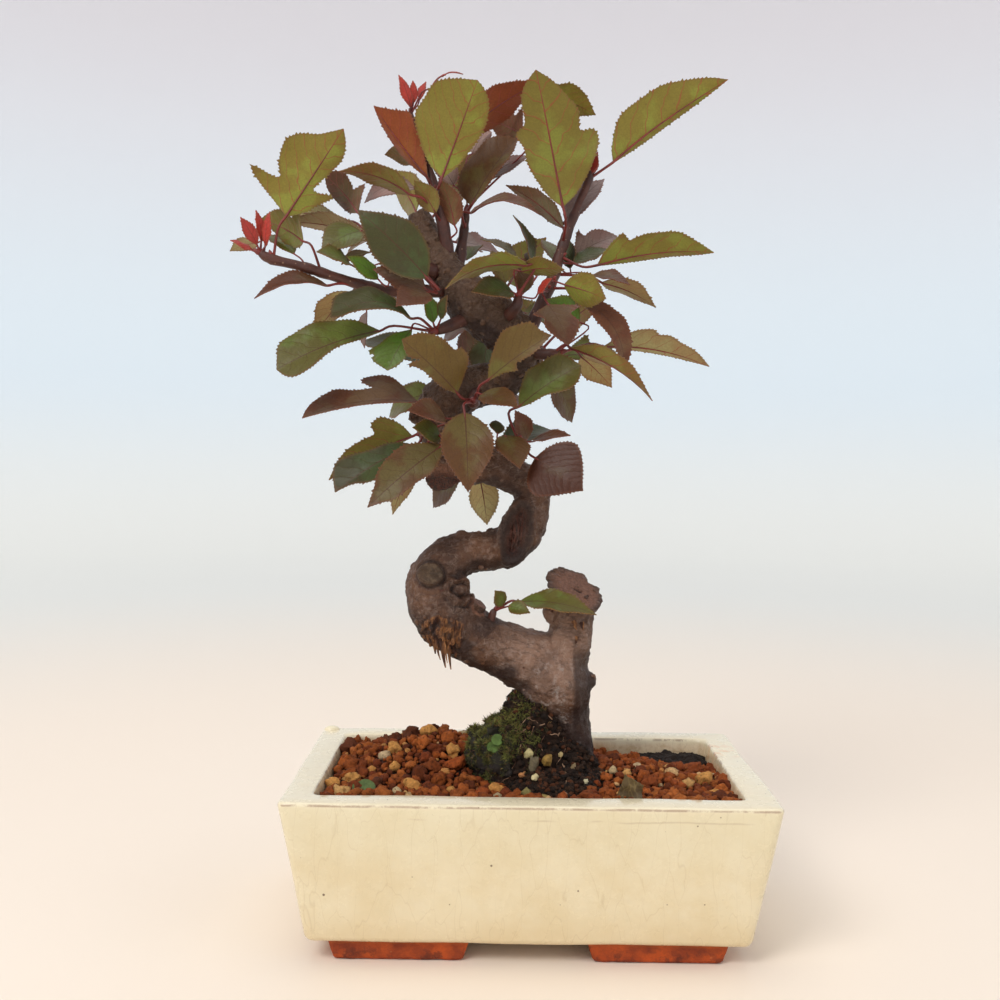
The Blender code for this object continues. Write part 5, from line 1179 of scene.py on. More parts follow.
SPRAYS = [
    Spray("left_shoot", [(-33, -4, 238), (-52, -8, 237), (-63, -9, 239), (-74, -11, 242), (-85, -13, 245),
                         (-95, -15, 247), (-99, -16, 249)], (2.6, 2.1, 1.9, 1.8, 1.7, 1.7, 1.2), [
        Leaf(.93, (-89.5, -16, 262.5), 60, -11, -75, 39.5, 24, "yellow_green", .05, 10,
             ((.15, 5), (.27, 7), (.42, 10), (.36, 3), (.6, 4.5), (.76, 5.5), (.9, 3.5)),
             ((.08, 8), (.21, 20), (.27, 10), (.42, 13), (.6, 15), (.74, 12), (.84, 6))),
        Leaf(.97, (-102, -8, 254), 190, -27, -30, 13, 7, "pale"),
        Leaf(.74, (-89, -4, 251), 144, -29, 40, 16, 9, "green"),
        Leaf(.66, (-84, -13, 254), 150, -28, -50, 23, 12, "yellow_green", left=lobed(6.5)),
        Leaf(.45, (-75, -13, 238), 194, 18, 35, 27, 12, "purple", .14),
        Leaf(.40, (-67, -4, 237), 226, -20, -35, 23, 14, "pale"),
        Leaf(.14, (-51, 4, 235), 170, -38, -40, 16, 11, "olive"),
        Leaf(.20, (-63, 8, 231), 265, -17, 30, 14, 9, "rose_grey"),
        Leaf(1, (-100, -17, 252), 120, 21, 60, 11, 5, "red"),
        Leaf(1, (-99, -14, 254), 101, 0, 40, 11, 4, "red"),
        Leaf(1, (-97, -15, 252), 82, 9, 60, 12, 4, "red"),
        Leaf(1, (-102, -15, 250), 159, 35, 30, 9, 4, "red"),
    ]),
    Spray("upper_left_spur", [(-36, -3, 245), (-48, -10, 247), (-54, -9, 251)], (3.2, 2.8, 1.8), [
        Leaf(1, (-65.5, -2, 267), 131, -20, -60, 22, 12, "brown", .07, 14,
             ((.15, 4), (.33, 7.5), (.4, 4), (.7, 5.5), (.9, 3.5)), ((.25, 4), (.55, 6), (.85, 4.5))),
        Leaf(1, (-61, -4, 257), 168, -13, -25, 35, 13, "pale"),
        Leaf(1, (-72, 6, 265), 171, -18, -20, 31, 12, "pale"),
        Leaf(1, (-63, -12, 258), 216, 24, 65, 18, 15, "green", .12),
        Leaf(.9, (-60, -9, 251), 208, 20, 30, 12, 9, "olive"),
        Leaf(.8, (-66, -19, 245), 167, 45, 35, 15, 10, "green"),
        Leaf(.8, (-56, -18, 240), 147, 27, 50, 14, 8, "bright_green"),
        Leaf(.3, (-38, -22, 240), 137, 7, 75, 34, 19, "dark_green", .08),
        Leaf(.4, (-39, -17, 237), 163, 17, 60, 20, 13, "purple"),
        Leaf(.3, (-38, -20, 235), 213, 45, 60, 17, 12, "purple"),
    ]),
    Spray("crown_shoot", [(-31, 1, 244), (-33, -3, 261), (-36, -3, 271), (-37, -3, 277), (-40, -3, 287),
                          (-46, -2, 304)], (3.0, 2.1, 1.9, 1.8, 1.0, 0.8), [
        Leaf(.35, (-45, -10, 272), 165, 12, -30, 27, 12, "olive", .12),
        Leaf(.45, (-45, 6, 278), 193, -16, 50, 21, 12, "rose_grey", .2),
        Leaf(.5, (-39.5, -6, 279.5), 128, 4, -55, 32, 14, "orange", .05, 30,
             ((.1, 2.5), (.35, 6.5), (.55, 9.5), (.68, 10.5), (.78, 7), (.9, 3)), ((.4, 4), (.75, 3)), -.04),
        Leaf(.5, (-46, 6, 289), 164, -27, -35, 13, 9, "olive"),
        Leaf(.5, (-33.5, -12, 278), 69, 11, -85, 36, 27, "yellow_green", .05, 8,
             ((.18, 4), (.4, 6.5), (.6, 8), (.8, 7), (.93, 4)),
             ((.08, 6), (.25, 12), (.47, 17), (.65, 16), (.83, 14), (.93, 8))),
        Leaf(.5, (-26, 4, 299), 36, -9, -50, 37, 15, "orange"),
        Leaf(1, (-38, -6, 312), 18, 19, 20, 13, 5, "red", .2),
        Leaf(1, (-46, -3, 306), 112, 10, 60, 12, 4.5, "red"),
        Leaf(1, (-45, -2, 308), 93, 0, 60, 8, 3.5, "red"),
        Leaf(1, (-43, 1, 310), 70, 0, 60, 7, 3.5, "red"),
        Leaf(.3, (-36, -8, 266), 125, 17, -60, 14, 9, "olive"),
        Leaf(.2, (-29, -6, 262), 107, 14, -60, 17, 10, "brown"),
        Leaf(.4, (-30, 4, 279), 127, -22, 60, 16, 10, "rose_grey"),
    ]),
    Spray("crown_side_spur", [(-28, 3, 246), (-26, 5, 261), (-25, 3, 269)], (2.4, 1.7, 1.2), [
        Leaf(1, (-23, -2, 270), 57, -7, 60, 31.5, 17, "brown", .07, 14,
             ((.09, 7.5), (.24, 10), (.45, 10.5), (.74, 10), (.9, 6)), ((.3, 2.5), (.75, 3))),
        Leaf(1, (-23, 11, 293), 61, -26, 60, 14, 10, "rose_grey"),
        Leaf(.9, (-17, 8, 282), 35, -17, 45, 20, 11, "rose_grey"),
        Leaf(.7, (-23, -4, 267), 355, 21, 30, 27, 13, "purple", .18),
        Leaf(1, (-4, 14, 301), 149, -21, -60, 18, 13, "brown", left=lobed(6)),
        Leaf(.3, (-25, 10, 252), 51, -41, 45, 12, 9, "green"),
    ]),
    Spray("right_shoot", [(-1, 3, 223), (8, 2, 244), (10, 2, 251), (13, 2, 260), (17, 1, 271), (20, 0, 278),
                          (22, 0, 284)], (2.8, 2.1, 1.9, 1.7, 1.6, 1.6, 1.2), [
        Leaf(.55, (11, -8, 269), 103, 8, -85, 49, 26, "yellow_green", .05, 8,
             ((.08, 6), (.23, 12.5), (.39, 17), (.5, 16.5), (.52, 11.5), (.66, 12), (.79, 8.5), (.9, 5)),
             ((.12, 5), (.34, 9.5), (.48, 10), (.59, 12), (.66, 8), (.82, 7.5), (.92, 5))),
        Leaf(.60, (12, 6, 264), 143, -8, -25, 28, 12, "grey_green", .07),
        Leaf(.72, (13, 8, 267), 49, -15, 60, 24, 12, "rose_grey"),
        Leaf(.95, (30, -2, 287), 35.5, 5, -60, 51, 20, "yellow_green", .08, 25,
             ((.3, 2.5), (.7, 2)), ((.06, 5), (.22, 11), (.42, 12), (.6, 11.5), (.8, 7), (.92, 3.5))),
        Leaf(.95, (4.5, 7, 315), 339, -6, -40, 21, 13, "yellow_green"),
        Leaf(.48, (17, 10, 254), 28, -18, 60, 20, 13, "rose_grey", left=lobed(6)),
        Leaf(.45, (16, 4, 250), 24, -8, 40, 15, 9, "dark_green"),
        Leaf(.42, (15, 8, 249), 90, -11, 60, 11, 7, "dark_green"),
        Leaf(.48, (24.5, -6, 248), 5, 12, -40, 42.5, 16, "yellow_green", .07, 14,
             ((.3, 3), (.6, 3), (.85, 2)), ((.08, 5), (.24, 10.5), (.3, 7), (.5, 9.5), (.7, 8.5), (.84, 5))),
        Leaf(.38, (23, 0, 245), 344, 17, 35, 15, 10, "purple"),
        Leaf(.38, (27, 4, 243), 339, -15, -30, 24, 11, "pale"),
        Leaf(.33, (12, -10, 240), 337, 28, -60, 18, 13, "yellow_green"),
        Leaf(.30, (18, -5, 235), 302, 15, 60, 32, 14, "purple", .1, 14,
             ((.1, 4), (.4, 5.5), (.65, 5), (.86, 3)), ((.3, 4.5), (.6, 3.5), (.85, 2)), .12),
        Leaf(.28, (6, -14, 232), 295, 27, 70, 19, 15, "purple", left=lobed(6.5), right=lobed(7)),
        Leaf(.45, (10, 12, 252), 120, -35, 50, 14, 9, "grey_green"),
        Leaf(1, (22, -1, 283), 75, 10, 50, 8, 4, "red"),
        Leaf(1, (23, 3, 284), 100, -10, 50, 7, 4, "red"),
    ]),
    Spray("right_middle_spur", [(-4, 4, 217), (6, -2, 215), (11, -2, 216)], (2.6, 2.0, 1.3), [
        Leaf(1, (18, -4, 227), 149, 22, 60, 16, 12, "bright_green"),
        Leaf(1, (28.5, 6, 219), 351, -8, -40, 42.5, 17, "pale", .08, 14,
             ((.35, 2.5), (.75, 2)), ((.1, 4), (.26, 8), (.4, 9), (.46, 7), (.57, 8), (.68, 6), (.84, 4))),
        Leaf(1, (20, 2, 216), 339, -12, -30, 19, 10, "pale"),
        Leaf(1, (20, 8, 215), 320, -32, -60, 20, 12, "pale"),
        Leaf(.8, (15, -6, 217), 325.5, 23, -20, 38, 12, "olive", .08, 35),
    ]),
    Spray("inner_spur", [(-12, -2, 226), (-6, -12, 231), (-5, -12, 235)], (2.8, 2.0, 1.3), [
        Leaf(1, (-2, -18, 245.5), 199, 16, -20, 32, 13, "yellow_green", .13),
        Leaf(1, (-4, -14, 244), 357, 33, -30, 18, 10, "yellow_green"),
        Leaf(1, (-7, -16, 236), 185, 33, 50, 18, 12, "dark_green"),
        Leaf(.9, (-10, -6, 241), 112, -23, 60, 15, 11, "olive"),
        Leaf(1, (0, 2, 250), 111, -16, 25, 21, 9, "dark_green"),
        Leaf(1, (-6, 4, 252), 149, -26, 25, 18, 8, "pale"),
        Leaf(1, (0, 3, 247), 98, -35, 50, 10, 7, "olive"),
        Leaf(1, (-3, -9, 237), 95, 11, 60, 11, 8, "brown"),
        Leaf(1, (2, -13, 236), 45, 39, 30, 9, 5, "red"),
    ]),
    Spray("left_middle_spur", [(-22, -3, 229), (-31, -10, 224), (-35, -14, 222)], (2.8, 2.2, 1.6), [
        Leaf(1, (-36, -15, 225), 104, 14, 60, 11, 6, "bright_green"),
        Leaf(1, (-33, -18, 226), 72, 37, 50, 10, 5, "dark_green"),
        Leaf(1, (-44, -17, 226), 182, 16, 40, 29, 14, "dark_green", .24, 14,
             ((.2, 3), (.45, 5), (.75, 4), (.9, 3)), ((.15, 3.5), (.4, 7.5), (.7, 9), (.9, 8.5), (.97, 4))),
        Leaf(1, (-56, -10, 222), 204, 20, 60, 41, 18, "green", .07, 14,
             ((.2, 2), (.45, 2.5), (.6, 4.5), (.75, 7), (.88, 7.5), (.96, 5)),
             ((.16, 6), (.34, 9), (.5, 10.5), (.65, 10.5), (.81, 9.5), (.9, 7.5), (.95, 4))),
        Leaf(1, (-44, -15, 222), 243, 22, 70, 18.5, 14, "bright_green", .07, 14,
             ((.18, 2), (.5, 4.5), (.78, 3.5)), ((.3, 5), (.55, 7), (.79, 9.5), (.84, 7), (.94, 6.5))),
    ]),
    Spray("lower_left_spur", [(-33, 4, 188), (-39, -6, 186), (-39, -11, 185)], (2.8, 2.3, 1.6), [
        Leaf(.5, (-41.5, -9, 196), 189, 10, 35, 43, 16, "purple", .08, 14,
             ((.4, 3), (.75, 2.5)),
             ((.07, 5), (.14, 10), (.25, 13.5), (.38, 14), (.44, 11.5), (.37, 7.5), (.54, 6.5), (.7, 9), (.84, 7),
              (.94, 4))),
        Leaf(1, (-31, -17, 190), 170, 42, 45, 18, 11, "purple"),
        Leaf(1, (-33, -15, 183), 160, 39, 50, 13, 10, "green"),
        Leaf(.8, (-44, -3, 183.5), 208, -6, -45, 36.5, 16, "yellow_green", .07, 14,
             ((.05, 7), (.17, 11), (.31, 10), (.34, 6.5), (.5, 6.5), (.66, 6), (.82, 4)),
             ((.35, 2.5), (.75, 2))),
        Leaf(.8, (-43, -9, 180), 212, 14, 60, 34, 15, "dark_green", .07, 14,
             ((.3, 5), (.6, 7), (.8, 2)), ((.1, 3), (.25, 5), (.45, 6), (.68, 8), (.83, 8.5), (.92, 5.5))),
        Leaf(1, (-32, -20, 180), 221, 18, 70, 35.5, 18, "brown", .05, 12,
             ((.08, 3), (.27, 6.5), (.45, 6), (.75, 5), (.87, 2.5)),
             ((.1, 4), (.3, 8), (.5, 8.5), (.7, 6.5), (.82, 3.5))),
        Leaf(.8, (-38, -16, 180), 245, 4, -50, 28, 13, "pale"),
    ]),
    Spray("front_spur", [(-20, 10, 203), (-21, -2, 197), (-21, -9, 197)], (2.8, 2.3, 1.6), [
        Leaf(1, (-24, -18, 192), 274, 23, 80, 31, 19, "brown", .07, 12),
        Leaf(.8, (-15.5, -13, 204.5), 35, 20, 70, 29, 15, "olive", .07, 14,
             ((.15, 4.5), (.34, 8), (.55, 10), (.76, 9), (.88, 7.5), (.92, 3.5)),
             ((.25, 2), (.42, 4.5), (.46, 2), (.7, 2.5))),
        Leaf(.9, (-18, -14, 199), 339, 41, 50, 19, 11, "brown"),
        Leaf(.9, (-27, -14, 199.5), 137, 24, 75, 29, 20, "olive", .08, 12,
             ((.27, 3), (.58, 3.5), (.76, 5.5), (.68, 1.5), (.83, 3)),
             ((.08, 5), (.22, 11), (.37, 12.5), (.44, 10), (.68, 9.5), (.89, 6))),
    ]),
    Spray("lower_right_spur", [(-5, -2, 169), (-5, -8, 178), (-4, -12, 182)], (2.6, 2.0, 1.4), [
        Leaf(1, (-1, -8, 183), 114, 28, 60, 13, 8, "purple"),
        Leaf(1, (1, -10, 182), 10, 30, 20, 16, 8, "purple"),
        Leaf(1, (2, -15, 176), 326, 27, 80, 23, 24, "dark_brown", .06, 8),
        Leaf(.9, (-9, -14, 184), 294, 44, 60, 18, 13, "brown"),
        Leaf(.8, (-12, -2, 185), 99, -50, 60, 8, 6, "dark_green"),
        Leaf(.9, (-4, -10, 195), 34, 14, 65, 27.5, 16, "green", .07, 14,
             ((.1, 4), (.32, 8), (.52, 8.5), (.7, 8), (.86, 7)),
             ((.15, 2), (.4, 3.5), (.6, 6), (.8, 7.5), (.92, 5))),
    ]),
    Spray("trunk_sprout", [(-15, -6, 108), (-13, -9, 117), (-12, -9, 119)], (1.8, 1.5, 0.9), [
        Leaf(1, (-3, -9, 122), 354, 19, 30, 30, 12, "green", .08),
        Leaf(1, (-7, -13, 121), 347, 25, 60, 9, 6, "green"),
        Leaf(1, (-9, -9, 121), 118, 33, 60, 8, 6, "green"),
    ]),
    Spray("crown_back_spur", [(-37, 2, 255), (-40, 14, 262), (-41, 20, 268)], (2.4, 1.9, 1.3), [
        Leaf(1, (-46, 28, 274), 125, -35, -50, 30, 16, "yellow_green"),
        Leaf(1, (-34, 26, 278), 62, -25, -60, 28, 15, "olive"),
        Leaf(.8, (-52, 24, 262), 190, -30, 30, 27, 14, "dark_green", .12),
        Leaf(.9, (-30, 28, 262), 350, -35, 40, 24, 13, "rose_grey", right=lobed(6)),
    ]),
    Spray("back_upper_spur", [(-14, 2, 228), (-15, 14, 233), (-16, 20, 238)], (2.8, 2.2, 1.5), [
        Leaf(1, (-24, 28, 244), 150, -40, -50, 30, 16, "olive"),
        Leaf(1, (-8, 28, 246), 55, -30, -60, 30, 16, "yellow_green", left=lobed(7.5)),
        Leaf(1, (-18, 32, 232), 205, -45, 40, 28, 15, "purple", .12),
        Leaf(1, (-2, 28, 234), 345, -40, 40, 30, 15, "green", .1),
        Leaf(.9, (-16, 28, 224), 265, -40, 50, 24, 14, "dark_green"),
    ]),
    Spray("back_middle_spur", [(-30, 12, 199), (-32, 24, 204), (-33, 30, 208)], (2.8, 2.2, 1.5), [
        Leaf(1, (-42, 34, 214), 160, -25, 40, 32, 16, "dark_green", .1, 14, lobed(7.5)),
        Leaf(1, (-26, 38, 214), 60, -35, -60, 27, 15, "brown"),
        Leaf(1, (-38, 38, 202), 205, -40, 45, 30, 15, "green", .12),
        Leaf(.9, (-22, 42, 204), 345, -40, 45, 28, 15, "purple", .1),
        Leaf(.9, (-32, 34, 194), 262, -35, 60, 26, 16, "olive"),
    ]),
    Spray("back_right_spur", [(-4, 7, 214), (2, 18, 216), (5, 23, 219)], (2.6, 2.0, 1.4), [
        Leaf(1, (12, 25, 226), 40, -30, -50, 30, 15, "olive"),
        Leaf(1, (14, 28, 217), 350, -25, 40, 32, 15, "green", .12, 14, lobed(7)),
        Leaf(.9, (8, 30, 210), 300, -35, 50, 27, 14, "brown"),
        Leaf(1, (2, 32, 228), 110, -48, -60, 24, 14, "yellow_green"),
    ]),
    Spray("lower_back_spur", [(-18, -1, 174), (-19, 10, 178), (-20, 14, 178)], (2.4, 2.0, 1.4), [
        Leaf(1, (-19, 11, 169), 280, 12, -75, 20, 12, "sunlit"),
        Leaf(1, (-10, 20, 180), 20, -35, 40, 26, 14, "dark_green", .1),
        Leaf(1, (-26, 22, 172), 235, -35, 50, 26, 14, "brown"),
    ]),
]
print("stems:", len(SPRAYS), "leaves:", sum(len(spray.leaves) for spray in SPRAYS))

# %% Leaf outlines
STALK_HALF = 0.5
TOOTH_STEP, TOOTH_HIGH = 1.4, 0.52
GRID = 1.8                          # spacing of the points inside a blade


def walk(path, spacing):
    """Points along a path at an even spacing, each with its direction."""
    lengths = [math.dist(a, b) for a, b in zip(path, path[1:])]
    total, count = sum(lengths), max(3, round(sum(lengths) / spacing))
    found, passed, k = [], 0.0, 0
    for step in range(count):
        target = total * step / count
        while passed + lengths[k] < target and k < len(lengths) - 1:
            passed += lengths[k]
            k += 1
        a, b = Vector(path[k]), Vector(path[k + 1])
        share = (target - passed) / max(lengths[k], 1e-6)
        found.append((a.lerp(b, share), (b - a).normalized()))
    return found, total / count


def toothed_half(leaf, drawn, draw):
    """The fine edge of one half from the stalk to the tip, as (along, out) points with forward-leaning teeth."""
    half = leaf.width / 2
    if drawn:
        path = smooth_path([(0, STALK_HALF), *((t * leaf.length, out) for t, out in drawn), (leaf.length, 0)], 8)
    else:
        shares = [k / 30 for k in range(31)]
        bulge = [max(0.0, math.sin(math.pi * t ** 0.85)) ** (0.8 if t < 0.44 else 1.15) for t in shares]
        path = [(t * leaf.length, max(half * b, STALK_HALF * (1 - t))) for t, b in zip(shares, bulge)]
    places, step = walk(path, TOOTH_STEP if leaf.length > 18 else 0.8 * TOOTH_STEP)
    points = []
    for k, (place, way) in enumerate(places[1:], 1):
        share = k / len(places)
        out = Vector((-way.y, way.x))
        high = TOOTH_HIGH * min(1, leaf.length / 24) * draw.uniform(0.5, 1.2) * (1.6 if k % 3 == 0 else 1)
        high *= min(1, share * 6) * min(1, (1 - share) * 5)
        points.append(tuple(place))
        points.append(tuple(place + way * step * 0.72 + out * high))
    return [p for p in points if 0.05 < p[1]]


def fine_blade(leaf, draw):
    """Flat points (along, across) of a blade, its triangles, and each point's distance from the edge."""
    right, left = (toothed_half(leaf, half, draw) for half in (leaf.right, leaf.left))
    rim = [(0, -STALK_HALF), *((x, -out) for x, out in right), (leaf.length, 0), *reversed(left), (0, STALK_HALF)]
    count, tip = len(rim), 1 + len(right)
    steps = int(leaf.length / GRID)
    ribs = [(leaf.length * k / steps, 0) for k in range(1, steps)]
    tree = KDTree(count + len(ribs))
    for k, (x, y) in enumerate(rim + ribs):
        tree.insert((x, y, 0), k)
    tree.balance()
    wide = max(abs(y) for _, y in rim)
    inner = []
    for row in range(1, int(2 * wide / GRID) + 1):
        for column in range(int(leaf.length / GRID) + 1):
            x, y = (column + 0.5 * (row % 2)) * GRID, row * GRID - wide
            if tree.find((x, y, 0))[2] > 0.62 * GRID:
                inner.append((x, y))
    chain = [*range(count, count + len(ribs)), tip]
    edges = [(k, (k + 1) % count) for k in range(count)] + list(zip(chain, chain[1:]))
    flat, _, faces, *_ = delaunay_2d_cdt([Vector(p) for p in rim + ribs + inner], edges, [], 1, 1e-4)
    used = sorted({k for face in faces for k in face})
    renumber = {k: n for n, k in enumerate(used)}
    edge_tree = KDTree(count)
    for k, (x, y) in enumerate(rim):
        edge_tree.insert((x, y, 0), k)
    edge_tree.balance()
    points = [tuple(flat[k]) for k in used]
    depth = [edge_tree.find((x, y, 0))[2] for x, y in points]
    return points, [[renumber[k] for k in face] for face in faces], depth


class Bend:
    """How one leaf's flat points go to their place: fold, bow, sway, waves and a small twist."""

    def __init__(self, leaf, draw):
        self.leaf, self.half = leaf, leaf.width / 2
        self.wave = draw.uniform(0.25, 0.6) * min(1.0, leaf.length / 30)
        self.beats, self.phase = draw.uniform(1.6, 3.2), draw.uniform(0, 6.3)
        self.twist, self.curl = math.radians(draw.uniform(-9, 9)), draw.uniform(-0.5, 0.9)
        heading, lean, turn = map(math.radians, (leaf.heading, leaf.lean, leaf.turn))
        along = Vector((math.cos(heading) * math.cos(lean), -math.sin(lean), math.sin(heading) * math.cos(lean)))
        viewer = Vector((0, -1, 0))
        facing = (viewer - along * viewer.dot(along)).normalized()
        edge_on = along.cross(facing)
        if edge_on.z < 0:
            edge_on.negate()
        up = edge_on * math.cos(turn) + facing * math.sin(turn)
        self.axes = Matrix((along, up.cross(along), up)).transposed()

    def place(self, x, y, sink=0.0):
        leaf = self.leaf
        t, out = x / leaf.length, abs(y) / self.half
        bow = leaf.length * 4 * t * (1 - t)
        fold = math.radians(leaf.fold)
        z = leaf.arch * bow + (math.hypot(y, 0.7) - 0.7) * math.sin(fold) - self.curl * out**3 * min(1, 3 * t)
        side = 1 if y > 0 else -1
        z += self.wave * min(out, 1.4) ** 2 * math.sin(self.beats * 2 * math.pi * t + self.phase + side)
        across = y * math.cos(fold) + leaf.sway * bow
        roll = self.twist * t
        across, z = across * math.cos(roll) - z * math.sin(roll), across * math.sin(roll) + z * math.cos(roll)
        return Vector(leaf.base) + self.axes @ Vector((x, across, z - sink))


print("outlines ready")

# %% [markdown]
# The stalk leaves the stem at a node, bends towards the blade and goes on as the midrib, which stands out on the
# underside. Stem, stalks and midribs are splines of a curve with a thickness at each point.

# %% Stalks and midribs
SHORT_STALK, STALK_BEND = 7.0, 6.0


def along_stem(stem, share):
    """The point of a stem at a share of its length."""
    lengths = [(Vector(b) - Vector(a)).length for a, b in zip(stem, stem[1:])]
    left = share * sum(lengths)
    for a, b, length in zip(stem, stem[1:], lengths):
        if left <= length:
            return Vector(a).lerp(Vector(b), left / length)
        left -= length
    return Vector(stem[-1])


def stalk_and_rib(leaf, stem, bend):
    """From inside the stem to the blade's start and on along its underside, thinner towards the tip."""
    root, base, way = along_stem(stem, leaf.at), bend.place(0, 0), bend.axes.col[0]
    reach = (base - root).length
    knots = [(*root, 0.95)]
    if reach > SHORT_STALK:
        knots.append((*root.lerp(base, 0.12), 0.62))
        knots.append((*(base - way * min(reach * 0.35, STALK_BEND)), 0.5))
    knots.append((*base, 0.52))
    scale = min(1.0, leaf.length / 26)
    knots = [(*k[:3], k[3] * max(scale, 0.6)) for k in knots]
    rib = []
    for k in range(1, 9):
        t = 0.96 * k / 8
        radius = (0.34 * (1 - t) + 0.07) * max(scale, 0.5)
        rib.append((*bend.place(leaf.length * t, 0, 0.55 * radius), radius))
    return smooth_path(knots + rib[:1], 4)[:-1] + rib


# %% Leaf finishes
TINTS = {  # upper face, underside, and how much bronze spreads over it
    "green": ((94, 102, 42), (136, 124, 62), 0.65), "bright_green": ((84, 116, 36), (130, 134, 60), 0.35),
    "dark_green": ((66, 74, 36), (124, 112, 66), 0.65), "olive": ((98, 90, 40), (120, 106, 46), 0.65),
    "yellow_green": ((98, 90, 38), (126, 124, 42), 0.55), "pale": ((114, 106, 56), (160, 146, 96), 0.4),
    "grey_green": ((98, 94, 56), (130, 112, 76), 0.7), "brown": ((92, 76, 38), (110, 84, 50), 0.85),
    "purple": ((96, 70, 46), (128, 96, 76), 0.8), "rose_grey": ((140, 116, 106), (162, 138, 130), 0.4),
    # the tint sunlit is a paler copy of pale: painted light on a leaf that stands in the trunk's shade
    "dark_brown": ((74, 50, 30), (88, 58, 40), 0.9), "sunlit": ((164, 154, 92), (206, 190, 130), 0.25),
    "orange": ((112, 54, 20), (136, 70, 22), 0.55), "red": ((172, 58, 48), (186, 84, 72), 0.2),
}


def build_veins():
    """Midrib, side veins and the soft pillows between them, from a leaf's own map (along, across from 0.5)."""
    tree, bench, inlet, outlet = new_group("leaf_veins", [("Pairs", "Float", 8.0)],
                                           [("Midrib", "Float"), ("Side", "Float"), ("Pillow", "Float"),
                                            ("Along", "Float"), ("Across", "Float")])
    chart = bench.add("UVMap", uv_map="leaf").outputs["UV"]
    parts = bench.add("SeparateXYZ", {0: chart})
    along, across = parts.outputs[0], bench.minus(parts.outputs[1], 0.5)
    out = bench.math("ABSOLUTE", across)
    rib_width = bench.math("MULTIPLY_ADD", along, -0.009, 0.0125)
    midrib = bench.step(out, rib_width, bench.times(rib_width, 0.55))
    side = bench.math("GREATER_THAN", across, 0.0)
    waver = bench.noise(bench.own("own_chart", "Vector"), 6.0, 2.0)
    run = bench.minus(along, bench.times(out, 0.75))
    run = bench.minus(run, bench.times(bench.times(out, out), 1.3))
    run = bench.times(run, inlet["Pairs"])
    run = bench.plus(run, bench.times(side, 0.45))
    run = bench.plus(run, bench.times(waver, 1.1))
    phase = bench.math("FRACT", run)
    away = bench.math("ABSOLUTE", bench.minus(phase, 0.5))
    line = bench.step(away, bench.math("MULTIPLY_ADD", out, -0.08, 0.06), 0.012)
    pillow = bench.math("SINE", bench.times(bench.plus(phase, 0.5), math.pi))
    links = {"Midrib": midrib, "Side": line, "Pillow": bench.math("ABSOLUTE", pillow), "Along": along, "Across": out}
    for key, socket in links.items():
        bench.tree.links.new(socket, outlet[key])
    return tree


VEINS = build_veins()


def build_leaf_face(name, tint, roughness, vein_color, side_amount, raised, sheen):
    """One face of the leaves; each leaf's own colour comes from the attribute."""
    made, bench, shader = new_finish(name, Roughness=roughness, Specular_IOR_Level=0.3, Sheen_Weight=sheen,
                                     Sheen_Roughness=0.5)
    place = bench.object_place()
    veins = bench.group(VEINS, Pairs=6.5)
    own = bench.add("Attribute", attribute_name=tint)
    base, bronze = own.outputs["Color"], own.outputs["Alpha"]
    blush = bench.math("MULTIPLY_ADD", veins["Along"], 0.22, bench.noise(place, 1 / 15, 3.0, 0.6))
    blush = bench.math("MULTIPLY_ADD", veins["Across"], 0.5, blush)
    patch = bench.step(blush, 0.56, 0.7)
    bronzed = bench.mix(1.0, base, paint(236, 178, 172), "MULTIPLY")
    color = bench.mix(bench.times(patch, bronze), base, bronzed)
    fine = bench.noise(place, 1.6, 3.0, 0.7)
    shade = bench.step(fine, 0.25, 0.75, 0.86, 1.12)
    color = bench.shade(color, shade)
    edge = bench.own("edge_depth")
    rim = bench.step(edge, 0.9, 0.0)
    color = bench.lay(color, rim, 0.35, paint(112, 66, 40))
    dots = bench.specks(place, 2.6, 0.14, 0.1)
    color = bench.lay(color, dots, 0.3, paint(92, 54, 34))
    color = bench.mix(bench.times(veins["Side"], side_amount), color, vein_color)
    color = bench.mix(bench.times(veins["Midrib"], 0.8), color, vein_color)
    height = bench.times(veins["Pillow"], raised)
    height = bench.plus(height, bench.times(fine, 0.3))
    height = bench.plus(height, bench.times(bench.noise(place, 1 / 2.2, 2.0, 0.6), 0.9))
    height = bench.minus(height, bench.times(veins["Side"], raised))
    bump = bench.bump(0.5, 0.35 * MM, height)
    feed(bench, shader, Base_Color=color, Normal=bump)
    return made


def build_stem_bark(name, first, second, roughness, dots):
    """Young red-brown bark with pale pores."""
    made, bench, shader = new_finish(name, Roughness=roughness)
    place = bench.object_place()
    color = bench.patches(place, 6.0, first, second, 0.2, 0.4)
    pores = bench.specks(place, 1.5, 0.2, dots)
    color = bench.lay(color, pores, 0.6, paint(170, 132, 104))
    bump = bench.bump(0.4, 0.25 * MM, bench.noise(place, 1.8, 3.0, 0.6))
    feed(bench, shader, Base_Color=color, Normal=bump)
    return made


LEAF_TOP = build_leaf_face("leaf_upper_face", "tint_top", 0.44, paint(78, 46, 30), 0.34, 0.3, 0.0)
LEAF_UNDER = build_leaf_face("leaf_underside", "tint_under", 0.6, paint(146, 56, 40), 0.6, -0.3, 0.2)
STEM_BARK = build_stem_bark("young_bark", paint(88, 48, 36), paint(62, 32, 26), 0.5, 0.3)
RED_STALK = build_stem_bark("red_stalk", paint(132, 46, 38), paint(96, 34, 28), 0.45, 0.0)
print("leaf finishes:", LEAF_TOP.name, LEAF_UNDER.name, STEM_BARK.name, RED_STALK.name)

# %% Stems with their leaves
BLADE_THICK = 0.34


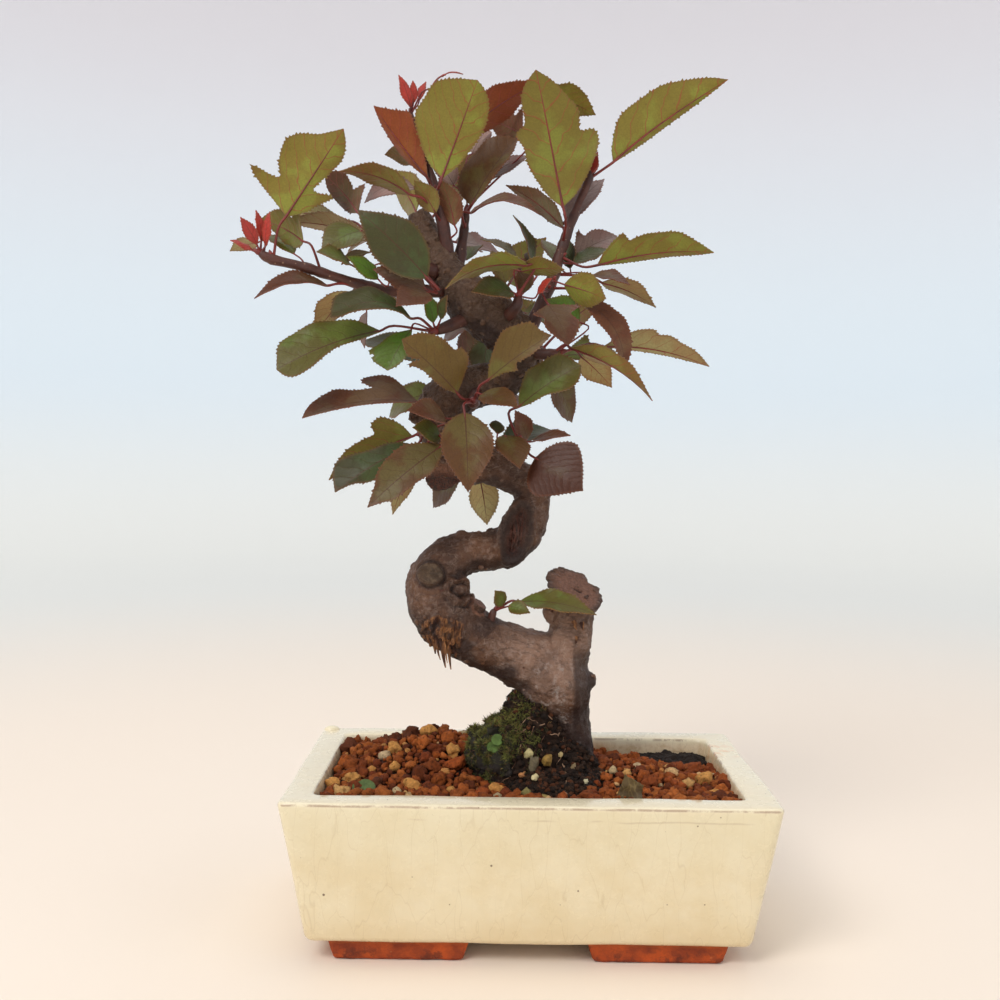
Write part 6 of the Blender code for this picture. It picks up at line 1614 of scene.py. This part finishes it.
def blades(spray, draw):
    """All blades of a stem as one sheet with its map and colours, thickened at the end."""
    points, faces, chart, depths, tops, unders, stalks, own = [], [], [], [], [], [], [], []
    for leaf in spray.leaves:
        flat, triangles, depth = fine_blade(leaf, draw)
        bend = Bend(leaf, draw)
        first = len(points)
        points += [bend.place(x, y) for x, y in flat]
        faces += [[first + k for k in face] for face in triangles]
        chart += [(x / leaf.length, 0.5 + y / leaf.length) for x, y in flat]
        depths += depth
        shift = draw.uniform(0, 90)
        own += [(x / leaf.length + shift, y / leaf.length, shift) for x, y in flat]
        top, under, bronze = TINTS[leaf.tint]
        light, warm = draw.uniform(0.85, 1.15), draw.uniform(0.94, 1.06)
        for colors, rgb in ((tops, top), (unders, under)):
            r, g, b, _ = paint(*rgb)
            colors += [(r * light * warm, g * light, b * light / warm, bronze)] * len(flat)
        stalks.append(stalk_and_rib(leaf, spray.stem, bend))
    sheet = from_lists(spray.name + "_blades", points, faces, (LEAF_TOP, LEAF_UNDER))
    mesh = sheet.data
    layer = mesh.uv_layers.new(name="leaf")
    for loop in mesh.loops:
        layer.data[loop.index].uv = chart[loop.vertex_index]
    for name, rows in (("tint_top", tops), ("tint_under", unders), ("edge_depth", depths), ("own_chart", own)):
        store(sheet, name, rows)
    use(sheet, "SOLIDIFY", thickness=BLADE_THICK * MM, offset=0.0, material_offset=1, material_offset_rim=1)
    smooth(sheet, 50)
    return sheet, stalks


def stem_path(spray):
    """The stem's path, a little thicker at each node where a stalk leaves it."""
    rows = smooth_path([(*p, r) for p, r in zip(spray.stem, spray.radii)], 6)
    nodes = [along_stem(spray.stem, leaf.at) for leaf in spray.leaves if leaf.at < 0.99]
    path = []
    for x, y, z, radius in rows:
        near = min([(Vector((x, y, z)) - node).length for node in nodes], default=9)
        swell = 0.22 * math.exp(-(near / 1.6) ** 2) + 0.09 * noise.noise(Vector((x, y, z)) / 3)
        path.append((x, y, z, radius * (1 + swell)))
    return path


def bud(place, way, size):
    """A pointed bud: a small ball, drawn out along its own way."""
    piece = start("bud", bpy.ops.mesh.primitive_ico_sphere_add, subdivisions=2, radius=size * MM)
    turn = Vector(way).to_track_quat("Z", "Y").to_matrix()
    for vert in piece.data.vertices:
        co = vert.co / MM
        slim = 1 - 0.45 * max(0, co.z / size)
        co = Vector((co.x * slim, co.y * slim, co.z * 1.9 + 0.8 * size))
        vert.co = at(*(Vector(place) + turn @ co))
    piece.data.materials.append(RED_STALK)
    pick(piece)
    bpy.ops.object.shade_smooth()
    return piece


def build_spray(spray, seed):
    draw = random.Random(seed)
    sheet, stalks = blades(spray, draw)
    pieces = [sheet, tubes(spray.name + "_stem", [stem_path(spray)], 4, STEM_BARK),
              tubes(spray.name + "_stalks", stalks, 1, RED_STALK)]
    tip, before = Vector(spray.stem[-1]), Vector(spray.stem[-2])
    pieces.append(bud(tip, tip - before, spray.radii[-1] * 0.95))
    for leaf in spray.leaves:
        if 0.1 < leaf.at < 0.97:
            root = along_stem(spray.stem, leaf.at)
            way = (Vector(leaf.base) - root).normalized() + (tip - root).normalized() * 0.8
            pieces.append(bud(root + way.normalized() * 1.3, way, draw.uniform(0.7, 1.0)))
    piece = join(spray.name + "_leaves", pieces)
    hand_over(piece, "foliage", spray.name)
    return piece


for number, spray in enumerate(SPRAYS):
    build_spray(spray, 100 + number)

# %% [markdown]
# ## Soil, granules and moss
# The root ball is dark crumbly soil that rises round the foot of the trunk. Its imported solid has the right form,
# so a copy of it is merged, remeshed fine and roughened by two displacements, one for clods and one for crumbs.

# %% Soil


def copy_of(node, name):
    """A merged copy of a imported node's mesh as a new object."""
    piece = placed(name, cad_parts[node].data.copy())
    piece.data.name = name
    face_outward(piece)
    piece.data.materials.clear()
    return piece


def search_tree(*pieces):
    """A tree for casting rays at these objects, in millimetres."""
    points, faces = [], []
    for piece in pieces:
        first = len(points)
        points += [in_mm(v.co) for v in piece.data.vertices]
        faces += [tuple(first + k for k in f.vertices) for f in piece.data.polygons]
    return BVHTree.FromPolygons(points, faces, epsilon=0.0)


DOWN = Vector((0, 0, -1))
soil_body = copy_of("soil", "soil_body")
use(soil_body, "REMESH", mode="VOXEL", voxel_size=1.3 * MM)
edit(soil_body, "FACE", lambda m, f: m[2] > 49)
bpy.ops.mesh.subdivide(number_cuts=1)
done()
use(soil_body, "DISPLACE", texture=lump_texture("clods", 4.5, 2), strength=2.6 * MM, mid_level=0.5,
    texture_coords="GLOBAL")
use(soil_body, "DISPLACE", texture=lump_texture("crumbs", 1.5, 2), strength=1.7 * MM, mid_level=0.5,
    texture_coords="GLOBAL")
smooth(soil_body, 180)
print("soil", len(soil_body.data.vertices), "points")

# %% [markdown]
# Stones, crumbs and clay granules are all lumps. A few lumps are modelled once: a ball of triangles is dented by
# noise and pressed flat on some sides. Each stone is then a copy of one of them with its own size, turn and
# colour, and all copies of a kind are one mesh.

# %% Lumps


def make_lumps(count, subdivisions, dent, seed):
    """Rough lumps as lists of points and faces."""
    draw = random.Random(seed)
    found = []
    for number in range(count):
        ball_piece = start("lump", bpy.ops.mesh.primitive_ico_sphere_add, subdivisions=subdivisions, radius=1)
        flats = [(Vector([draw.gauss(0, 1) for _ in range(3)]).normalized(), draw.uniform(0.72, 1.0))
                 for _ in range(5)]
        points = []
        for vert in ball_piece.data.vertices:
            co = vert.co * (1 + dent * noise.noise(vert.co * 1.4 + Vector((number * 5.0, 0, 0)))
                            + 0.35 * dent * noise.noise(vert.co * 4 + Vector((0, number * 3.0, 0))))
            for facing, reach in flats:
                over = co.dot(facing) - reach
                if over > 0:
                    co = co - facing * over * 0.8
            points.append(co * (1 + 0.2 * dent * noise.noise(vert.co * 9 + Vector((number * 3.0, 2, 0)))))
        found.append((points, [tuple(f.vertices) for f in ball_piece.data.polygons]))
        bpy.data.objects.remove(ball_piece, do_unlink=True)
    return found


def strew(name, lumps, rows, mat, seed):
    """One object of many lumps; a row is the middle, three radii and a colour."""
    draw = random.Random(seed)
    points, faces, colors = [], [], []
    for middle, radii, color in rows:
        lump_points, lump_faces = draw.choice(lumps)
        turn = Matrix.Rotation(draw.uniform(0, 6.28), 3, "Z") @ Matrix.Rotation(draw.gauss(0, 0.5), 3, "X")
        inner = Matrix.Rotation(draw.uniform(0, 6.28), 3, Vector([draw.gauss(0, 1) for _ in range(3)]))
        first = len(points)
        size = Vector(radii)
        points += [middle + turn @ ((inner @ p) * size) for p in lump_points]
        faces += [tuple(first + k for k in face) for face in lump_faces]
        colors += [color] * len(lump_points)
    piece = from_lists(name, points, faces, (mat,))
    store(piece, "tint", colors)
    pick(piece)
    bpy.ops.object.shade_smooth()
    return piece


def jitter(color, draw, spread=0.14):
    """A colour a little lighter or darker, and a little warmer or cooler."""
    light, warm = 1 + draw.uniform(-spread, spread), 1 + draw.uniform(-0.05, 0.05)
    r, g, b, _ = paint(*color)
    return (r * light * warm, g * light, b * light / warm, 1)


def build_lump_finish(name, roughness, pits, glint):
    """Porous grains: each one's own colour, mottled, with painted shade in its pits."""
    made, bench, shader = new_finish(name, Roughness=roughness, Specular_IOR_Level=glint)
    place = bench.object_place()
    own = bench.own("tint", "Color")
    color = bench.shade(own, bench.step(bench.noise(place, 0.7, 4.0, 0.7), 0.3, 0.72, 0.78, 1.32))
    hole = bench.specks(place, 1.1, 0.3, 0.4)
    # painted shade in the pits
    color = bench.lay(color, hole, pits, paint(58, 26, 14))
    relief = bench.minus(bench.noise(place, 1.1, 6.0, 0.8), bench.times(hole, pits))
    bump = bench.bump(1.0, 0.8 * MM, relief)
    feed(bench, shader, Base_Color=color, Normal=bump)
    return made


GRAIN_FINISH = build_lump_finish("porous_clay_grain", 0.9, 0.55, 0.25)
STONE_FINISH = build_lump_finish("small_stone", 0.55, 0.15, 0.5)
BIG_LUMPS, GRAIN_LUMPS, STONE_LUMPS, CRUMB_LUMPS = (
    make_lumps(*row) for row in ((8, 3, 0.62, 3), (12, 2, 0.62, 6), (6, 3, 0.4, 4), (6, 1, 0.6, 5)))
print("lump shapes:", len(BIG_LUMPS + GRAIN_LUMPS + STONE_LUMPS + CRUMB_LUMPS))

# %% [markdown]
# On the mound lie a few pale stones, crumbs of soil and bits of fibre. Each is dropped on the soil by casting a
# ray at it, so that it sits on what carries it from any side.

# %% Crumbs, pale stones and fibres
PALE_STONES = [  # across and up, seen from the front, radii, colour
    (1, 67.5, (1.7, 1.5, 2.0), (204, 186, 128)), (8, 65.5, (2.0, 1.8, 2.6), (164, 130, 62)),
    (3, 63.5, (1.8, 1.6, 3.7), (112, 100, 74)), (-1, 60.2, (1.7, 1.4, 1.3), (196, 132, 80)),
    (3.5, 60.2, (2.5, 1.5, 1.3), (222, 204, 154)), (0, 56, (2.0, 1.8, 2.2), (142, 130, 74)),
    (6.5, 55.6, (1.8, 1.4, 1.1), (170, 146, 82)), (17.4, 61.5, (1.3, 1.2, 2.3), (150, 124, 86)),
    (22, 58.6, (1.1, 1.1, 1.1), (214, 200, 158)), (13, 66.5, (1.0, 1.0, 1.0), (190, 168, 116)),
]
FIBRES, CRUMB_TRIES = 46, 5200
soil_tree = search_tree(soil_body)
draw = random.Random(41)


def on_front(x, z):
    """Where a line from the front at this place meets the soil."""
    return soil_tree.ray_cast(Vector((x, -80, z)), Vector((0, 1, 0)))[0]


rows = []
for x, z, radii, color in PALE_STONES:
    rows.append((on_front(x, z) + Vector((0, -0.4 * radii[1], 0)), radii, jitter(color, draw, 0.05)))
stones = strew("pale_stones", STONE_LUMPS, rows, STONE_FINISH, 7)

rows = []
for _ in range(CRUMB_TRIES):
    x, y = draw.uniform(-24, 40), draw.uniform(-40, 34)
    hit = soil_tree.ray_cast(Vector((x, y, 120)), DOWN)
    if hit[0] is None or hit[0].z < 47 or hit[1].z < 0.05 or (x > 36 and y > 12):
        continue
    size = draw.uniform(0.35, 1.3)
    color = draw.choice([(50, 34, 24), (38, 26, 19), (62, 42, 28), (46, 28, 18), (84, 48, 28), (30, 22, 17)])
    rows.append((hit[0] + hit[1] * size * 0.3, (size * 1.2, size, size * 0.9), jitter(color, draw)))
crumbs = strew("soil_crumbs", CRUMB_LUMPS, rows, GRAIN_FINISH, 8)

paths = []
for _ in range(FIBRES):
    x, z = draw.uniform(-14, 27), draw.uniform(53, 82)
    place, way = on_front(x, z), Vector((draw.gauss(0, 1), 0, draw.gauss(-0.4, 1))).normalized()
    if place is None:
        continue
    path, thick = [], draw.uniform(0.1, 0.24)
    for step in range(draw.randrange(5, 11)):
        path.append((*(place + Vector((0, -0.25 - 0.2 * (step % 3), 0))), thick * (1 - 0.06 * step)))
        way = (way + 0.45 * Vector((draw.gauss(0, 1), 0, draw.gauss(-0.1, 1)))).normalized()
        following = on_front(place.x + way.x * 1.1, place.z + way.z * 1.1)
        if following is None or (following - place).length > 4:
            break
        place = following
    if len(path) > 2:
        paths.append(path)
root_fibre, bench, shader = new_finish("root_fibre", Roughness=0.7)
feed(bench, shader, Base_Color=bench.patches(bench.object_place(), 4.0, paint(176, 140, 112), paint(96, 60, 42), 0.08,
                                             0.3))
fibres = tubes("fibres", paths, 0, root_fibre)
print("stones", len(PALE_STONES), "crumbs", len(rows), "fibres", len(paths))

# %% Soil finish


def build_soil_finish():
    """Dark crumbly soil, wet and glossy in the bare corner at the back right."""
    made, bench, shader = new_finish("dark_soil", Specular_IOR_Level=0.22)
    place = bench.object_place()
    color = bench.patches(place, 5.0, paint(50, 34, 24), paint(30, 21, 16), 0.18, 0.9)
    straw = bench.specks(place, 1.4, 0.2, 0.12)
    color = bench.lay(color, straw, 0.7, paint(112, 74, 46))
    x, y, _ = bench.add("SeparateXYZ", {0: place}).outputs
    wet = bench.times(bench.step(x, 28 + TREE.x / MM, 38 + TREE.x / MM),
                      bench.step(y, 4 + TREE.y / MM, 14 + TREE.y / MM))
    color = bench.lay(color, wet, 0.7, paint(28, 19, 12))
    roughness = bench.step(bench.times(wet, bench.noise(place, 0.35, 2.0)), 0.3, 0.55, 0.92, 0.6)
    bump = bench.bump(0.9, 0.7 * MM, bench.noise(place, 1.1, 6.0, 0.75))
    feed(bench, shader, Base_Color=color, Roughness=roughness, Normal=bump)
    return made


soil_body.data.materials.append(build_soil_finish())
soil_dressed = join("soil_dressed", [soil_body, stones, crumbs, fibres])
hand_over(soil_dressed, "soil", "soil")

# %% [markdown]
# Moss is a cushion of short leafy shoots. Under a soft skin it would look like felt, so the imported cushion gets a
# lumpy base, and thousands of tiny sprigs of a few slim spikes each stand on it, darker below and greener at
# their tips.

# %% Moss


def build_moss_finish():
    made, bench, shader = new_finish("moss_green", Roughness=0.85)
    place = bench.object_place()
    own = bench.own("tint", "Color")
    grey = bench.step(bench.noise(place, 0.4, 3.0, 0.6), 0.3, 0.7, 0.7, 1.25)
    color = bench.shade(own, grey)
    bump = bench.bump(0.8, 0.5 * MM, bench.noise(place, 1.4, 4.0, 0.7))
    feed(bench, shader, Base_Color=color, Normal=bump)
    return made


MOSS_FINISH = build_moss_finish()
SPIKE_SIDES = ((1, 0), (-0.5, 0.87), (-0.5, -0.87))


def moss(node, name, count, seed, spread=()):
    """The base and the sprigs of one cushion, and sprigs on other ground that it spreads over."""
    draw = random.Random(seed)
    base = copy_of(node, name)
    use(base, "REMESH", mode="VOXEL", voxel_size=0.9 * MM)
    use(base, "DISPLACE", texture=lump_texture(name + "_lumps", 4.5, 2), strength=4.2 * MM, mid_level=0.78,
        texture_coords="GLOBAL")
    smooth(base, 180)
    base.data.materials.append(MOSS_FINISH)
    colors = []
    for vert in base.data.vertices:
        place = in_mm(vert.co)
        low = soft(64 - place.z + 6 * noise.noise(place / 4), -3, 5)
        colors.append([a + (b - a) * low for a, b in zip(paint(34, 29, 15), paint(32, 22, 15))])
    store(base, "tint", colors)
    faces = [f for f in base.data.polygons if f.normal.z > -0.2 or f.normal.y < -0.3]
    weights = [f.area for f in faces]
    spots = [(in_mm(f.center), f.normal) for f in draw.choices(faces, weights, k=count)]
    points, lists, colors = [], [], []
    for middle, out in [*spots, *spread]:
        patch = noise.noise(middle / 5) + 0.6 * noise.noise(middle / 2.2) - 0.4 * soft(65 - middle.z, -3, 8)
        if patch < -0.2:
            continue
        green = draw.choice([(80, 82, 34), (96, 96, 38), (64, 62, 26), (60, 66, 30)])
        if patch > 0.02:
            green = draw.choice([(146, 144, 66), (128, 132, 54), (112, 122, 52), (158, 150, 80)])
        if draw.random() < 0.12:
            green = draw.choice([(140, 98, 56), (110, 70, 42), (160, 122, 76)])
        tip_color, low_color = jitter(green, draw, 0.2), jitter((48, 42, 20), draw)
        for _ in range(5):
            way = (out + 0.75 * Vector([draw.gauss(0, 1) for _ in range(3)])).normalized()
            side = way.orthogonal().normalized()
            other = way.cross(side)
            foot = middle + 0.5 * Vector([draw.uniform(-1, 1) for _ in range(3)])
            long, thick = draw.uniform(0.8, 2.4) * (1 + 0.6 * patch), draw.uniform(0.16, 0.3)
            first = len(points)
            points += [foot + (side * a + other * b) * thick for a, b in SPIKE_SIDES]
            points.append(foot + way * long)
            lists += [(first, first + 2, first + 1), (first, first + 1, first + 3),
                      (first + 1, first + 2, first + 3), (first + 2, first, first + 3)]
            colors += [low_color] * 3 + [tip_color]
    sprigs = from_lists("sprigs", points, lists, (MOSS_FINISH,))
    store(sprigs, "tint", colors)
    return base, sprigs


def round_leaves(name, centres, color, notch):
    """Small round weed leaves: a filled circle, pulled in at its notch, dished and thickened."""
    pieces = []
    for middle, radius, out, spin in centres:
        piece = start(name, bpy.ops.mesh.primitive_circle_add, vertices=28, radius=1, fill_type="NGON")
        edit(piece, "FACE", lambda m, f: True)
        bpy.ops.mesh.poke()
        bpy.ops.mesh.subdivide(number_cuts=2)
        done()
        turn = Vector(out).to_track_quat("Z", "Y").to_matrix() @ Matrix.Rotation(spin, 3, "Z")
        for vert in piece.data.vertices:
            x, y = vert.co.x, vert.co.y
            far = math.hypot(x, y)
            pull = 1 - notch * far * math.exp(-(math.atan2(y, x) / 0.35) ** 2)
            vert.co = at(*(Vector(middle) + turn @ Vector((x * pull, y * pull, 0.25 * far * far)) * radius))
        use(piece, "SOLIDIFY", thickness=0.25 * MM, offset=0)
        store(piece, "tint", [paint(*color)] * len(piece.data.vertices))
        piece.data.materials.append(MOSS_FINISH)
        smooth(piece, 60)
        pieces.append(piece)
    return pieces


CUSHION_SPRIGS, TUFT_SPRIGS, FLANK_TRIES = 5200, 900, 2600
draw = random.Random(53)
flank = []
for _ in range(FLANK_TRIES):
    x, z = draw.uniform(-22, 14), draw.uniform(54, 88)
    place, out, *_ = soil_tree.ray_cast(Vector((x, -80, z)), Vector((0, 1, 0)))
    if place is not None and draw.random() < soft(-x + 0.35 * (z - 66), -8, 7) and place.y < 20:
        flank.append((place, out))
cushion = moss("moss_cushion", "moss_cushion_base", CUSHION_SPRIGS, 51, flank)
moss_tree = search_tree(cushion[0])
clover_at = moss_tree.ray_cast(Vector((-10.4, -80, 69.5)), Vector((0, 1, 0)))[0] + Vector((0, -1.6, 0))
clover = [(clover_at + 2.0 * Vector((math.cos(a), -0.25, math.sin(a))), 2.1, (0.1, -1, 0.35), -a + 1.6)
          for a in (math.radians(g) for g in (95, 205, 330))]
cushion = join("moss_cushion_sprigs", [*cushion, *round_leaves("clover", clover, (88, 112, 52), 0.35)])
hand_over(cushion, "moss", "moss_cushion")
tuft = join("moss_tuft_sprigs", list(moss("moss_corner_tuft", "moss_tuft_base", TUFT_SPRIGS, 52)))
hand_over(tuft, "moss", "moss_corner_tuft")

# %% [markdown]
# The granules are baked red-brown clay, 1 to 7 mm across, with a few tan and pale ones among them. They lie
# loose, so a Boolean or a particle system would be heavy. They are strewn by a seeded rule instead: each one
# takes a free place on the imported layer, big ones first and small ones between them, over a dark bed of dust
# that also paints the shade in the gaps between them.

# %% Granules
RED_BROWNS = [(158, 84, 36), (142, 72, 30), (130, 62, 26), (116, 54, 24), (150, 76, 30), (166, 92, 42),
              (100, 48, 22)]
TANS = [(208, 158, 96), (196, 136, 76), (216, 172, 118)]
PALES = [(206, 178, 138), (196, 170, 128)]
RED, BROWN, DARK, TAN, PALE = (156, 78, 34), (132, 66, 30), (96, 50, 28), (206, 146, 78), (204, 176, 132)
CHOSEN = [  # granules that stand out: across and down in the picture of 1000 points, radius, colour
    (348, 753, 3.9, DARK), (429, 735, 3.4, TAN), (395, 753, 3.0, TAN), (453, 756, 3.1, TAN), (394, 768, 2.1, TAN),
    (372, 772, 1.9, TAN), (353, 779, 2.8, TAN), (332, 788, 2.7, TAN), (397, 790, 2.2, PALE), (413, 791, 2.9, TAN),
    (451, 793, 1.8, TAN), (498, 793, 2.7, TAN), (482, 792, 2.7, RED), (433, 769, 3.0, BROWN), (456, 765, 3.0, RED),
    (478, 774, 2.3, RED), (377, 788, 2.4, DARK), (387, 736, 2.9, DARK), (397, 740, 2.5, DARK),
    (410, 739, 3.0, DARK), (419, 731, 1.8, DARK), (705, 783, 3.5, TAN), (696, 770, 3.2, BROWN),
    (714, 796, 2.2, TAN), (613, 773, 1.9, PALE), (650, 788, 3.2, BROWN), (671, 786, 3.0, RED),
    (699, 795, 2.2, BROWN), (681, 789, 2.1, RED), (644, 759, 2.1, RED), (595, 755, 1.9, RED),
    (604, 766, 2.7, BROWN), (595, 776, 2.5, BROWN), (562, 794, 2.2, RED), (586, 794, 2.5, BROWN),
    (654, 763, 1.1, TAN),
]


PASSES = [  # smallest and largest radius, tries, how close to others, how deep
    (2.3, 3.2, 260, 0.9, 0.3), (1.5, 2.3, 2600, 0.84, 0.2), (0.95, 1.5, 7000, 0.8, 0.0), (0.45, 0.95, 6500, 0.8, -0.5)]


def heap_height(x, y):
    """Height of the heap of granules: high at the left and low at the right."""
    left = 12.0 * math.exp(-((x + 34) / 27) ** 2 - ((y - 14) / 24) ** 2)
    right = 6.0 * math.exp(-((x - 36) / 17) ** 2 - ((y + 4) / 22) ** 2)
    front = 2.0 * math.exp(-((y + 38) / 12) ** 2)
    return 53.0 + left + right + front - 2.5 * max(0, x / 75) * max(0, y / 41)


layer_tree = search_tree(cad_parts["clay_gravel"])
cover_tree = search_tree(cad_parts["soil"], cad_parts["moss_cushion"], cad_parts["moss_corner_tuft"])


def free_top(x, y):
    """Whether the layer of granules is what shows here from above."""
    hit, cover = (tree.ray_cast(Vector((x, y, 120)), DOWN)[0] for tree in (layer_tree, cover_tree))
    return hit is not None and hit.z > 50 and (cover is None or cover.z < hit.z + 0.5)


def seen_at(tree, across, down):
    """Where the line from the camera through a point of the picture, or one a little lower, meets this tree."""
    far = 1000 * LENS / 36
    for lower in range(12):
        way = right * (across - 500) + up * (500 - down - lower) + look * far
        place = tree.ray_cast(Vector(EYE), way.normalized())[0]
        if place is not None:
            return place
    raise ValueError(f"nothing is seen at {across}, {down}")


def strew_granules():
    draw = random.Random(23)
    taken, rows = {}, {"big": [], "small": [], "dust": []}

    def room(x, y, radius, tight):
        cell_x, cell_y = int(x // 5), int(y // 5)
        near = [spot for a in range(-2, 3) for b in range(-2, 3) for spot in taken.get((cell_x + a, cell_y + b), ())]
        return all(math.hypot(x - px, y - py) > tight * (radius + r) for px, py, r in near)

    def lay(x, y, radius, color, sink):
        taken.setdefault((int(x // 5), int(y // 5)), []).append((x, y, radius))
        radii = [radius * draw.uniform(0.82, 1.22) for _ in range(2)] + [radius * draw.uniform(0.7, 1.0)]
        size = "big" if radius > 2.3 else "small" if radius > 0.95 else "dust"
        rows[size].append((Vector((x, y, heap_height(x, y) + 0.45 * radius + 0.5 - sink)), radii, color))

    for across, down, radius, color in CHOSEN:
        x, y, _ = seen_at(layer_tree, across, down)
        lay(x, y, radius, jitter(color, draw, 0.05), 0.0)
    for low, high, tries, tight, sink in PASSES:
        for _ in range(tries):
            x, y, radius = draw.uniform(-72, 76), draw.uniform(-40, 40), draw.uniform(low, high)
            in_front = 29 < x < 42 and y < -34.5 and radius > 1
            if in_front or not room(x, y, radius, tight) or not free_top(x, y):
                continue
            lot = draw.random()
            color = draw.choice(RED_BROWNS if lot < 0.95 else TANS if lot < 0.99 else PALES)
            # painted shade: the granules at the back left, under the tree, are made a little darker
            back = 1 - 0.12 * soft(y, 0, 34) * soft(-x, -10, 20)
            lay(x, y, radius, tuple(c * back for c in jitter(color, draw)[:3]) + (1,), sink + draw.uniform(-0.5, 0.7))
    heaps = [strew("granules", lumps, rows[size], GRAIN_FINISH, 9)
             for size, lumps in (("big", BIG_LUMPS), ("small", GRAIN_LUMPS), ("dust", CRUMB_LUMPS))]
    return heaps, [len(part) for part in rows.values()]


granules, count = strew_granules()
leaf_place = seen_at(layer_tree, 364, 791) + Vector((0, -1, 1))
fallen = round_leaves("fallen_leaf", [(leaf_place, 4.2, (0.1, -0.45, 1), 2.0)], (88, 106, 58), 0.2)
gravel_bed = copy_of("clay_gravel", "gravel_bed")
edit(gravel_bed, "VERT", lambda m, v: True)
bpy.ops.transform.translate(value=(0, 0, -1.3 * MM))
done()
# the dark bed under the granules: dust, and painted shade in the gaps between them
bed_finish, bench, shader = new_finish("dust_and_shade_bed", Roughness=0.95)
feed(bench, shader, Base_Color=bench.patches(bench.object_place(), 2.0, paint(70, 34, 20), paint(44, 24, 16), 0.2,
                                             0.5))
gravel_bed.data.materials.append(bed_finish)
gravel = join("gravel_layer", [*granules, gravel_bed, *fallen])
hand_over(gravel, "gravel", "clay_gravel")
print("granules", count)

# %% [markdown]
# One dry scrap of leaf stands in the granules by the front wall. A square is cut into small squares, its corners
# are moved to the scrap's outline, and it is curled and thickened.

# %% Leaf scrap
SCRAP_CORNERS = [Vector(c) for c in ((-4.2, -2.6), (5.4, -2.6), (5.9, 4.4), (-0.2, 8.0))]


def build_scrap():
    scrap = start("dry_scrap", bpy.ops.mesh.primitive_plane_add, size=1)
    edit(scrap, "FACE", lambda m, f: True)
    bpy.ops.mesh.subdivide(number_cuts=15)
    done()
    tilt = Matrix.Rotation(math.radians(-12), 3, "X")
    a, b, c, d = SCRAP_CORNERS
    for vert in scrap.data.vertices:
        u, v = vert.co.x + 0.5, vert.co.y + 0.5
        flat = a.lerp(b, u).lerp(d.lerp(c, u), v)
        ragged = 0.35 * noise.noise(Vector((flat.x, flat.y, 0)) * 0.9) * (abs(u - 0.5) + abs(v - 0.5))
        x, z = flat.x + ragged, flat.y + ragged
        y = -0.055 * x * x + 0.5 * noise.noise(Vector((x, 3, z)) / 3) - 0.02 * z * z
        vert.co = at(*(Vector((35, -36, 57)) + tilt @ Vector((x, y, z))))
    use(scrap, "SOLIDIFY", thickness=0.32 * MM, offset=0)
    made, bench, shader = new_finish("dry_leaf", Roughness=0.6)
    place = bench.object_place()
    color = bench.patches(place, 4.0, paint(98, 78, 40), paint(74, 55, 28), 0.2, 0.3)
    lines = bench.stretch(place, (0.9, 0.2, 0.35), (0, 0.5, 0))
    vein = bench.cracks(lines, 2.2, 0.05)
    color = bench.lay(color, vein, 0.5, paint(140, 118, 72))
    bump = bench.bump(0.5, 0.3 * MM, bench.noise(place, 1.2, 3.0))
    feed(bench, shader, Base_Color=color, Normal=bump)
    scrap.data.materials.append(made)
    smooth(scrap, 50)
    return scrap


hand_over(build_scrap(), "dry_leaf", "leaf_scrap")
